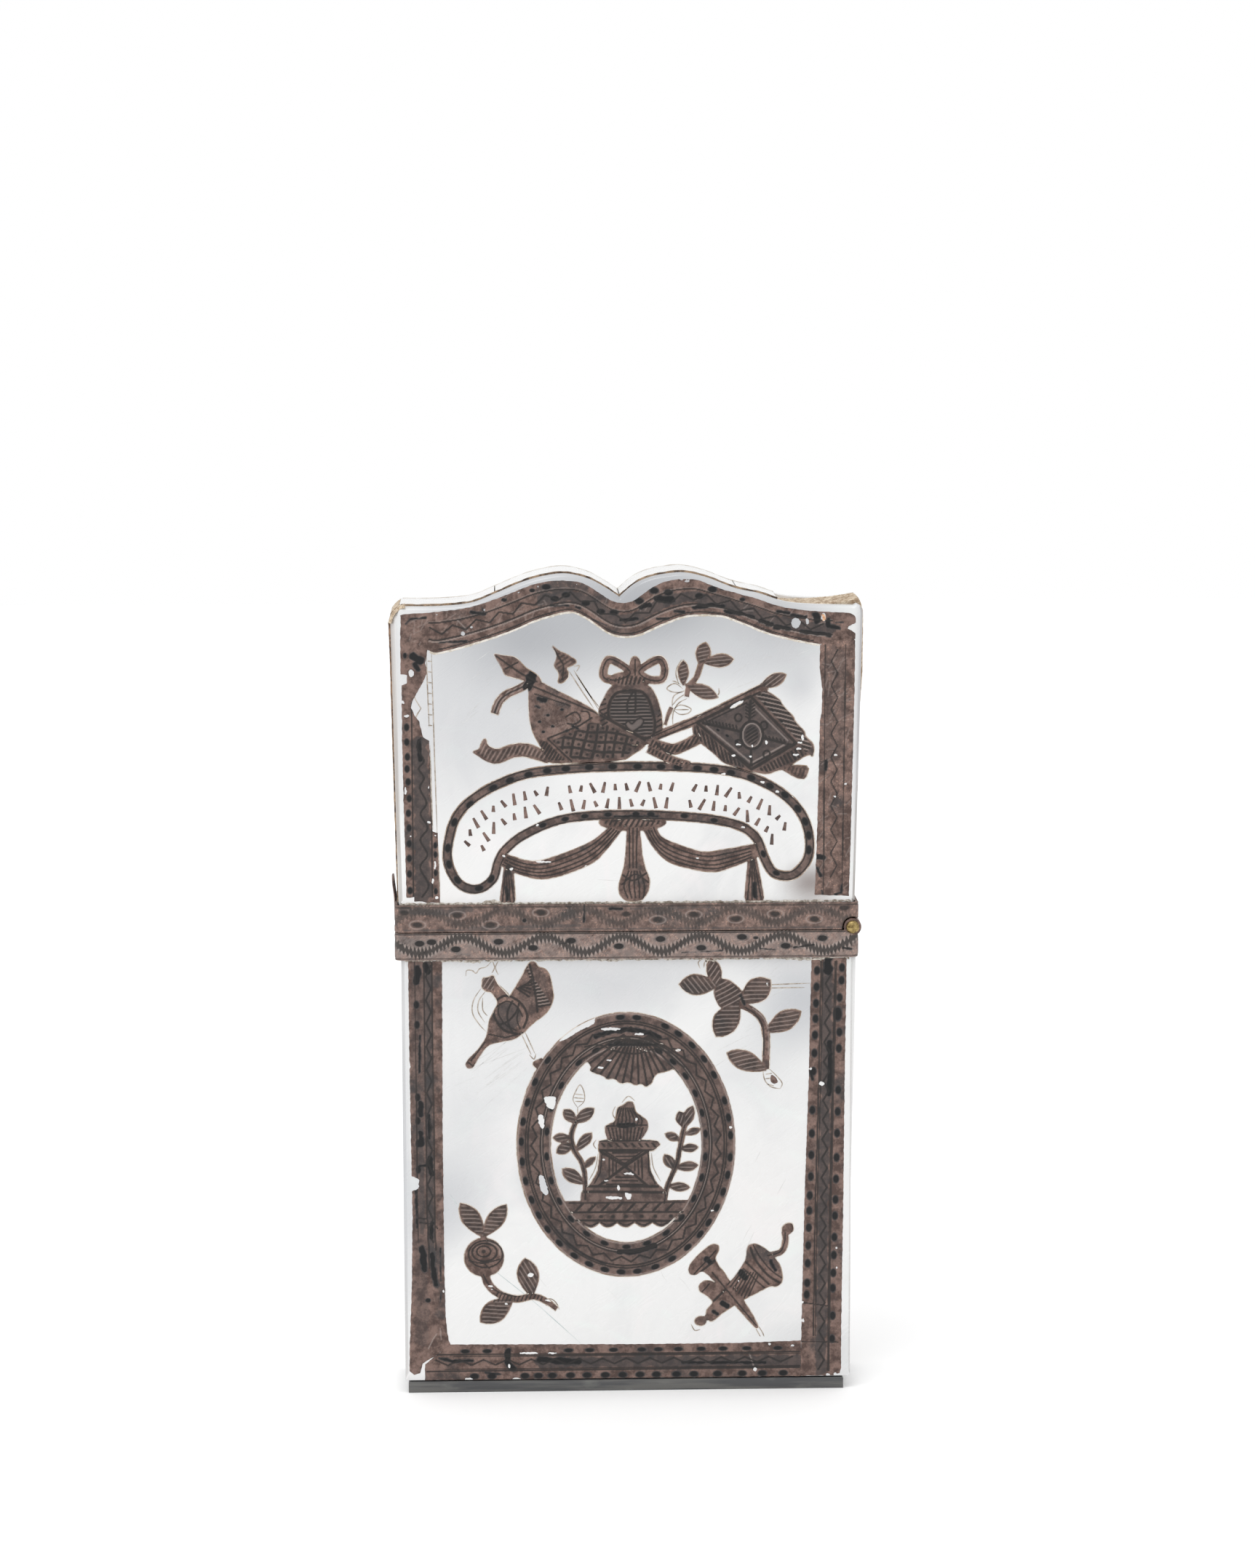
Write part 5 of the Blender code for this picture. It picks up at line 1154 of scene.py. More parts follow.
def hoop_plan():
    """The hoop's plan as a path from the middle of the front to the right and round: its places, its outward
    directions and how far along each lies. Straight sides join quarter circles at the corners."""
    half_x, half_y = BAND_HALF_X - BAND_CORNER, BAND_HALF_Y - BAND_CORNER
    places, outward = [], []
    arcs = np.radians(np.linspace(0, 90, 7))
    front = np.arange(0, half_x, 0.055)
    back = np.arange(-half_x, half_x, 0.25)
    side = np.arange(-half_y, half_y, 0.12)

    def straight(at, fixed, direction, swap):
        stretch = np.column_stack([np.full(len(at), fixed), at] if swap else [at, np.full(len(at), fixed)])
        places.append(stretch)
        outward.append(np.tile(direction, (len(at), 1)))

    def bend(x, y, start):
        angle = arcs + math.radians(start)
        direction = np.column_stack([np.cos(angle), np.sin(angle)])
        places.append(np.array([x, y]) + BAND_CORNER * direction)
        outward.append(direction)

    straight(front, -BAND_HALF_Y, (0, -1), False)
    bend(half_x, -half_y, -90)
    straight(side[1:], BAND_HALF_X, (1, 0), True)
    bend(half_x, half_y, 0)
    straight(-back[1:], BAND_HALF_Y, (0, 1), False)
    bend(-half_x, half_y, 90)
    straight(-side[1:], -BAND_HALF_X, (-1, 0), True)
    bend(-half_x, -half_y, 180)
    straight(front[1:] - half_x, -BAND_HALF_Y, (0, -1), False)
    places, outward = np.vstack(places), np.vstack(outward)
    far = far_along(places)
    return places, outward, np.where(far > far[-1] / 2, far - far[-1] - 0.1, far)


def wriggle(middle_z, swing, period, crest_x, tooth_kind, rub_and_highlight):
    """The chased wave: a dark cosine line with long leaf-shaped teeth close together above and below it, on
    silver that is paler near the wave, partly rubbed and partly a painted highlight. The crests move about a
    little, as they do where the work is set out by eye."""

    def off_wave(x, z):
        return z - middle_z - swing * np.cos(2 * np.pi * (x - crest_x) / period + 0.3 * np.sin(0.13 * x))

    def teeth(x, z):
        off = off_wave(x, z)
        step = (x + 0.1 * off) / TOOTH_GAP + 0.2 * np.sin(0.9 * x)
        aside = 2 * np.abs(step - np.floor(step + 0.5))
        reach = (np.abs(off) - CORE_HALF) / (TOOTH_HALF * (1 + 0.15 * np.sin(1.9 * x)))
        return np.clip((1.2 - reach - aside) * 3.2, 0, 1) * (reach < 1.15)

    # Painted highlight with rubbing: the ground is paler close to the wave, and more so on the case's band
    def ground(x, z):
        near = np.clip(1.3 - np.abs(off_wave(x, z)) / 0.8, 0.35, 1)
        return rub_and_highlight * near * np.clip(
            0.85 + 0.5 * uneven(0.9 * x, 1.3 * z) + 0.6 * uneven(5 * x, 6 * z), 0, 1)

    corners = np.array([-64, middle_z - 1.7]), np.array([64, middle_z + 1.7])
    return [(tooth_kind, *corners, teeth), ("bright", *corners, ground)]


def rims(places, half_x, half_z):
    """The thin bright rims that the punch has raised round oval spots."""
    places = np.array(places, float)
    reach = 2 * half_x

    def mark(x, z):
        far = np.hypot((x[..., None] - places[:, 0]) / half_x, (z[..., None] - places[:, 1]) / half_z)
        return np.clip(1.2 - np.abs(far.min(-1) - 1.5) / 0.25, 0, 1)

    return framed("crest", places, reach, mark)


def no_notch(y):
    """Nowhere along the rim."""
    return np.zeros(len(y), bool)


def rim_band(name, span, notch_low, notch_high, marks, look, body, node):
    """A hoop whose outer wall is a grid, around the box by up the band, sunk by its marks. Its lower or upper
    rim is cut back in an arc round the other half's knuckles."""
    places, outward, far = hoop_plan()
    rows = 42
    x, y = places.T
    from_axis = np.abs(x - HINGE_X)
    arc = np.sqrt(np.maximum(HINGE_ROOM_R ** 2 - from_axis ** 2, 0))
    near_hinge = from_axis < HINGE_ROOM_R
    low = np.where(near_hinge & notch_low(y), np.maximum(span[0], HINGE_Z + arc), span[0])
    high = np.where(near_hinge & notch_high(y), np.minimum(span[1], HINGE_Z - arc), span[1])
    share = np.linspace(0, 1, rows)
    z = low[:, None] + (high - low)[:, None] * share
    u = np.repeat(far[:, None], rows, axis=1)
    attributes = {channel: np.zeros(z.shape) for channel in CHANNELS}
    for kind, low_corner, high_corner, mark in marks:
        channel, strength, _ = MARKS[kind]
        near = (u[:, 0] > low_corner[0] - 0.5) & (u[:, 0] < high_corner[0] + 0.5)
        attributes[channel][near] = np.maximum(attributes[channel][near], strength * mark(u[near], z[near]))
    rim_gap = np.minimum(z - low[:, None], high[:, None] - z)
    rounding = 0.07 * (1 - np.clip(rim_gap / 0.16, 0, 1)) ** 2
    sink = 0.05 * attributes["cut"] + 0.03 * attributes["dark"] + rounding + 0.012
    sink = sink + 0.012 * uneven(u * 0.8, z * 1.4)
    outer = np.stack([x[:, None] - outward[:, :1] * sink, y[:, None] - outward[:, 1:] * sink, z], axis=-1)
    inner_xy = places - outward * BAND_WALL
    inner = np.stack([np.column_stack([inner_xy, high]), np.column_stack([inner_xy, low])], axis=1)
    grid = np.concatenate([outer, inner], axis=1)
    count, around = grid.shape[:2]
    number = np.arange(count * around).reshape(count, around)
    after = np.roll(number, -1, axis=0)
    quads = np.stack([number, after, np.roll(after, -1, axis=1), np.roll(number, -1, axis=1)], axis=-1)
    made = piece(
        name, grid.reshape(-1, 3), quads.reshape(-1, 4).tolist(), look, body, "rim_silver", node, sharp=50)
    for label, values in attributes.items():
        store(made.data, label, np.concatenate([values, np.zeros((count, 2))], axis=1))
    return made


def face_out(mesh, weld=0.0):
    """Turns the faces of a closed mesh outwards, after points nearer than weld are merged."""
    shape = bmesh.new()
    shape.from_mesh(mesh)
    if weld:
        bmesh.ops.remove_doubles(shape, verts=shape.verts, dist=weld)
    bmesh.ops.recalc_face_normals(shape, faces=shape.faces)
    shape.to_mesh(mesh)
    shape.free()


def turned(name, profile, look, body, slot, *nodes, steps=40):
    """A profile of (radius, y) carried round the hinge's axis; a radius of nought closes at a pole."""
    profile = np.array(profile, float)
    angle = np.linspace(0, 2 * np.pi, steps, endpoint=False)[:, None]
    radius, y = profile.T
    points = np.stack(
        [HINGE_X + radius * np.cos(angle), np.broadcast_to(y, (steps, len(y))),
         HINGE_Z + radius * np.sin(angle)],
        axis=-1)
    number = np.arange(points.shape[0] * points.shape[1]).reshape(points.shape[:2])
    after = np.roll(number, -1, axis=0)
    quads = np.stack([number[:, :-1], number[:, 1:], after[:, 1:], after[:, :-1]], axis=-1).reshape(-1, 4)
    made = piece(name, points.reshape(-1, 3), quads.tolist(), look, body, slot, *nodes, smooth=False)
    face_out(made.data, 1e-6)
    made.data.shade_smooth()
    made.data.set_sharp_from_angle(angle=math.radians(40))
    return made


chased_silver, bright_silver = old_silver("chased_silver", 1.0), old_silver("bright_silver", 1.8)
case_spots = [
    (-21.1, 50.1), (-18.5, 49.3), (-13.9, 50.1), (-10.2, 49.4), (-6.1, 50.15), (-0.95, 49.5), (3.6, 50.25),
    (8, 49.25), (12.4, 50.4), (17.1, 49.4), (21.1, 50.2), (-22.4, 49.95)]
far_spots = [(side * (27.5 + 4.4 * n), 0.5 * (-1) ** n) for side in (-1, 1) for n in range(8)]
case_far_spots = [(x, 49.85 + z) for x, z in far_spots]
case_marks = [
    *wriggle(49.72, 0.86, 8.8, -0.5, "tooth", 1.5), rims(case_spots + case_far_spots, 0.6, 0.36),
    spots(case_spots + case_far_spots, 0.6, 0.36), spots([(13.9, 50.3)], 0.3, 0.18),
    line([(-62, 48.3), (62, 48.3)], 0.12, "cut_soft"), line([(-62, 50.92), (62, 50.92)], 0.12),
    blot([(5.9, 48.75), (7.4, 48.8)], 0.3), blot([(7.9, 48.8), (10.4, 48.95)], 0.28),
    blot([(14.4, 49.1), (16, 49)], 0.35), blot([(18, 49.2), (20.2, 49.5)], 0.4),
    blot([(23.4, 49.1), (24.3, 49)], 0.5), blot([(23, 50.3), (24.4, 50.2)], 0.5, "track"),
    blot([(-13.9, 49.9), (-13.6, 49.1), (-13.3, 48.8)], 0.3), blot([(-5.7, 50), (-8.2, 49.7)], 0.25),
    blot([(-24.2, 50.2), (-21.2, 49.2), (-19.6, 49.9)], 1.3, "track"),
    blot([(-18.4, 48.8), (-17, 48.7)], 0.35, "track"), blot([(-24.6, 50.9), (-24.6, 48.3)], 0.5, "track")]
rim_band("case_rim_band", CASE_BAND, no_notch, lambda y: np.abs(y) < SPLIT_Y + NOTCH_ROOM, case_marks,
         bright_silver, "case", "case_band")
lid_spots = [
    (-22.6, 52), (-18.3, 53), (-14.75, 51.95), (-9.35, 53.25), (3.3, 52.35), (7.2, 52.9), (11.7, 52.4),
    (16, 52.9), (20.2, 52.3), (23.4, 53.5), (-0.1, 53), (-24, 53.3)]
lid_far_spots = [(x, 52.8 + z) for x, z in far_spots]
lid_marks = [
    *wriggle(52.8, 0.8, 8.55, 3.5, "cut_soft", 0.3), rims(lid_spots[:9], 0.58, 0.3),
    spots(lid_spots + lid_far_spots, 0.56, 0.3, 0, "tooth"),
    line([(-62, 53.88), (62, 53.88)], 0.14, "cut_soft"), blot([(-4.65, 54), (-4.7, 52.2)], 0.35),
    blot([(-1.9, 53.6), (-0.6, 53.6)], 0.5), spots([(-11.1, 52.4)], 0.25, 0.22),
    blot([(-24, 51.4), (24, 51.4)], 0.35, "track"), blot([(-17, 51.6), (-5.2, 51.8)], 0.55, "track"),
    blot([(-24.3, 53.6), (-19.5, 53.3), (-17, 53.7)], 0.9, "track"),
    blot([(0.4, 53.6), (9, 53.7)], 0.4, "track")]
rim_band("lid_rim_band", LID_BAND, lambda y: np.abs(y) > SPLIT_Y, no_notch, lid_marks, chased_silver, "lid",
         "lid_band")


def knuckle(name, low_y, high_y, body, node):
    """One short tube of the hinge, with eased ends."""
    profile = [
        (BORE_R, low_y), (KNUCKLE_R - EASE, low_y), (KNUCKLE_R, low_y + EASE), (KNUCKLE_R, high_y - EASE),
        (KNUCKLE_R - EASE, high_y), (BORE_R, high_y), (BORE_R, low_y)]
    turned(name, profile, chased_silver, body, "rim_silver", node)


knuckle("case_front_knuckle", -KNUCKLE_END_Y, -SPLIT_Y - KNUCKLE_GAP, "case", "case_band")
knuckle("case_back_knuckle", SPLIT_Y + KNUCKLE_GAP, KNUCKLE_END_Y, "case", "case_band")
knuckle("lid_knuckle", -SPLIT_Y + KNUCKLE_GAP, SPLIT_Y - KNUCKLE_GAP, "lid", "lid_band")

aged_brass = bpy.data.materials.new("aged_brass")
tree, surface = nodes_of(aged_brass)
wear = noise(tree, place_of(tree, (2.2, 2.2, 2.2)), 1.0, 4.0, 0.65)
colour = blend_colours(tree, ramp(tree, wear, 0.35, 0.65), (0.13, 0.085, 0.032, 1), (0.44, 0.33, 0.14, 1))
tree.links.new(colour, surface.inputs["Base Color"])
tree.links.new(sum_up(tree, "ADD", 0.22, times(tree, wear, 0.3)), surface.inputs["Roughness"])
tree.links.new(bump(tree, wear, 0.4, 0.04), surface.inputs["Normal"])
surface.inputs["Metallic"].default_value = 0.9
PIN_R, HEAD_R, HEAD_Y, HEAD_HIGH = 0.35, 0.72, 5.4, 0.44
dome = [(HEAD_R * math.cos(a), HEAD_Y + HEAD_HIGH * math.sin(a)) for a in np.linspace(math.pi / 2, 0, 9)]
dome[0] = (0, HEAD_Y + HEAD_HIGH)
half_pin = [*dome, (HEAD_R * 0.97, HEAD_Y), (PIN_R, HEAD_Y)]
turned("brass_pin", half_pin + [(radius, -y) for radius, y in half_pin[::-1]], aged_brass, "case", "brass",
       "hinge_pin")

# The thumb tongue is a strip of the same silver, soldered to the lid's hoop on the side away from the hinge
TONGUE_HALF_Y = 2.2
tongue_line = curve([(-25, 53), (-25.03, 54.2), (-25.1, 55), (-25.2, 55.8), (-25.25, 56.6)], steps=5)
tongue_round = np.linspace(-1, 1, 17)
along = tongue_line[:, None, :]
reach_y = np.full(len(tongue_line), TONGUE_HALF_Y)
reach_y[-5:] *= (0.99, 0.95, 0.88, 0.75, 0.5)
across = reach_y[:, None] * tongue_round
bulge = 0.1 * np.sqrt(np.maximum(1 - tongue_round ** 4, 0))
outer_side, inner_side = (
    np.stack([along[..., 0] + side * (bulge + 0.02), across, along[..., 1] + 0 * across], axis=-1)
    for side in (-1, 1))
tongue_points = np.concatenate([outer_side, inner_side[:, ::-1]], axis=1)
levels, ring_count = tongue_points.shape[:2]
number = np.arange(levels * ring_count).reshape(levels, ring_count)
after = np.roll(number, -1, axis=1)
quads = np.stack([number[:-1], number[1:], after[1:], after[:-1]], axis=-1).reshape(-1, 4)
caps = [number[0].tolist(), number[-1][::-1].tolist()]
piece("thumb_tongue", tongue_points.reshape(-1, 3), quads.tolist() + caps, chased_silver, "lid",
      "rim_silver", "lid_band")

# Lid plates
# The lid's front and back are humped shell plates that widen towards the top. Shell strips cover the
# sides and the top between them, and the last stretch of the top strip is lost and filled with mastic.
TOP_LEFT = [
    (-24.3, 86.5), (-20, 86.5), (-16.5, 86.85), (-14, 87.8), (-11, 89.05), (-8.5, 89.72), (-6.3, 89.9),
    (-4, 89.35), (-2.2, 88.4), (-0.7, 87.4)]
TOP_RIGHT = [
    (-0.7, 87.4), (0.9, 88.75), (2.6, 89.5), (4.4, 89.85), (6.3, 89.95), (8.7, 89.4), (11.7, 88.25),
    (14.2, 87.7), (17, 86.8), (20, 86.5), (24.3, 86.4)]
STRIP_HALF_Y = 3.5
top_line = np.vstack([curve(TOP_LEFT, steps=8)[:-1], curve(TOP_RIGHT, steps=8)])
LID_SIDE = np.array([
    (24.6, 54.2), (24.7, 54.2), (25.42, 85.3), (25.38, 85.8), (25.1, 86.2), (24.75, 86.38)])
GLUE_ROOM = 0.2
lid_outline = np.vstack([
    [(-24.6, 51.25)], [(23.2, 51.25)], hinge_notch(172, 78), [(24.6, 52.7)], LID_SIDE - (GLUE_ROOM / 2, 0),
    top_line[::-1] - (0, GLUE_ROOM),
    [(-24.45, 85.9), (-24.85, 85.6), (-25.14, 85.2), (-24.6, 56), (-24.55, 54.2), (-24.5, 54.2)]])
lid_outline = anticlockwise(lid_outline)
edge_streaks = np.where(lid_outline[:, 1] > 86, 0.33, 1.0)
lid_slopes = np.select(
    [lid_outline[:, 0] < -24.5, (lid_outline[:, 0] > 24.5) & (lid_outline[:, 1] < 86)], [0.6, 0.38], 0.3)
# The lid's grey spots, darkest over its upper part, and the deep rose one low on the right are partly the
# shell's own clouds and partly painted reflection of the darker surroundings in the polished shell. The beige
# and bluish ones down the sides are partly the colour of the layers cut through at the sloping edges and
# partly painted shade there.
DEEP_GREY, DEEP_ROSE = (0.35, 0.36, 0.38, 1), (0.30, 0.265, 0.255, 1)
BEIGE, BLUISH = (0.47, 0.43, 0.40, 1), (0.42, 0.415, 0.44, 1)
lid_shell = mother_of_pearl(
    "lid_shell", 0.4, 0.35, 1.0,
    [(-6, 86, 30, 19, 0.75, GREY), (-11, 83, 14, 9, 0.85, DEEP_GREY), (3, 86, 17, 9.5, 0.95, DEEP_GREY),
     (17, 84, 11, 8, 0.7, DEEP_GREY), (-19, 74, 10, 18, 0.55, GREY), (18.5, 77.5, 3.2, 3.5, 0.6, GREY),
     (-9, 77.5, 5, 4.5, 0.7, GREY), (-12, 72, 8, 12, 0.55, GREY), (12, 80, 13, 6, 0.6, GREY),
     (-25.2, 70, 1.2, 30, 1.0, BEIGE), (25.3, 74, 1.3, 22, 0.8, BLUISH),
     (19.8, 56.2, 4.4, 3.4, 1.0, DEEP_ROSE), (-20, 56, 4, 10, 0.15, ROSY)])
for side, name in ((-1, "front"), (1, "back")):
    plate(f"lid_{name}", lid_outline, side * (FACE_Y - PLATE), side * FACE_Y, lid_slopes, 0.35, lid_shell,
          "lid", "mother_of_pearl", f"lid_{name}_plate", streaks=edge_streaks)


def between_x(low_x, high_x):
    """The stretch of the lid's top line between two places."""
    ends = np.interp([low_x, high_x], top_line[:, 0], top_line[:, 1])
    inside = top_line[(top_line[:, 0] > low_x + 0.05) & (top_line[:, 0] < high_x - 0.05)]
    return np.vstack([[(low_x, ends[0])], inside, [(high_x, ends[1])]])


TOP_JOINTS, JOINT_ROOM = (-24.2, -14.0, -0.7, 11.8, 16.2), 0.06
cover_shell = mother_of_pearl("cover_shell", 0.2, 0.2, 0.12)
for number, (left_x, right_x) in enumerate(zip(TOP_JOINTS, TOP_JOINTS[1:]), 1):
    upper = between_x(left_x + JOINT_ROOM, right_x - JOINT_ROOM) - (0, 0.04)
    strip = np.vstack([upper - (0, PLATE), upper[::-1]])
    plate(f"lid_top_cover_{number}", strip, -STRIP_HALF_Y, STRIP_HALF_Y, 0.05, 0.05, cover_shell, "lid",
          "mother_of_pearl", f"lid_top_strip_{number}")

# Silver on the lid's front
# Two upright borders and a humped top border frame the lid, round a trophy of flags and a shield, an
# arrow, and a banner hung with swags. They are sheet silver like the case's, engraved and tarnished.
TOP_OUTER = [
    (-24, 85.25), (-23.8, 85.5), (-21, 85.68), (-18, 86), (-16, 86.4), (-14, 87.05), (-11.8, 87.9),
    (-10, 88.6), (-8.3, 88.95), (-6.8, 89.02), (-5, 88.85), (-3.7, 88.25), (-2.3, 87.3), (-1.3, 86.75),
    (-0.1, 86.6), (1, 86.95), (2, 87.7), (3, 88.35), (4, 88.8), (5.3, 89.08), (6.7, 89.1), (7.7, 89),
    (8.7, 88.6), (10, 88.1), (11.7, 87.6), (14.2, 86.9), (16, 86.25), (18, 85.85), (20, 85.62), (22, 85.5),
    (23.7, 85.4), (24.3, 85.2), (24.55, 84.8), (24.55, 84.35)]
TOP_INNER = [
    (-20.95, 81.6), (-20.2, 81.4), (-18, 81.9), (-16, 82.5), (-14, 83.1), (-11.8, 83.9), (-10, 84.7),
    (-8.3, 85.25), (-6.3, 85.72), (-5, 85.5), (-3.7, 84.75), (-2.7, 84), (-1.7, 83.4), (-0.7, 83.1),
    (0, 83.05), (1, 83.15), (2, 83.5), (3.3, 84.1), (5, 84.8), (6.3, 85.2), (7.7, 85.33), (9.3, 85.3),
    (10.7, 85.1), (12, 84.6), (13.3, 84.1), (14.7, 83.5), (16, 83.1), (18, 82.6), (20, 82.2), (20.7, 82.05)]
top_outer, top_inner = curve(TOP_OUTER, steps=3), curve(TOP_INNER, steps=3)
top_shape = [anticlockwise(
    np.vstack([
        [(-24.1, 83.2)], top_outer, [(23.75, 83.75), (24.5, 83.2), (24.52, 82.6)], top_inner[::-1],
        [(-21.3, 81.7)]]))]


def top_track(share, low_x=-21, high_x=22):
    """A line along the top border, at a share of the way from its outer edge to its inner one."""
    x = np.linspace(low_x, high_x, 90)
    outer_z = np.interp(x, top_outer[:, 0], top_outer[:, 1])
    inner_z = np.interp(x, top_inner[:, 0], top_inner[:, 1])
    return np.column_stack([x, outer_z + (inner_z - outer_z) * share])


top_marks = [
    line(top_track(0.27), 0.13), line(top_track(0.7), 0.16), line(top_track(0.745), 0.11, "crest"),
    line(top_track(0.235), 0.1, "worn"), blot(top_track(0.5, -9, 22), 1.35, "track"),
    line(zigzag(top_track(0.48), 2.6, 0.75), 0.16), line(top_track(0.93, -20, 20), 0.12),
    blot([(7.2, 86.1), (9, 86.3), (10.4, 86.2)], 0.62),
    blot([(10.6, 85.7), (12.4, 85.35), (13.6, 85)], 0.6), blot([(14.4, 84.6), (15.6, 84.2)], 0.68),
    blot([(15.9, 84), (17.4, 83.7)], 0.68), blot([(18.7, 83.45), (20.6, 83.2), (21.7, 83.05)], 0.62),
    blot([(16.2, 85.6), (17.4, 85.4)], 0.5), blot([(17.6, 85.2), (19.2, 85)], 0.5),
    blot([(20.3, 85.1), (20.4, 84.6)], 0.95), blot([(21.6, 84.7), (21.6, 84), (22.8, 83.8)], 0.62),
    blot([(22.4, 84.4), (23.2, 84.4)], 0.25), blot([(3.3, 87.1), (4.8, 86.9)], 0.95),
    blot([(1.6, 86.1), (2.5, 86.4)], 0.7), blot([(5.2, 85.7), (6.2, 85.6)], 0.4),
    blot([(-0.6, 84.8), (1.2, 84.9)], 0.5), blot([(3.3, 84.9), (4.5, 84.9)], 0.4),
    spots([(3, 87.9), (1.4, 86.8), (4.5, 87.7), (7.8, 87.3), (9.2, 88)], 0.5, 0.35),
    spots([(-8.5, 88.35), (-6.4, 87.5), (-7.6, 87.1), (-4.3, 86.6), (-2.7, 85.7), (-1.3, 85.6)], 0.5, 0.32),
    blot([(-8, 86.35), (-6.2, 86.4)], 0.4), blot([(-5.3, 86.2), (-4.9, 86.1)], 0.4),
    blot([(-3.7, 84.9), (-2.1, 84.2)], 0.25), blot([(-16.5, 85.75), (-16, 85.6), (-15.1, 85.55)], 0.5),
    blot([(-15.3, 86.1), (-15.2, 85.7)], 0.35), blot([(-23.5, 84.5), (-23, 85), (-21.4, 85.15)], 0.36),
    blot([(-19.9, 82.5), (-17, 82.6)], 0.35),
    spots([(12.4, 86.9), (-10, 88), (-13, 87), (10.4, 88.1)], 0.3, 0.2),
    line([(-18, 84.9), (-16.8, 83.6)], 0.1, "crest")]
rub_random = np.random.default_rng(11)


def fine_rubs(count, low_corner, high_corner, longest=1.6):
    """Short pale scratches at random places, most of them lying up to the right."""
    marks = []
    for _ in range(count):
        place = rub_random.uniform(low_corner, high_corner)
        angle = math.radians(rub_random.normal(45, 28))
        reach = longest / 2 * rub_random.uniform(0.3, 1) * np.array([math.cos(angle), math.sin(angle)])
        marks.append(line([place - reach, place + reach], 0.09, "worn"))
    return marks


top_marks += fine_rubs(55, (-23.5, 81.8), (-10, 87.5)) + fine_rubs(35, (-10, 83.5), (22, 88.5))
inlay("lid_top", "lid", [top_shape],
      [oval(18.15, 84.35, 0.5, 0.55), oval(19.35, 84.5, 0.16, 0.32), oval(21.1, 84.95, 0.24, 0.46),
       oval(-17.4, 83.4, 0.22, 0.24), oval(-16.5, 84.1, 0.12, 0.1), oval(-15.1, 85.95, 0.1, 0.08),
       oval(6.5, 88.9, 0.25, 0.12), oval(5.9, 89.1, 0.25, 0.1), oval(-11.4, 87.8, 0.16, 0.07),
       oval(-9.4, 88.4, 0.08, 0.08), oval(-5.25, 88.6, 0.08, 0.08), oval(-20.2, 85.45, 0.2, 0.08),
       softened([(23.5, 83.85), (24.7, 84.4), (24.7, 83.2)], 1)],
      top_marks, **BORDER)

LID_LEFT = [
    (-24.08, 83.6), (-24.1, 79.1), (-23.4, 79), (-23.45, 78.1), (-24, 77.9), (-24, 72), (-23.9, 65),
    (-23.75, 58), (-23.7, 54.9), (-22.9, 54.95), (-22.85, 54.5), (-22, 54.5), (-21.6, 54.35),
    (-20.1, 54.35), (-20.2, 57), (-20.3, 61.9), (-20.85, 62.1), (-20.9, 64.6), (-21, 66), (-21.05, 70),
    (-21.1, 71.9), (-21.75, 72.3), (-21.95, 73.1), (-22.15, 74), (-22.65, 74.7), (-23, 75.5),
    (-22.85, 76.3), (-22.3, 77.2), (-21.75, 78.2), (-21.25, 79.2), (-21.45, 80.3), (-21.15, 81.95)]
left_zigzag = curve([
    (-22, 72.2), (-22.4, 71.2), (-21.7, 69.8), (-22.25, 68.9), (-21.7, 67.9), (-22.15, 66.8),
    (-21.45, 65.2), (-22.1, 64), (-21.35, 62.5), (-22.15, 61.2), (-21.4, 59.6), (-22.2, 58.2),
    (-21.3, 56.3), (-22, 55)])
lid_left_marks = [
    line([(-22.95, 76), (-22.95, 55)], 0.14), line([(-21, 72), (-20.9, 55)], 0.12), line(left_zigzag, 0.18),
    blot([(-22.1, 71.6), (-21.95, 64), (-21.95, 55)], 1.9, "track"),
    blot([(-22.2, 71.9), (-22.1, 69.9)], 0.7), blot([(-22.7, 81), (-21.9, 80.6)], 1.0),
    blot([(-22.6, 80.2), (-22.2, 79.6)], 0.6),
    spots([(-23.45, 70.2), (-23.5, 68.9), (-23.4, 67.5), (-23.3, 65.7), (-23.4, 64.1), (-23.35, 62.5),
           (-23.35, 60.8), (-23.35, 59.2), (-23.35, 57.5), (-23.3, 55.7), (-23.5, 71.8), (-23.5, 73.4)],
          0.28, 0.4),
    spots([(-20.55, z) for z in (60.6, 59.6, 57.6, 55.6)], 0.2, 0.35), spots([(-23.6, 81.1)], 0.2, 0.3)]
inlay("lid_left", "lid", [cornered(LID_LEFT)],
      [oval(-22.95, 79.2, 0.3, 0.4), oval(-23.85, 76.1, 0.16, 0.18), oval(-23.5, 74.6, 0.3, 0.14),
       oval(-21.2, 63.1, 0.22, 0.16), oval(-20.6, 58.4, 0.1, 0.5), oval(-20.85, 56.7, 0.12, 0.35),
       oval(-20.45, 54.9, 0.18, 0.16), oval(-20.55, 61.65, 0.1, 0.1), oval(-23.7, 66.5, 0.1, 0.4),
       oval(-23.7, 68.05, 0.07, 0.1), oval(-21.2, 66.9, 0.07, 0.15), oval(-23.2, 61.6, 0.05, 0.1)],
      lid_left_marks, **BORDER, place=lambda x, z, height: on_front(x, z, height - 0.006))

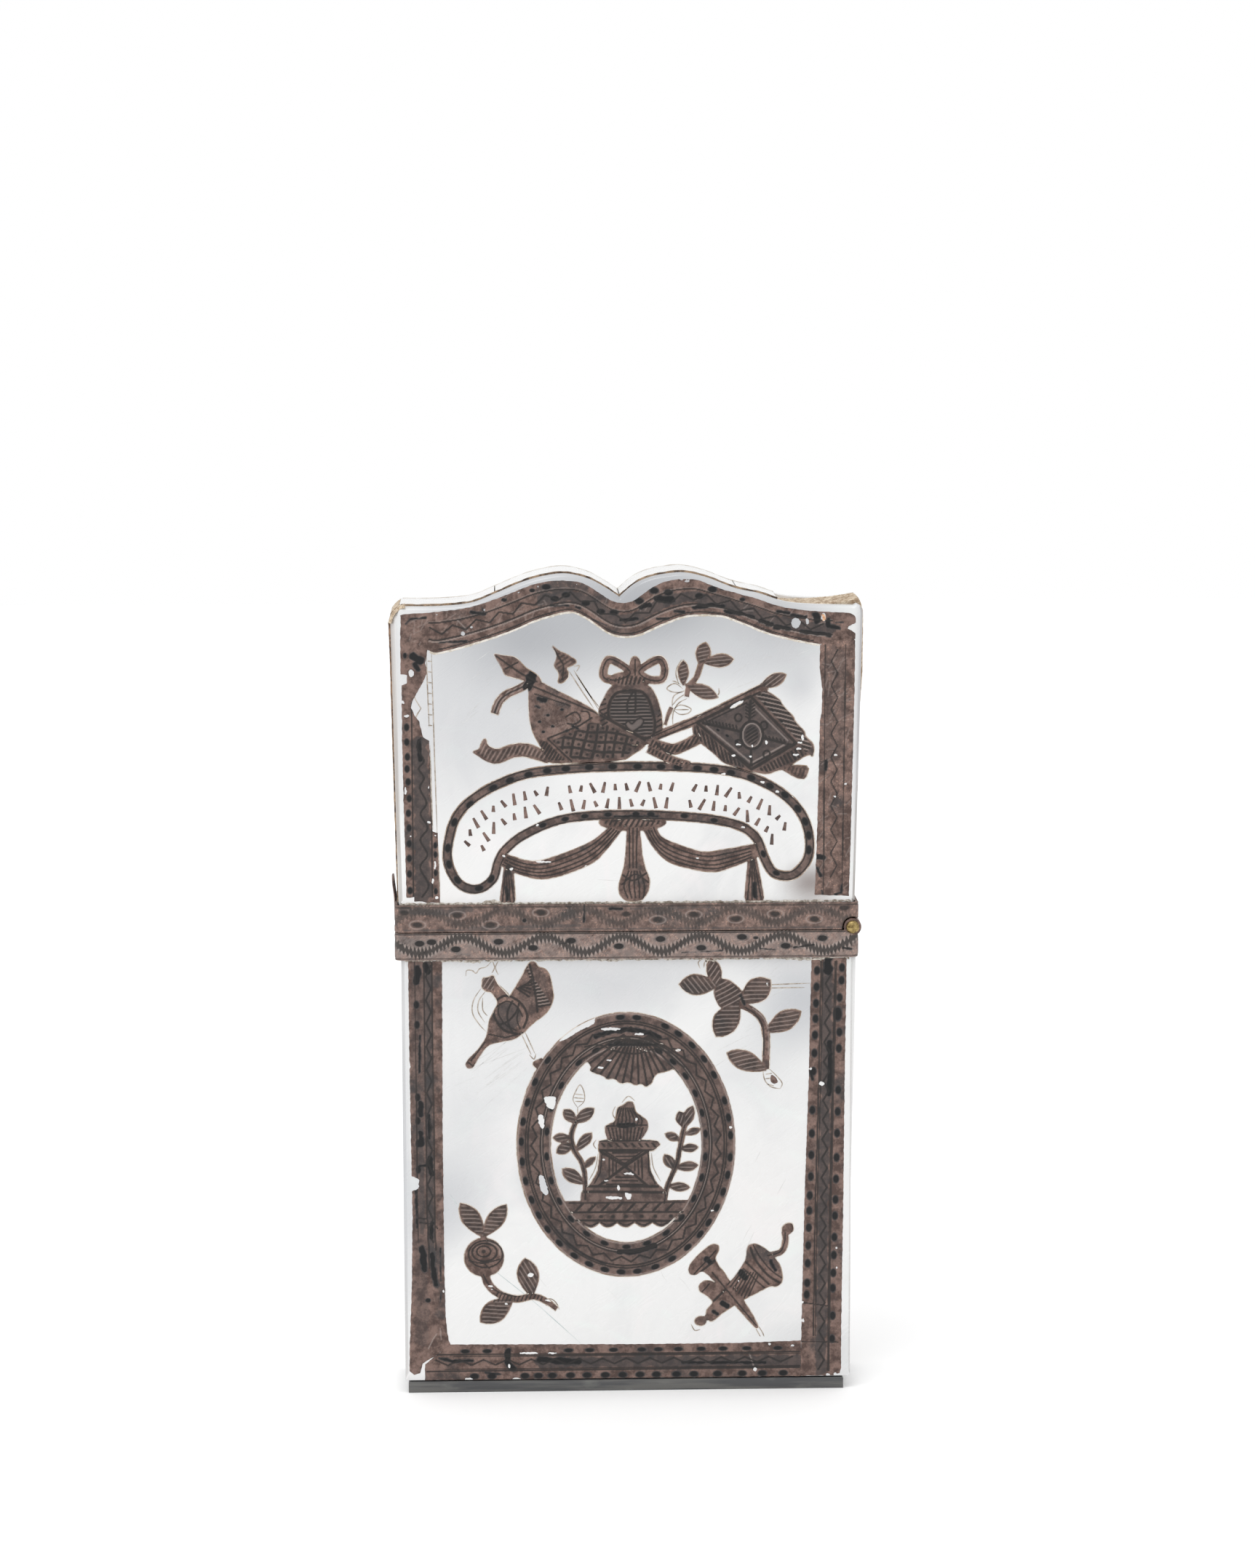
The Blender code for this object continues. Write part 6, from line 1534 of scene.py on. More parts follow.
LID_RIGHT = [
    (20.25, 54.9), (23.95, 54.75), (24.1, 60), (24.2, 65), (24.35, 72), (24.45, 77), (24.5, 82.4),
    (23.7, 83.5), (22.5, 82.9), (20.75, 81.95), (20.7, 79.5), (21, 77.2), (20.95, 75), (20.75, 73.5),
    (20.6, 66), (20.5, 62), (20.35, 57)]
lid_right_marks = [
    line(zigzag([(22.3, 81.5), (22.3, 55.5)], 2.6, 0.7), 0.1), line([(21.3, 82), (21.2, 55)], 0.08),
    line([(23.5, 82), (23.2, 55)], 0.08), blot([(21.45, 69.4), (21.4, 68.5)], 0.55),
    blot([(20.3, 59.1), (21.2, 59)], 0.7), blot([(20.5, 57.8), (20.9, 57)], 0.45),
    blot([(22.5, 54.95), (23.1, 55.1), (23.2, 56)], 0.35), blot([(21, 55.4), (21.1, 55)], 0.3),
    spots([(23.2, 83)], 0.2, 0.2)]
lid_right_marks += [
    *fine_rubs(45, (20.8, 55.5), (24.2, 82)), blot([(22.3, 80.5), (22.3, 70.5)], 2.6, "faint")]
inlay("lid_right", "lid", [cornered(LID_RIGHT)],
      [oval(22.45, 70.1, 0.18, 0.09), oval(23.6, 66.95, 0.14, 0.09), oval(22.4, 65.6, 0.14, 0.1),
       oval(24.0, 69.9, 0.06, 0.06)],
      lid_right_marks, **BORDER, look=rubbed_silver)

# Trophy on the lid
# An oval shield hangs from a bow between two crossed flags with their staffs, ribbons and a leafy sprig.
# The left flag is part stippled and part a lozenge lattice; the right one bears a diamond round an oval.
shield = softened([
    (-1.9, 77.4), (-2.9, 75.5), (-3, 74.6), (-2.6, 73), (-1, 71.8), (1, 71.3), (2.8, 71.5), (3.76, 72.6),
    (3.9, 73.7), (3.55, 75.6), (2.8, 77.4), (1.6, 78.2), (-0.8, 78.2)])
shield_field = softened([
    (-1.07, 77), (-1.7, 76.2), (-1.96, 75.3), (-1.9, 74.1), (0.3, 72.9), (1.76, 72), (2.9, 72.2),
    (3.13, 73.7), (2.5, 76.1), (1.76, 77.1), (0.4, 77.25)])
left_flag = [
    (-10.6, 79.2), (-9.9, 78.6), (-7, 77), (-3.4, 75.2), (-2.4, 73.6), (2.2, 72.1), (1.9, 71), (0.7, 70.35),
    (-0.2, 69.7), (-2.5, 69.5), (-5.5, 69.45), (-8.3, 69.4), (-8.7, 70.3), (-9.4, 71.6), (-10, 72.7),
    (-10.35, 74), (-10.45, 75.5), (-10.4, 77.2), (-10.8, 78)]
right_flag = [
    (7.1, 74.1), (11, 75.9), (14.7, 77.3), (15.1, 77.05), (16.5, 76.1), (16.6, 75.7), (17, 75.2),
    (17.9, 74.3), (18, 73.9), (18.3, 73.5), (19.1, 72.65), (19.2, 72.1), (20, 71.4), (20.16, 70.6),
    (19.97, 69.9), (19.7, 70.2), (19.1, 70), (17.9, 69.2), (17.2, 68.75), (16.1, 68.4), (15.2, 68.05),
    (13.6, 68.3), (12.3, 68.7), (10.4, 69.3), (9.6, 70.1), (8.6, 71), (7.85, 71.5), (7.1, 72.4)]
flag_tail = [
    (16.3, 69), (16.9, 69), (18.2, 69), (19.6, 68.9), (19.25, 67.5), (18.3, 67.6), (17.3, 68.2),
    (16.6, 68.6)]
left_staff_head = [
    (-14.25, 81.3), (-13.6, 80.3), (-13.2, 79.6), (-13, 79), (-12.2, 78.7), (-11.2, 78.5), (-10.3, 77.9),
    (-9.7, 77.7), (-9, 78.3), (-9.6, 79), (-10.8, 79.7), (-11.8, 80.9), (-13, 81)]
bow_left = [(0.4, 79.1), (-0.9, 80.2), (-1.9, 80.5), (-2.4, 79.6), (-2.3, 78.6), (-1, 78.4)]
bow_right = [(1.4, 79.2), (2.5, 80.1), (3.6, 80.5), (4.1, 79.6), (3.8, 78.4), (2.4, 78.4)]
upper_ribbon = [(-10.2, 78.2), (-11.4, 77.5), (-12.7, 76.9), (-13.6, 76.1), (-14.1, 74.8)]
lower_ribbon = [
    (-16.54, 70.7), (-15.75, 70.95), (-15.5, 71.75), (-15.1, 72.2), (-14.85, 71.3), (-13.85, 70.9),
    (-12.67, 71.36), (-11.5, 71.6), (-10.3, 71.5), (-9.3, 71), (-8.4, 70.6), (-8.3, 69.3), (-9.6, 69.8),
    (-11, 70.2), (-12.2, 70.07), (-13.4, 69.5), (-14.3, 69.37), (-15.25, 69.8), (-15.96, 70.3)]
wide_ribbon = [(2.5, 71.6), (3.6, 71.15), (5, 70.85), (6.4, 71.3), (7.9, 72.1)]
low_ribbon = [(2.3, 70.9), (3.9, 70.1), (5.3, 69.5), (6.7, 69.1)]
sprig_stem = [(6.45, 76.5), (6.7, 77.6), (7.5, 78.6), (8.1, 80.4)]
stem_scrap = [(4.85, 75.35), (4.5, 74.6), (4.15, 73.5)]
sprig = [leaf((7.9, 79.9), (8.5, 82.3), 1.5), leaf((8.2, 80.2), (11.5, 80.5), 1.35),
         leaf((6.1, 77.7), (6.1, 80.4), 1.1), leaf((6.3, 77.8), (9.8, 76.4), 1.35),
         leaf((14.3, 77.5), (17.1, 78.8), 1.3)]
trophy_shapes = [
    shield, oval(0.4, 78.3, 2.2, 0.95), oval(0.95, 79.8, 0.6, 1.05), loop_ribbon(bow_left, 0.78),
    loop_ribbon(bow_right, 0.78), softened(left_flag), softened(left_staff_head), ribbon(upper_ribbon, 0.8),
    softened(lower_ribbon), ribbon(wide_ribbon, 1.15), ribbon(low_ribbon, 0.85),
    ribbon([(1.6, 71.7), (8.3, 74.3), (15, 77.6)], 0.9, 0.9), softened(right_flag), softened(flag_tail, 1),
    ribbon(sprig_stem, 0.5), ribbon(stem_scrap, 0.42, 0.3), *sprig]
trophy_losses = [
    softened([(10.9, 75.2), (11.9, 75.9), (12.6, 76.1), (12.4, 75.7), (11.5, 75.2)]),
    oval(12.0, 71.3, 0.28, 0.1), oval(15.0, 71.5, 0.16, 0.22), oval(13.3, 70.0, 0.16, 0.1),
    oval(13.5, 71.1, 0.08, 0.16), oval(11.5, 70.1, 0.22, 0.1), oval(18.9, 72.0, 0.14, 0.3),
    oval(18.6, 71.45, 0.26, 0.12), oval(18.5, 70.8, 0.3, 0.1), oval(18.2, 70.15, 0.34, 0.12)]
fringe = cornered([(13.6, 76.6), (14.8, 77.2), (16.6, 76.1), (20.1, 71), (19.2, 70.1), (18.5, 71.4)])
diamond = [(7.6, 73.7), (13.3, 76.5), (18.2, 71.4), (13.4, 68.6)]
lattice = cornered([
    (-8.3, 71.9), (-5, 73.3), (-4, 73.95), (-2.2, 73.8), (0.3, 72.5), (1.9, 71.6), (0.9, 70.6),
    (-0.2, 69.8), (-5.8, 69.55)])
LATTICE = (78.5, 1.1), (-6, 1)
turns = np.radians([angle for angle, _ in LATTICE])
cell_middles = [
    [(i + 0.5) * LATTICE[0][1], (j + 0.5) * LATTICE[1][1]] for i in range(-12, 30) for j in range(55, 90)]
lattice_dots = np.linalg.solve(np.column_stack([-np.sin(turns), np.cos(turns)]), np.array(cell_middles).T).T
lattice_dots = lattice_dots[depth_in(lattice, lattice_dots[:, 0], lattice_dots[:, 1]) > 0.25]
strip = cornered([(-9.5, 72), (-8.5, 72), (-6, 69.5), (-8.4, 69.5), (-9.4, 70.8)])
upper_left = cornered([
    (-10.4, 77.6), (-3.4, 75.1), (-2.8, 74), (-5, 73.3), (-8.3, 72), (-9.5, 72), (-10.3, 74)])
heart = cornered(curve(
    [(0.66, 72.8), (0.1, 73.2), (-0.1, 73.6), (0.2, 73.9), (0.6, 73.65), (1.15, 74.1), (1.6, 74.2),
     (1.85, 73.85), (1.5, 73.3)],
    True))


def spared(mark, shape):
    """A mark that is left off inside a shape."""
    kind, low, high, value = mark
    return kind, low, high, lambda x, z: value(x, z) * np.clip(0.5 - depth_in(shape, x, z) / 0.12, 0, 1)


trophy_marks = [
    ring_line(shield_field[0], 0.3), spared(hatch(shield_field, 0, 0.37, 0.19), heart),
    spared(hatch(shield_field, 0, 0.37, 0.1, "worn", 0.2, 0.185), heart), wash(shield, "faint"),
    ring_line(heart[0], 0.14), wash(heart, "worn"), wash(shield_field, "track"),
    blot([(0.45, 74.7), (0.5, 76.7)], 0.7, "track"),
    line([(-3.4, 75.3), (-2, 74.3), (0.3, 72.8), (1.9, 71.9)], 0.16),
    curved([(0.2, 74.7), (0.1, 75.8), (0.9, 77.2), (1, 75.7), (0.9, 74.7)], 0.22),
    *[line([(3.05 + 0.12 * n, 72.6 + 0.6 * n), (3.75, 72.9 + 0.6 * n)], 0.16) for n in range(7)],
    *[line([(-2.7 - 0.04 * n, 73.4 + 0.55 * n), (-2.05 - 0.04 * n, 73.8 + 0.5 * n)], 0.16)
      for n in range(6)],
    hatch(oval(0.4, 78.3, 2.0, 0.7), 75, 0.42, 0.2), line([(0.95, 78.9), (0.95, 80.5)], 0.14),
    ring_line(loop_ribbon(bow_left, 0.1)[0], 0.12), ring_line(loop_ribbon(bow_right, 0.1)[0], 0.12),
    line([(-13.9, 81), (-11.4, 79.2), (-9.6, 78.2)], 0.18), line([(-12.9, 79.6), (-11.6, 80.3)], 0.16),
    blot([(-10, 78.9), (-10.7, 77.6)], 1.1), blot([(-9.4, 76.4), (-8.7, 76.2)], 0.6),
    blot([(-9.7, 75.6), (-9.3, 75.4)], 0.4), blot([(-5.8, 73.4), (-5.2, 73.1)], 0.4),
    curved([(-6.5, 74.4), (-5.4, 74.9), (-4.9, 74.1), (-5.6, 73.6), (-6.3, 73.7)], 0.16),
    curved([(-4.8, 75), (-4.1, 74.9), (-3.9, 74.3)], 0.14),
    line([(-10.2, 77.8), (-3.4, 74.9), (2, 71.8)], 0.18), line([(-9.8, 76.9), (-6, 75.6)], 0.12),
    spots([(-8.4, 74.6), (-6.9, 75.2), (-7.9, 73.4), (-9.3, 73.9), (-6.4, 72.9), (-8.9, 72.8)], 0.2, 0.14),
    hatch(lattice, LATTICE[0][0], LATTICE[0][1], 0.3), hatch(lattice, LATTICE[1][0], LATTICE[1][1], 0.28),
    hatch(strip, 60, 0.34, 0.24), line([(-8.4, 72), (-5.9, 69.6)], 0.16),
    spots(lattice_dots, 0.17, 0.15, 0, "cut"), wash(lattice, "faint"), stipple(upper_left, 0.2),
    stipple(cornered([(-8.6, 73.6), (-4, 75.2), (-4.6, 73.4), (-7.9, 71.9)]), 0.55),
    line([(-8.4, 72.1), (-5, 73.45), (-3.7, 74.3)], 0.18),
    hatch(ribbon(upper_ribbon, 0.8), 60, 0.45, 0.2, "crest", 0.1), curved(upper_ribbon, 0.14),
    hatch(softened(lower_ribbon), 62, 0.44, 0.2, "cut_soft", 0.16),
    hatch(softened(lower_ribbon), 62, 0.44, 0.1, "worn", 0.2, 0.22),
    hatch(ribbon(wide_ribbon, 1.05), 58, 0.4, 0.22, "cut", 0.08),
    hatch(ribbon(low_ribbon, 0.8), 62, 0.42, 0.2, "cut", 0.08), ring_line(np.array(diamond), 0.34),
    wash(softened(right_flag), "faint"), wash(cornered(diamond), "track"),
    line([(8.6, 73.3), (13.4, 69.3), (17.2, 71.4)], 0.14, "crest"),
    line([(13.7, 75.3), (17.3, 71.7)], 0.1, "crest"), line([(8.6, 73.75), (12.9, 75.8)], 0.12),
    line([(8.3, 73.1), (13.3, 69), (17.6, 71.3)], 0.12), oval_line(13.45, 72.3, 1.2, 1.5, 0.28),
    oval_line(13.45, 72.3, 0.98, 1.26, 0.12, "crest"), hatch(oval(13.45, 72.3, 0.9, 1.2), 35, 0.34, 0.2),
    *[line([(8.3 + 0.36 * n, 73.75 - 0.1 * n), (8.15 + 0.36 * n, 74.05 - 0.07 * n)], 0.16)
      for n in range(11)],
    line([(8.2, 73.65), (12.2, 72.7)], 0.3), line([(14.7, 72), (17.7, 71.2)], 0.28),
    line([(13.3, 76), (13.2, 73.9)], 0.3), line([(13.4, 69), (13.35, 70.8)], 0.26),
    *[line([(13.3, 75.6 - 0.36 * n), (13.75, 75.9 - 0.36 * n)], 0.14) for n in range(5)],
    *[line([(13.2, 75.5 - 0.36 * n), (12.8, 75.75 - 0.36 * n)], 0.14) for n in range(5)],
    *[line([(15.1 + 0.4 * n, 71.9 - 0.1 * n), (14.9 + 0.4 * n, 72.25 - 0.1 * n)], 0.14) for n in range(6)],
    *[oval_line(*place, 0.36, 0.42, 0.18)
      for place in ((12, 74.2), (14.75, 73.35), (15.05, 70.2), (12.05, 71.4))],
    hatch(fringe, -14, 0.44, 0.26, "cut", 0.08), hatch(fringe, -14, 0.44, 0.12, "crest", 0.1, 0.22),
    hatch(cornered([
              (7.2, 73.6), (7.6, 73.5), (13.1, 68.7), (12.3, 68.75), (10.4, 69.4), (7.85, 71.6),
              (7.1, 72.5)]),
          -76, 0.38, 0.22, "cut", 0.06),
    hatch(cornered([(13.7, 68.5), (18.3, 71.1), (19.6, 70.2), (17.9, 69.3), (15.2, 68.15)]), -62, 0.42,
          0.24, "cut", 0.06),
    line([(3.4, 72), (8.3, 74.05), (14.3, 76.95)], 0.16), line([(3, 72.3), (8.5, 74.7), (14.4, 77.6)], 0.1),
    curved([(3.2, 71.5), (4.4, 70.5), (5.4, 70.1)], 0.3),
    hatch(softened(flag_tail, 1), 70, 0.42, 0.2, "cut_soft"),
    spots([(8.8 + n, 73.5 - 0.62 * n) for n in range(4)], 0.22, 0.14, -30),
    spots([(15.6, 75), (16.6, 73.8), (14.9, 75.7)], 0.25, 0.14, -50)]
for shape, angle in zip(sprig, (12, 8, 20, 0, 40)):
    trophy_marks += ribs(shape, angle, 0.4, 0.06)
outlines["lid"] += trophy_shapes
inlay("trophy", "lid", trophy_shapes, trophy_losses, trophy_marks)

# A barbed arrow head lies left of the shield; its shaft is only scratched into the shell.
arrow = [(-8, 82.15), (-7.2, 81.5), (-6.3, 81.1), (-5.4, 80.5), (-5.35, 80.2), (-5.9, 79.9), (-6.4, 79.7),
         (-6.2, 79.1), (-6.2, 78.6), (-6.9, 78.05), (-7.3, 78.1), (-7.15, 78.8), (-7.25, 79.3),
         (-7.75, 79.9), (-7.5, 80.5), (-7.4, 81.1)]
outlines["lid"].append(softened(arrow, 1))
inlay("arrow", "lid", [softened(arrow, 1)], [],
      [line([(-7.7, 81.7), (-6.7, 80), (-6.8, 78.4)], 0.16),
       hatch(cornered(arrow), 30, 0.42, 0.18, "cut_soft", 0.1)],
      cell=0.08, wobble=0.015)

# Banner, swags and tassel
# One silver ribbon runs round the banner's edge, beaded with dark ovals and broken in places. Two swags
# and a tassel hang below it. The banner's field carries two rows of short strokes, which aren't letters.
BANNER = [
    (-13.8, 58.8), (-14.4, 56.9), (-16, 55.8), (-17.9, 56.3), (-19.1, 58.3), (-19.2, 60.5), (-18.4, 63.4),
    (-16.6, 65.5), (-13.5, 67.3), (-10, 68.4), (-5, 68.85), (0, 69), (5, 68.95), (9.5, 68.65), (13, 67.9),
    (16.4, 66.2), (18.7, 63.9), (19.65, 61.3), (19.45, 58.8), (17.9, 57.1), (15.9, 57.3), (14.8, 59),
    (13.9, 61.2), (11.8, 62.6), (7.5, 63.4), (0, 63.8), (-6.5, 63.4), (-10.6, 61.9), (-12.8, 60.3)]
banner_ring = loop_ribbon(BANNER, 0.98)
left_swag_top = [(-1.4, 62.9), (-4, 60.8), (-8, 59.2), (-10.5, 58.8), (-13.2, 59.7)]
left_swag_foot = [(-0.2, 62.5), (-2, 60.2), (-4, 58.4), (-8.5, 56.9), (-12, 57.5), (-13.9, 58.6)]
right_swag_top = [(3.1, 62.8), (4, 61.2), (8, 59.7), (10.5, 59.9), (13.9, 60.5)]
right_swag_foot = [(1.5, 62.6), (3, 60), (5, 58.4), (9, 57.5), (11.4, 58), (14.3, 59.2)]
tassel = [
    (0, 62.7), (-0.05, 60.6), (-0.1, 59.5), (-0.4, 57.6), (-0.9, 56), (-0.8, 55.2), (-0.5, 54.7),
    (0.2, 54.35), (1.6, 54.4), (2.3, 55.3), (2.5, 56.7), (2, 57.9), (1.6, 59.5), (1.4, 62.7)]
left_tail = [(-13.1, 59), (-13.7, 54.3), (-12, 54.3), (-12.2, 58.2)]
right_tail = [(13.1, 59.6), (12.65, 54.3), (14.85, 54.3), (14, 58.9)]
UPPER_BEADS = [
    (-16.8, 65), (-14.3, 66.8), (-12.5, 67.6), (-10.5, 68.2), (-8.5, 68.6), (-6.5, 68.8), (-4, 68.95),
    (-1.5, 69), (1.2, 69), (3.7, 68.95), (5.5, 68.9), (7.6, 68.75), (9.4, 68.6), (11.2, 68.25),
    (13.4, 67.7), (15.4, 66.8), (17, 65.8), (18.4, 64.3), (19.2, 62.9), (19.6, 61.4), (19.6, 59.8),
    (-18.5, 63.1), (-19.2, 60.3), (-19.1, 58.5), (-18.2, 56.8), (-15.9, 55.9), (-14.6, 56.9)]
LOWER_BEADS = [
    (-9, 62.7), (-6.6, 63.35), (-4.5, 63.65), (-2, 63.8), (1, 63.85), (2.6, 63.8), (6.2, 63.6), (9.4, 63.1),
    (14.7, 59.4), (16.1, 57.3)]


def folds(top, foot):
    """Four fold lines of a hanging cloth, at shares of the way from its upper edge to its lower one."""
    steps = np.linspace(0, 1, 30)
    upper, lower = (
        np.column_stack([np.interp(steps, np.linspace(0, 1, len(edge)), edge[:, axis]) for axis in (0, 1)])
        for edge in (curve(top), curve(foot)))
    return [line((upper + (lower - upper) * share)[2:-2], 0.14) for share in (0.22, 0.45, 0.66, 0.85)]


def beads_along(places, path, half_along, half_across):
    """Oval beads, each turned with the path that it lies on."""
    marks = []
    for place in places:
        nearest = np.argmin(np.hypot(*(path - place).T))
        step = path[(nearest + 1) % len(path)] - path[nearest - 1]
        marks.append(spots([place], half_along, half_across, math.degrees(math.atan2(step[1], step[0]))))
    return marks


banner_middle = curve(BANNER, closed=True)
dark_stretches = [
    [(-12.6, 67.6), (-10, 68.35), (-7.2, 68.75)], [(-6.2, 68.85), (-2.4, 69)],
    [(13.2, 67.85), (16.4, 66.2), (18.4, 64.2)]]
banner_marks = [
    *[ring_line(moved_in(anticlockwise(banner_middle), side), 0.11) for side in (-0.36, 0.36)],
    *beads_along(UPPER_BEADS, banner_middle, 0.5, 0.33),
    *beads_along(LOWER_BEADS, banner_middle, 0.42, 0.26), blot(curve(BANNER), 0.9, "faint"),
    *[blot(banner_part, 0.5, "track") for banner_part in dark_stretches],
    *folds(left_swag_top, left_swag_foot), *folds(right_swag_top, right_swag_foot),
    curved([(-1.5, 63.1), (0.6, 63.4), (3, 63)], 0.2),
    hatch(oval(0.65, 62.95, 3.4, 0.75, 30), 62, 0.5, 0.22), blot([(-1.3, 63.6), (3.3, 63.6)], 0.4),
    *[line([(x, 62.3), (x * 0.9 + 0.05, 58.0)], 0.13) for x in (0.3, 0.7, 1.1)],
    *[curved([(0.2 + 0.3 * n, 57.6), (-0.3 + 0.55 * n, 56.0), (0.1 + 0.42 * n, 54.7)], 0.14)
      for n in range(5)],
    curved([(-0.4, 57.2), (0.7, 56.6), (2.1, 57.4)], 0.2),
    curved([(-0.5, 56.2), (0.9, 57.3), (2.3, 56.4)], 0.13),
    *[line([(-12.95 + 0.12 * n, 58.3), (-13.4 + 0.42 * n, 54.4)], 0.13) for n in range(4)],
    *[line([(13.4 + 0.1 * n, 58.8), (13.0 + 0.5 * n, 54.4)], 0.13) for n in range(4)],
    blot([(-13, 56), (-12.8, 54.6)], 0.5), blot([(13.8, 56.2), (13.8, 54.8)], 0.6)]
banner_losses = [
    oval(14.6, 67.2, 0.25, 0.14), oval(16.2, 66.15, 0.2, 0.14), oval(18.0, 65.7, 0.2, 0.2),
    oval(10.4, 68.1, 0.22, 0.1), oval(12.5, 62.3, 0.22, 0.12), oval(-9.6, 62.7, 0.14, 0.1),
    oval(-8.95, 58.7, 0.85, 0.1), oval(-4.3, 58.2, 0.2, 0.12), oval(-12.4, 57.95, 0.2, 0.14),
    oval(-13.2, 59.4, 0.16, 0.12), oval(7.6, 59.0, 0.2, 0.1)]
banner_shapes = [
    banner_ring, oval(0.65, 62.95, 3.6, 0.95), between(left_swag_top, left_swag_foot),
    between(right_swag_top, right_swag_foot), softened(tassel), softened(left_tail, 1, 0.08),
    softened(right_tail, 1, 0.08)]
outlines["lid"] += banner_shapes
inlay("banner", "lid", banner_shapes, banner_losses, banner_marks)

banner_top = curve([
    (-18.6, 60), (-17.8, 62.8), (-16, 64.9), (-13, 66.5), (-9.5, 67.5), (-4.8, 67.9), (0, 68.05), (5, 68),
    (9.3, 67.7), (12.7, 66.9), (15.9, 65.3), (18, 63.2), (18.8, 60.6)])
strokes = []
for row, (inset, spacing, longest) in enumerate(((1.25, 1.22, 1.3), (3.0, 1.27, 1.35))):
    row_line = moved_in(np.vstack([banner_top, [(19, 50), (-19, 50)]])[::-1], inset)
    row_line = row_line[row_line[:, 1] > 57.5]
    for number, at in enumerate(np.arange(0.8, far_along(row_line)[-1] - 0.6, spacing)):
        if (number * 7 + row * 3) % 11 == 0:
            continue
        middle = places_at(row_line, at)[0]
        lean = math.radians(90 + 22 * math.sin(2.4 * number + row) - 1.4 * middle[0])
        reach = longest / 2 * (0.75 + 0.25 * math.cos(1.7 * number + row)) * np.array([
            math.cos(lean), math.sin(lean)])
        strokes.append(ribbon([middle - reach, middle, middle + reach], 0.42, 0.26))
relief("banner_strokes", strokes, [], [], 0.06, lambda x, z, height: on_front(x, z, height * 0.7),
       dark_silver, "lid", "tarnished_silver", "banner_inlay", wobble=0.01, depth=0.05)

# Silver on the back of the lid
# The lid's back has the front's three borders again, mirrored and without the breaks, and no picture.
back_marks = [
    line(top_track(0.3), 0.16), line(top_track(0.7), 0.16), line(zigzag(top_track(0.5), 2.6, 0.75), 0.18),
    blot(top_track(0.5, -9, 22), 1.2, "track"), spots(top_track(0.14)[::5], 0.4, 0.22),
    spots(top_track(0.86)[::5], 0.4, 0.22)]
inlay("lid_back_top", "lid", [top_shape], [], back_marks, **BACK)
BACK_LEFT = [(-24.1, 83), (-23.7, 54.3), (-20.15, 54.3), (-20.95, 81.5)]
BACK_RIGHT = [(20.45, 54.3), (24, 54.3), (24.55, 82.6), (23.75, 83.4), (20.75, 81.95)]
for name, border, low_x, high_x in (("left", BACK_LEFT, -21.95, -22.5), ("right", BACK_RIGHT, 22.2, 22.65)):
    middle = np.array([(low_x, 54.6), (high_x, 81.4)])
    inlay(f"lid_back_{name}", "lid", [cornered(border)], [],
          [line(middle - (0.95, 0), 0.16), line(middle + (0.95, 0), 0.16),
           line(zigzag(middle, 2.5, 0.7), 0.18), blot(middle, 1.4, "track"),
           spots([(low_x - 1.35, z) for z in np.arange(56, 80, 2.2)], 0.2, 0.4),
           spots([(high_x + 1.3, z) for z in np.arange(57, 80, 2.2)], 0.2, 0.4)],
          **BACK)

# Shell strips and base plate
# Narrow strips of the same shell close the sides. The base is one plate of grey shell, a little shorter
# than the case on the right, where the case's foot stands over it.
edge_shell = mother_of_pearl("edge_shell", 0.5, 0.25, 0.9)
for name in ("case_left_strip", "case_right_strip", "lid_left_strip", "lid_right_strip"):
    strip_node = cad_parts[name]
    strip_node.data.materials.clear()
    strip_node.data.materials.append(edge_shell)
right_edging = [(24, 22.5), (24.38, 23.5), (24.5, 31), (24.68, 40), (24.78, 48.3), (24, 48.3)]
plate("case_right_edging", right_edging, 4.5, -4.5, 0.06, 0.06, cover_shell, "case", "mother_of_pearl")
BASE_HALF_Y = 5.0
grey_shell = bpy.data.materials.new("grey_shell")
tree, surface = nodes_of(grey_shell)
streaks = noise(tree, place_of(tree, (0.1, 0.6, 1.6)), 1.0, 3.0, 0.5)
cloudy = noise(tree, place_of(tree, (0.35, 0.8, 0.8), move=(5, 2, 1)), 1.0, 3.0, 0.6)
colour = blend_colours(
    tree, ramp(tree, streaks, 0.4, 0.62), (0.060, 0.061, 0.064, 1), (0.116, 0.114, 0.108, 1))
colour = blend_colours(
    tree, times(tree, ramp(tree, cloudy, 0.55, 0.75), 0.4), colour, (0.18, 0.18, 0.165, 1))
tree.links.new(colour, surface.inputs["Base Color"])
tree.links.new(bump(tree, streaks, 0.2, 0.05), surface.inputs["Normal"])
surface.inputs["Roughness"].default_value = 0.38
base_outline = np.array([
    (-24, 0), (23.6, 0), (23.6, 1.1), (23.5, 1.25), (10, 1.24), (-6, 1.25), (-18, 1.24), (-23.9, 1.25),
    (-24, 1.1)])
plate("grey_base", base_outline, BASE_HALF_Y, -BASE_HALF_Y, 0.1, 0.06, grey_shell, "case", "grey_shell",
      "case_base_plate")


# Glue, mastic and dirt
# Brown animal glue has squeezed out of the joints between the plates and the strips, and stands in a thin
# uneven bead along the lid's edge. Tan mastic fills the end of the top where the last strip is lost.
def dry_stuff(name, dark, pale, scale, height, rough=0.75):
    """A dull, crumbly stuff: two colours in uneven patches, and a rough surface."""
    made = bpy.data.materials.new(name)
    tree, surface = nodes_of(made)
    patch = noise(tree, place_of(tree, (scale,) * 3), 1.0, 5.0, 0.7)
    tree.links.new(
        blend_colours(tree, ramp(tree, patch, 0.38, 0.62), dark, pale), surface.inputs["Base Color"])
    tree.links.new(bump(tree, patch, 0.7, height), surface.inputs["Normal"])
    surface.inputs["Roughness"].default_value = rough
    return made


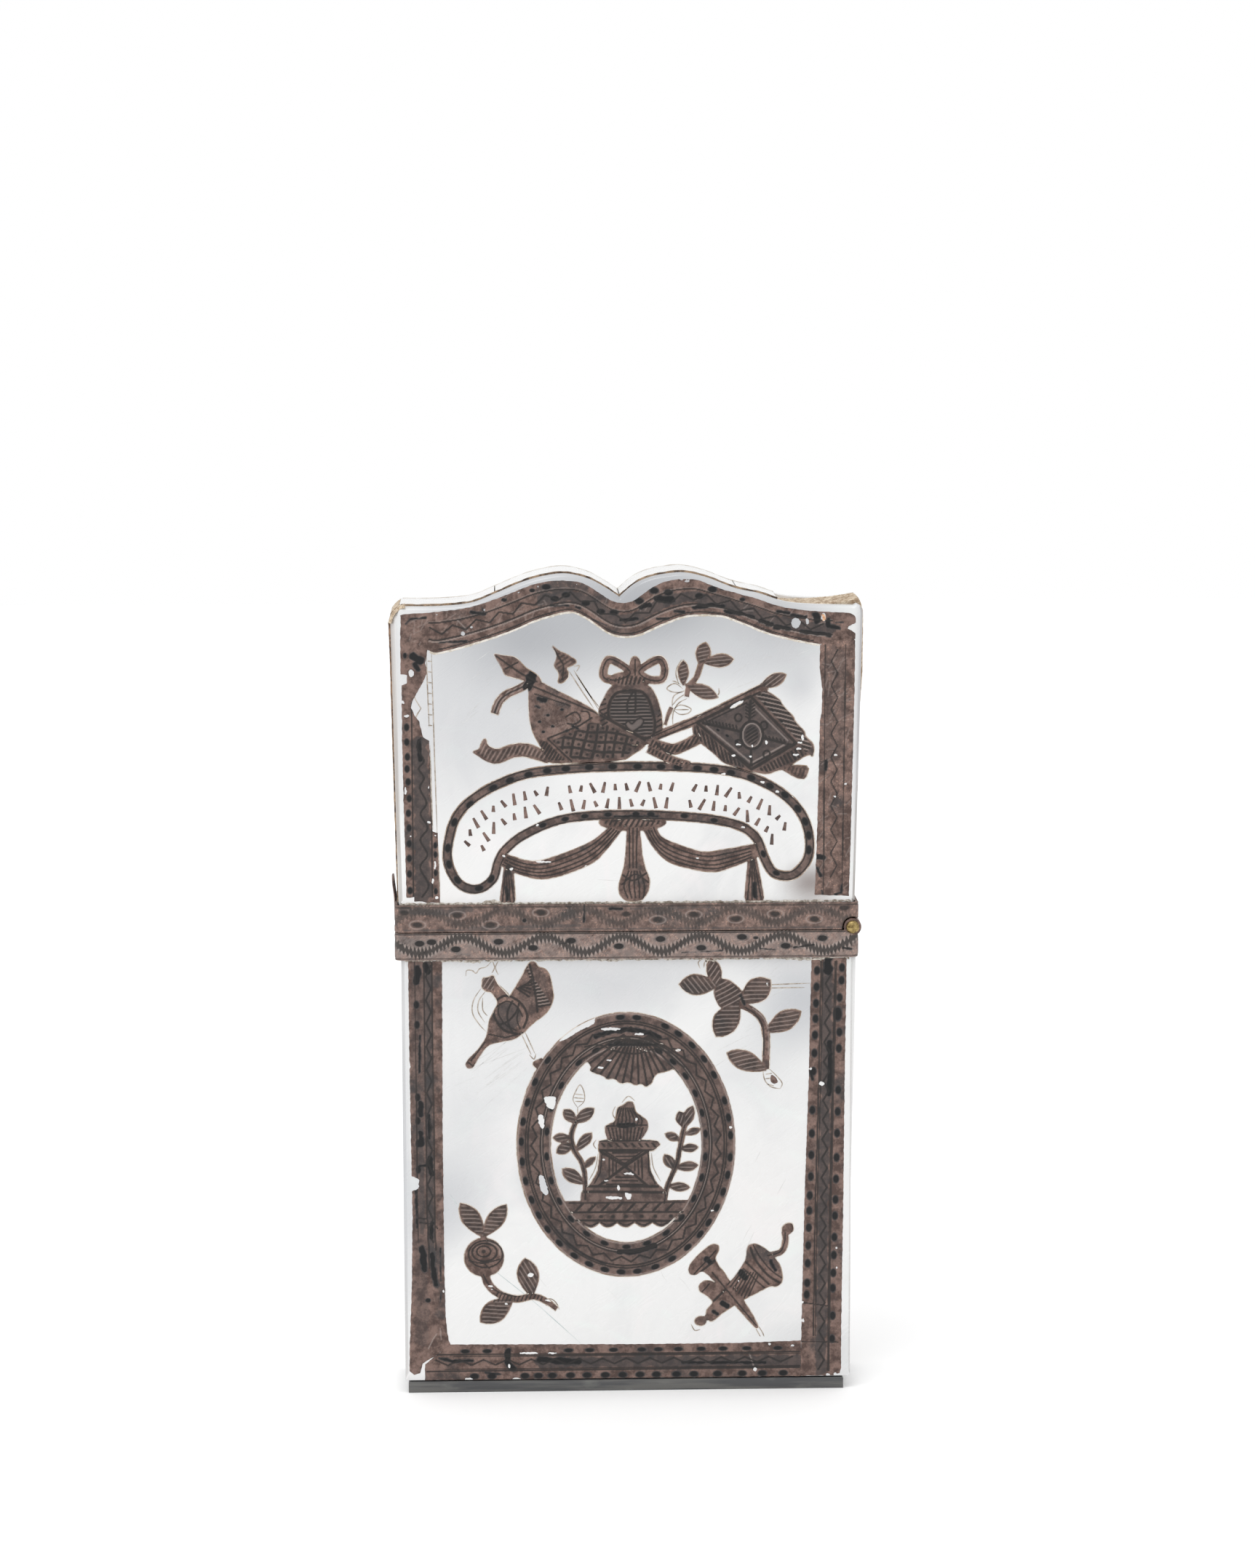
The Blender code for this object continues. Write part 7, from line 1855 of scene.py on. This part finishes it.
glue_look = dry_stuff("brown_glue", (0.070, 0.042, 0.028, 1), (0.42, 0.30, 0.20, 1), 0.8, 0.05)
dark_glue_look = dry_stuff("dark_glue", (0.10, 0.055, 0.035, 1), (0.33, 0.21, 0.135, 1), 1.1, 0.05)
pale_glue_look = dry_stuff("pale_glue", (0.50, 0.44, 0.37, 1), (0.76, 0.73, 0.68, 1), 0.9, 0.03)
mastic_look = dry_stuff("tan_mastic", (0.30, 0.205, 0.125, 1), (0.66, 0.555, 0.42, 1), 1.6, 0.12)


def bead(name, path, middle_y, half_y, proud, sunk, look, body):
    """A bead along a joint. Its section is half round and lies across the joint; proud is its height over the
    path at each point, and the bead goes down to sunk below it."""
    outward = -left_of(path)
    turn = np.linspace(0, np.pi, 7)
    foot = np.full(len(path), -sunk)
    height = np.column_stack([foot, *[proud * math.sin(angle) for angle in turn[1:-1]], foot])
    across = middle_y + half_y * np.cos(turn) * (1 + 0.15 * uneven(path[:, :1] * 2, path[:, 1:] * 2))
    points = np.stack(
        [path[:, :1] + outward[:, :1] * height, across, path[:, 1:] + outward[:, 1:] * height], axis=-1)
    number = np.arange(height.size).reshape(height.shape)
    after = np.roll(number, -1, axis=1)
    quads = np.stack([number[:-1], after[:-1], after[1:], number[1:]], axis=-1).reshape(-1, 4)
    caps = [number[0][::-1].tolist(), number[-1].tolist()]
    face_out(piece(name, points.reshape(-1, 3), quads.tolist() + caps, look, body, "mastic").data)


def even_path(points, step):
    """The same path in steps of one length."""
    points = np.array(points, float)
    long = far_along(points)[-1]
    return places_at(points, np.linspace(0, long, int(long / step) + 1))


over_top = top_line[(top_line[:, 0] > -24.2) & (top_line[:, 0] < 16.3)]
left_and_top = even_path(
    np.vstack([[(-24.74, 54.3), (-25.04, 68), (-25.36, 84.7), (-25.15, 85.5), (-24.6, 86.1)], over_top]),
    0.18)[::-1]
right_side = even_path([(25, 86.1), (25.3, 85.2), (25.22, 80), (25.08, 74)], 0.18)[::-1]
for side, name in ((-1, "front"), (1, "back")):
    ragged = -0.06 + 0.05 * uneven(left_and_top[:, 0] * 1.2, left_and_top[:, 1] * 1.2)
    look = glue_look if side < 0 else pale_glue_look
    bead(f"glue_over_{name}_joint", left_and_top, side * 3.55, 0.24, np.minimum(ragged + 0.02, 0.0), 0.5,
         look, "lid")
    bead(f"glue_right_{name}_joint", right_side, side * 3.55, 0.2,
         -0.05 + 0.03 * uneven(right_side[:, 1], right_side[:, 1]), 0.4, glue_look, "lid")

# The thicker brown bead down the lid's left edge, and the tan one down its right edge
left_edge = even_path([(-25.02, 70.6), (-25.12, 74), (-25.24, 80), (-25.35, 84.6)], 0.18)[::-1]
sinking = np.linspace(0.03, -0.1, len(left_edge))
bead("glue_left_edge", left_edge, -3.75, 0.3, sinking + 0.03 * uneven(left_edge[:, 1] * 2, left_edge[:, 1]),
     0.3, dark_glue_look, "lid")
right_edge = even_path([(25, 66), (25.08, 74.3), (25.15, 79), (25.2, 84.6), (25.16, 86.1)], 0.18)
sinking = np.interp(right_edge[:, 1], [66, 74.3, 79, 85.6, 86.1], [-0.12, 0.0, 0.25, 0.24, 0.05])
bead("glue_right_edge", right_edge, -3.75, 0.3,
     sinking + 0.02 * uneven(right_edge[:, 1] * 2, right_edge[:, 1]), 0.3, mastic_look, "lid")

# The lump of glue on the chipped corner, and the mastic at the other end of the top
corner_joint = [
    (-25.22, 84.55), (-25.18, 85.2), (-24.85, 85.85), (-24.3, 86.3), (-24.2, 86.3), (-24.2, 85),
    (-23.9, 84.6)]
plate("corner_joint_filling", corner_joint, -3.42, 3.42, 0.04, 0.04, mastic_look, "lid", "mastic")
corner_lump = even_path(
    [(-25.33, 84.6), (-25.1, 85.35), (-24.75, 85.85), (-24.2, 86.35), (-23.6, 86.5)], 0.12)[::-1]
bead("corner_glue", corner_lump, -4.1, 0.95,
     0.02 + 0.03 * uneven(corner_lump[:, 0] * 3, corner_lump[:, 1] * 3), 0.3, mastic_look, "lid")
MASTIC_TOP = [
    (16.3, 86.5), (17, 86.4), (19, 86.35), (21, 86.45), (23, 86.65), (24.2, 86.85), (24.9, 86.95),
    (25.3, 86.85)]
MASTIC_HALF_Y, MASTIC_FOOT_Z = 3.45, 84.6
mastic_x = np.linspace(16.3, 25.3, 120)
mastic_y = np.linspace(-1, 1, 40)
crest = curve(MASTIC_TOP)
mx, my = np.meshgrid(mastic_x, mastic_y, indexing="ij")
blunt = np.sqrt(np.clip((25.32 - mx) / 0.45, 0, 1))
mz = (np.interp(mx, crest[:, 0], crest[:, 1]) - 0.05 - 0.2 * np.abs(my) ** 5 - 0.7 * (1 - blunt)
      + 0.06 * uneven(mx * 1.6, my * 9) + 0.035 * uneven(mx * 5.1, my * 21))
top_side = np.stack([mx, my * MASTIC_HALF_Y, mz], axis=-1)
under_side = np.stack([mx, my * MASTIC_HALF_Y, np.full(mx.shape, MASTIC_FOOT_Z)], axis=-1)
rows, columns = mx.shape
upper = np.arange(rows * columns).reshape(rows, columns)
lower = upper + rows * columns
faces = [np.stack([upper[:-1, :-1], upper[1:, :-1], upper[1:, 1:], upper[:-1, 1:]], -1).reshape(-1, 4),
         np.stack([lower[:-1, :-1], lower[:-1, 1:], lower[1:, 1:], lower[1:, :-1]], -1).reshape(-1, 4)]
for a, b in (
    (upper[:, 0], lower[:, 0]), (lower[:, -1], upper[:, -1]), (lower[0], upper[0]), (upper[-1], lower[-1])):
    faces.append(np.stack([a[:-1], b[:-1], b[1:], a[1:]], -1))
piece("tan_mastic", np.vstack([top_side.reshape(-1, 3), under_side.reshape(-1, 3)]),
      np.vstack(faces).tolist(), mastic_look, "lid", "mastic", "corner_mastic", sharp=60)

# Old filling shows as a thin cream line round parts of the silver, and dust has settled over the bands
cream_look = dry_stuff("cream_filling", (0.50, 0.44, 0.36, 1), (0.74, 0.70, 0.64, 1), 1.5, 0.03)
dust_look = dry_stuff("grey_dust", (0.20, 0.165, 0.13, 1), (0.62, 0.58, 0.52, 1), 2.2, 0.05)


def filling(name, paths, width, height, look, body, wobble=0.05):
    """A thin line of filling on the front face, along paths."""

    def lifted(x, z, rise):
        return on_front(x, z, rise * height / PROUD)

    return relief(
        name, [ribbon(path, width) for path in paths], [], [], 0.09, lifted, look, body, "mastic",
        wobble=wobble, depth=0.05)


filling("lid_cream_line", [top_inner[::3] - (0, 0.1)], 0.24, 0.02, cream_look, "lid")
wax_look = dry_stuff("orange_wax", (0.46, 0.20, 0.09, 1), (0.80, 0.56, 0.38, 1), 2.6, 0.03)
filling("lid_border_wax", [[(21, 85.3), (21.12, 84.95), (21.2, 84.6)]], 0.36, 0.03, wax_look, "lid")
filling("lid_band_dust", [[(-24.4, 54.2), (0, 54.18), (24.2, 54.22)]], 0.24, 0.05, dust_look, "lid", 0.12)
filling("lid_band_lump", [[(-15.6, 54.25), (-14.4, 54.35), (-13.3, 54.2)]], 0.45, 0.09, dust_look, "lid",
        0.12)
filling("case_band_glue", [[(-24, 47.98), (0, 48), (24, 47.98)]], 0.2, 0.05, dust_look, "case", 0.12)
filling("case_band_lumps",
        [[(17.2, 48), (19.4, 47.85), (21.5, 47.9)], [(8.4, 47.95), (9.6, 47.75)],
         [(-17.6, 47.95), (-15.8, 47.85)], [(-3.2, 48), (-1, 47.9)]],
        0.3, 0.07, dust_look, "case", 0.14)


# Engraved lines and scratches in the shell
# Where silver has fallen out or was never laid, the engraver's outline is left in the shell. Fine scratches
# from handling run across both plates, and two old cracks cross the lower left of the case.
def threads(name, paths, width, look, body, height=0.012):
    """Thin flat lines on the front face: each is a shallow closed strip along its path."""
    points, faces = [], []
    for path in paths:
        path = np.array(path, float)
        rising, falling = np.linspace(0.3, 3, len(path)), np.linspace(3, 0.3, len(path))
        taper = np.minimum(rising, falling).clip(0.3, 1)[:, None]
        side = left_of(path) * width / 2 * taper
        first = sum(len(part) for part in points)
        corners = (1, height), (-1, height), (-1, -0.02), (1, -0.02)
        ring = [on_front(*(path + turn * side).T, rise) for turn, rise in corners]
        points.append(np.stack(ring, axis=1).reshape(-1, 3))
        number = first + np.arange(len(path) * 4).reshape(len(path), 4)
        after = np.roll(number, -1, axis=1)
        faces += np.stack([number[:-1], number[1:], after[1:], after[:-1]], -1).reshape(-1, 4).tolist()
        faces += [number[0].tolist(), number[-1][::-1].tolist()]
    return piece(name, np.vstack(points), faces, look, body, "mother_of_pearl", smooth=False)


ghost_look = dry_stuff("engraved_line", (0.25, 0.20, 0.155, 1), (0.50, 0.445, 0.385, 1), 1.2, 0.02, 0.5)
scratch_look = dry_stuff("fine_scratch", (0.56, 0.55, 0.53, 1), (0.72, 0.72, 0.71, 1), 0.9, 0.01, 0.4)
crack_look = dry_stuff("hairline_crack", (0.42, 0.50, 0.50, 1), (0.62, 0.67, 0.66, 1), 0.5, 0.01, 0.4)
lid_ghosts = [
    curve(path) for path in (
        [(-6.1, 79.3), (-4.9, 77.4), (-3.5, 75.3)], [(-5.6, 79.4), (-4.4, 77.5), (-3, 75.2)],
        [(-5.4, 79), (-4.1, 77), (-2.9, 75.4)], [(-5.6, 79.8), (-5, 79.9), (-5.3, 79.3)],
        [(5, 75.1), (5.8, 75.6), (6.9, 75.2), (6.6, 74.7), (5.7, 74.6), (5, 75.1)],
        [(5.2, 75.1), (6.7, 75.1)], [(4.9, 75.4), (5.1, 76.6), (6.4, 77.2)],
        [(5.6, 77.9), (5.3, 79.2), (5.9, 80.5)], [(9.9, 77.4), (9.9, 76.8), (9.5, 76.4)],
        [(4.9, 78.2), (5.3, 78.1), (5.8, 77.8)])]
lid_ghosts += [
    even_path(path, 0.8) for path in (
        [(-21.3, 80.9), (-21.25, 78), (-21.1, 73.4)],
        [(-20.78, 81.3), (-20.72, 78), (-20.55, 70), (-20.35, 61.9)],
        [(-21.02, 71.4), (-20.92, 66), (-20.8, 62.3)], [(-20.3, 61.4), (-20.1, 55)])]
lid_ghosts += [even_path([(-21.2, z), (-20.75, z - 0.05)], 0.1) for z in np.arange(73.6, 81, 1.15)]
lid_ghosts += [
    np.array([(-22.75, 77), (-22.55, 76.4), (-21.95, 75.4), (-22.35, 74.8), (-22.6, 74.2), (-22.55, 73.8)])]
pocket_look = dry_stuff("pocket_glue", (0.30, 0.215, 0.15, 1), (0.66, 0.60, 0.53, 1), 0.7, 0.02, 0.6)
for body, shapes in outlines.items():
    loops = []
    for shape in shapes:
        loops += [moved_in(loop, 0.045 if number else -0.045) for number, loop in enumerate(shape)]
    threads(f"{body}_pocket_lines", [np.vstack([loop, loop[:1]]) for loop in loops], 0.1, pocket_look, body,
            0.013)
lid_ghosts += [
    curve(path) for path in (
        [(6.25, 76.75), (5.5, 76.25), (4.95, 75.6)],
        [(6.5, 76.3), (5.6, 75.8), (5.1, 75), (4.95, 74.2), (5, 73.3)],
        [(6.05, 77.35), (5.3, 77.9), (4.7, 77.75), (4.35, 77.35), (5, 77), (6, 76.95)])]
threads("lid_ghost_lines", lid_ghosts, 0.13, ghost_look, "lid")
case_ghosts = [
    curve(path) for path in (
        [(-17.4, 46.3), (-17.3, 46.9), (-16.7, 46.9), (-16.3, 46.6), (-15.9, 47.1), (-15.2, 47.3),
         (-14.6, 47.9)],
        [(-14.6, 46.6), (-14.3, 47.2), (-14.5, 47.9)], [(-13.9, 46.4), (-14.2, 47.2), (-13.9, 47.9)],
        [(-15.8, 44.9), (-16.6, 43.6), (-16.7, 42.2), (-16, 41), (-15.3, 40.2)],
        [(-15.3, 44.6), (-16, 43.6), (-16.1, 42.4), (-15.4, 41.2)],
        [(-15.6, 43.9), (-15.6, 42.6), (-15.1, 41.9)], [(-14.2, 45.6), (-12.9, 44.4), (-12.8, 43.8)],
        [(-11.5, 40), (-10.4, 37.6)], [(-11.1, 40.2), (-10, 37.7)],
        [(-10.6, 37.6), (-10.1, 37.1), (-9.9, 37.7)], [(7.9, 46.9), (7.7, 47.6), (8.2, 48)],
        [(8.3, 47), (8.4, 47.6), (8.9, 47.9)], [(8.8, 47.4), (8.4, 47.9)],
        [(14.7, 35.8), (14.9, 34.6), (15.6, 33.8), (16.6, 33.6)],
        [(15.4, 35.8), (16.2, 35), (16.8, 34.2), (16.6, 33.6)], [(15, 35.2), (15.7, 35.3)],
        [(14.95, 34.7), (16, 34.8)], [(15.2, 34.1), (15.9, 33.9)], [(12.8, 45), (19.8, 45.2)],
        [(14.8, 44.7), (19.2, 44.75)],
        [(-5.4, 31.7), (-5.9, 32.6), (-5.5, 33.7), (-5.1, 34.2), (-4.7, 33.4), (-4.7, 32.4), (-5.4, 31.7)],
        [(-5.4, 31.7), (-5.4, 30.6)], [(-5.7, 33.2), (-4.8, 33.1)], [(-5.8, 32.8), (-4.7, 32.7)],
        [(-5.7, 32.4), (-4.75, 32.35)], [(-9.3, 10.3), (-8.4, 10.4), (-7.8, 9.9), (-7.5, 9.2)],
        [(-9, 9.7), (-8.1, 9.6)], [(6.9, 7.4), (7.3, 6.7), (7.9, 6.8)],
        [(14.2, 7.2), (14.7, 6.4), (14.9, 5.9)], [(14, 6.8), (14.5, 5.9)],
        [(-3.2, 26.6), (-3.5, 25), (-4.2, 23.6)], [(2.6, 26.6), (2.8, 25), (3.6, 23.4)],
        [(-1.2, 30.2), (-1.6, 31), (-1.3, 31.8)], [(-0.6, 32.2), (0.1, 32.9), (0.8, 32.4)],
        [(-3.4, 27.1), (-3.7, 27.6), (-3.4, 28.1)])]
threads("case_ghost_lines", case_ghosts, 0.12, ghost_look, "case")
threads("case_cracks",
        [even_path([(-15.2, 14.2), (-10, 9.9), (-5.2, 5.4)], 1.2),
         even_path([(-19.3, 22.2), (-17.9, 20)], 0.6)],
        0.07, crack_look, "case")
scratch_random = np.random.default_rng(7)


def scratches(count, middle, spread, lean, longest):
    """Straight fine scratches about a middle, which lean by an angle in degrees, give or take a little."""
    made = []
    for _ in range(count):
        place = np.array(middle) + scratch_random.normal(0, 1, 2) * spread
        angle = math.radians(lean + scratch_random.normal(0, 6))
        reach = longest * scratch_random.uniform(0.3, 1) / 2 * np.array([math.cos(angle), math.sin(angle)])
        made.append(even_path(
            [place - reach, place + scratch_random.normal(0, 0.06, 2), place + reach], 0.7))
    return made


case_scratches = [
    *scratches(26, (-13.5, 38), (2.2, 2.6), 35, 6.5), *scratches(14, (13.5, 41.5), (3, 2.8), 32, 4.5),
    *scratches(9, (-3, 13), (6, 2), -50, 2.5), *scratches(8, (14, 20), (3, 4), 60, 2.5)]
case_scratches = [
    path for path in case_scratches if abs(path[:, 0]).max() < 19.2 and 6 < path[:, 1].min()
    and path[:, 1].max() < 47.6]
threads("case_scratches", case_scratches, 0.035, scratch_look, "case", 0.006)
lid_scratches = [
    *scratches(16, (10, 80), (6, 1.2), 28, 3.0), *scratches(10, (-14, 78), (2.5, 2), 40, 2.5),
    *scratches(10, (0, 57.5), (9, 1.2), 2, 4.0)]
lid_scratches = [
    path for path in lid_scratches if abs(path[:, 0]).max() < 19.8 and 54.8 < path[:, 1].min()
    and path[:, 1].max() < 82]
threads("lid_scratches", lid_scratches, 0.035, scratch_look, "lid", 0.006)
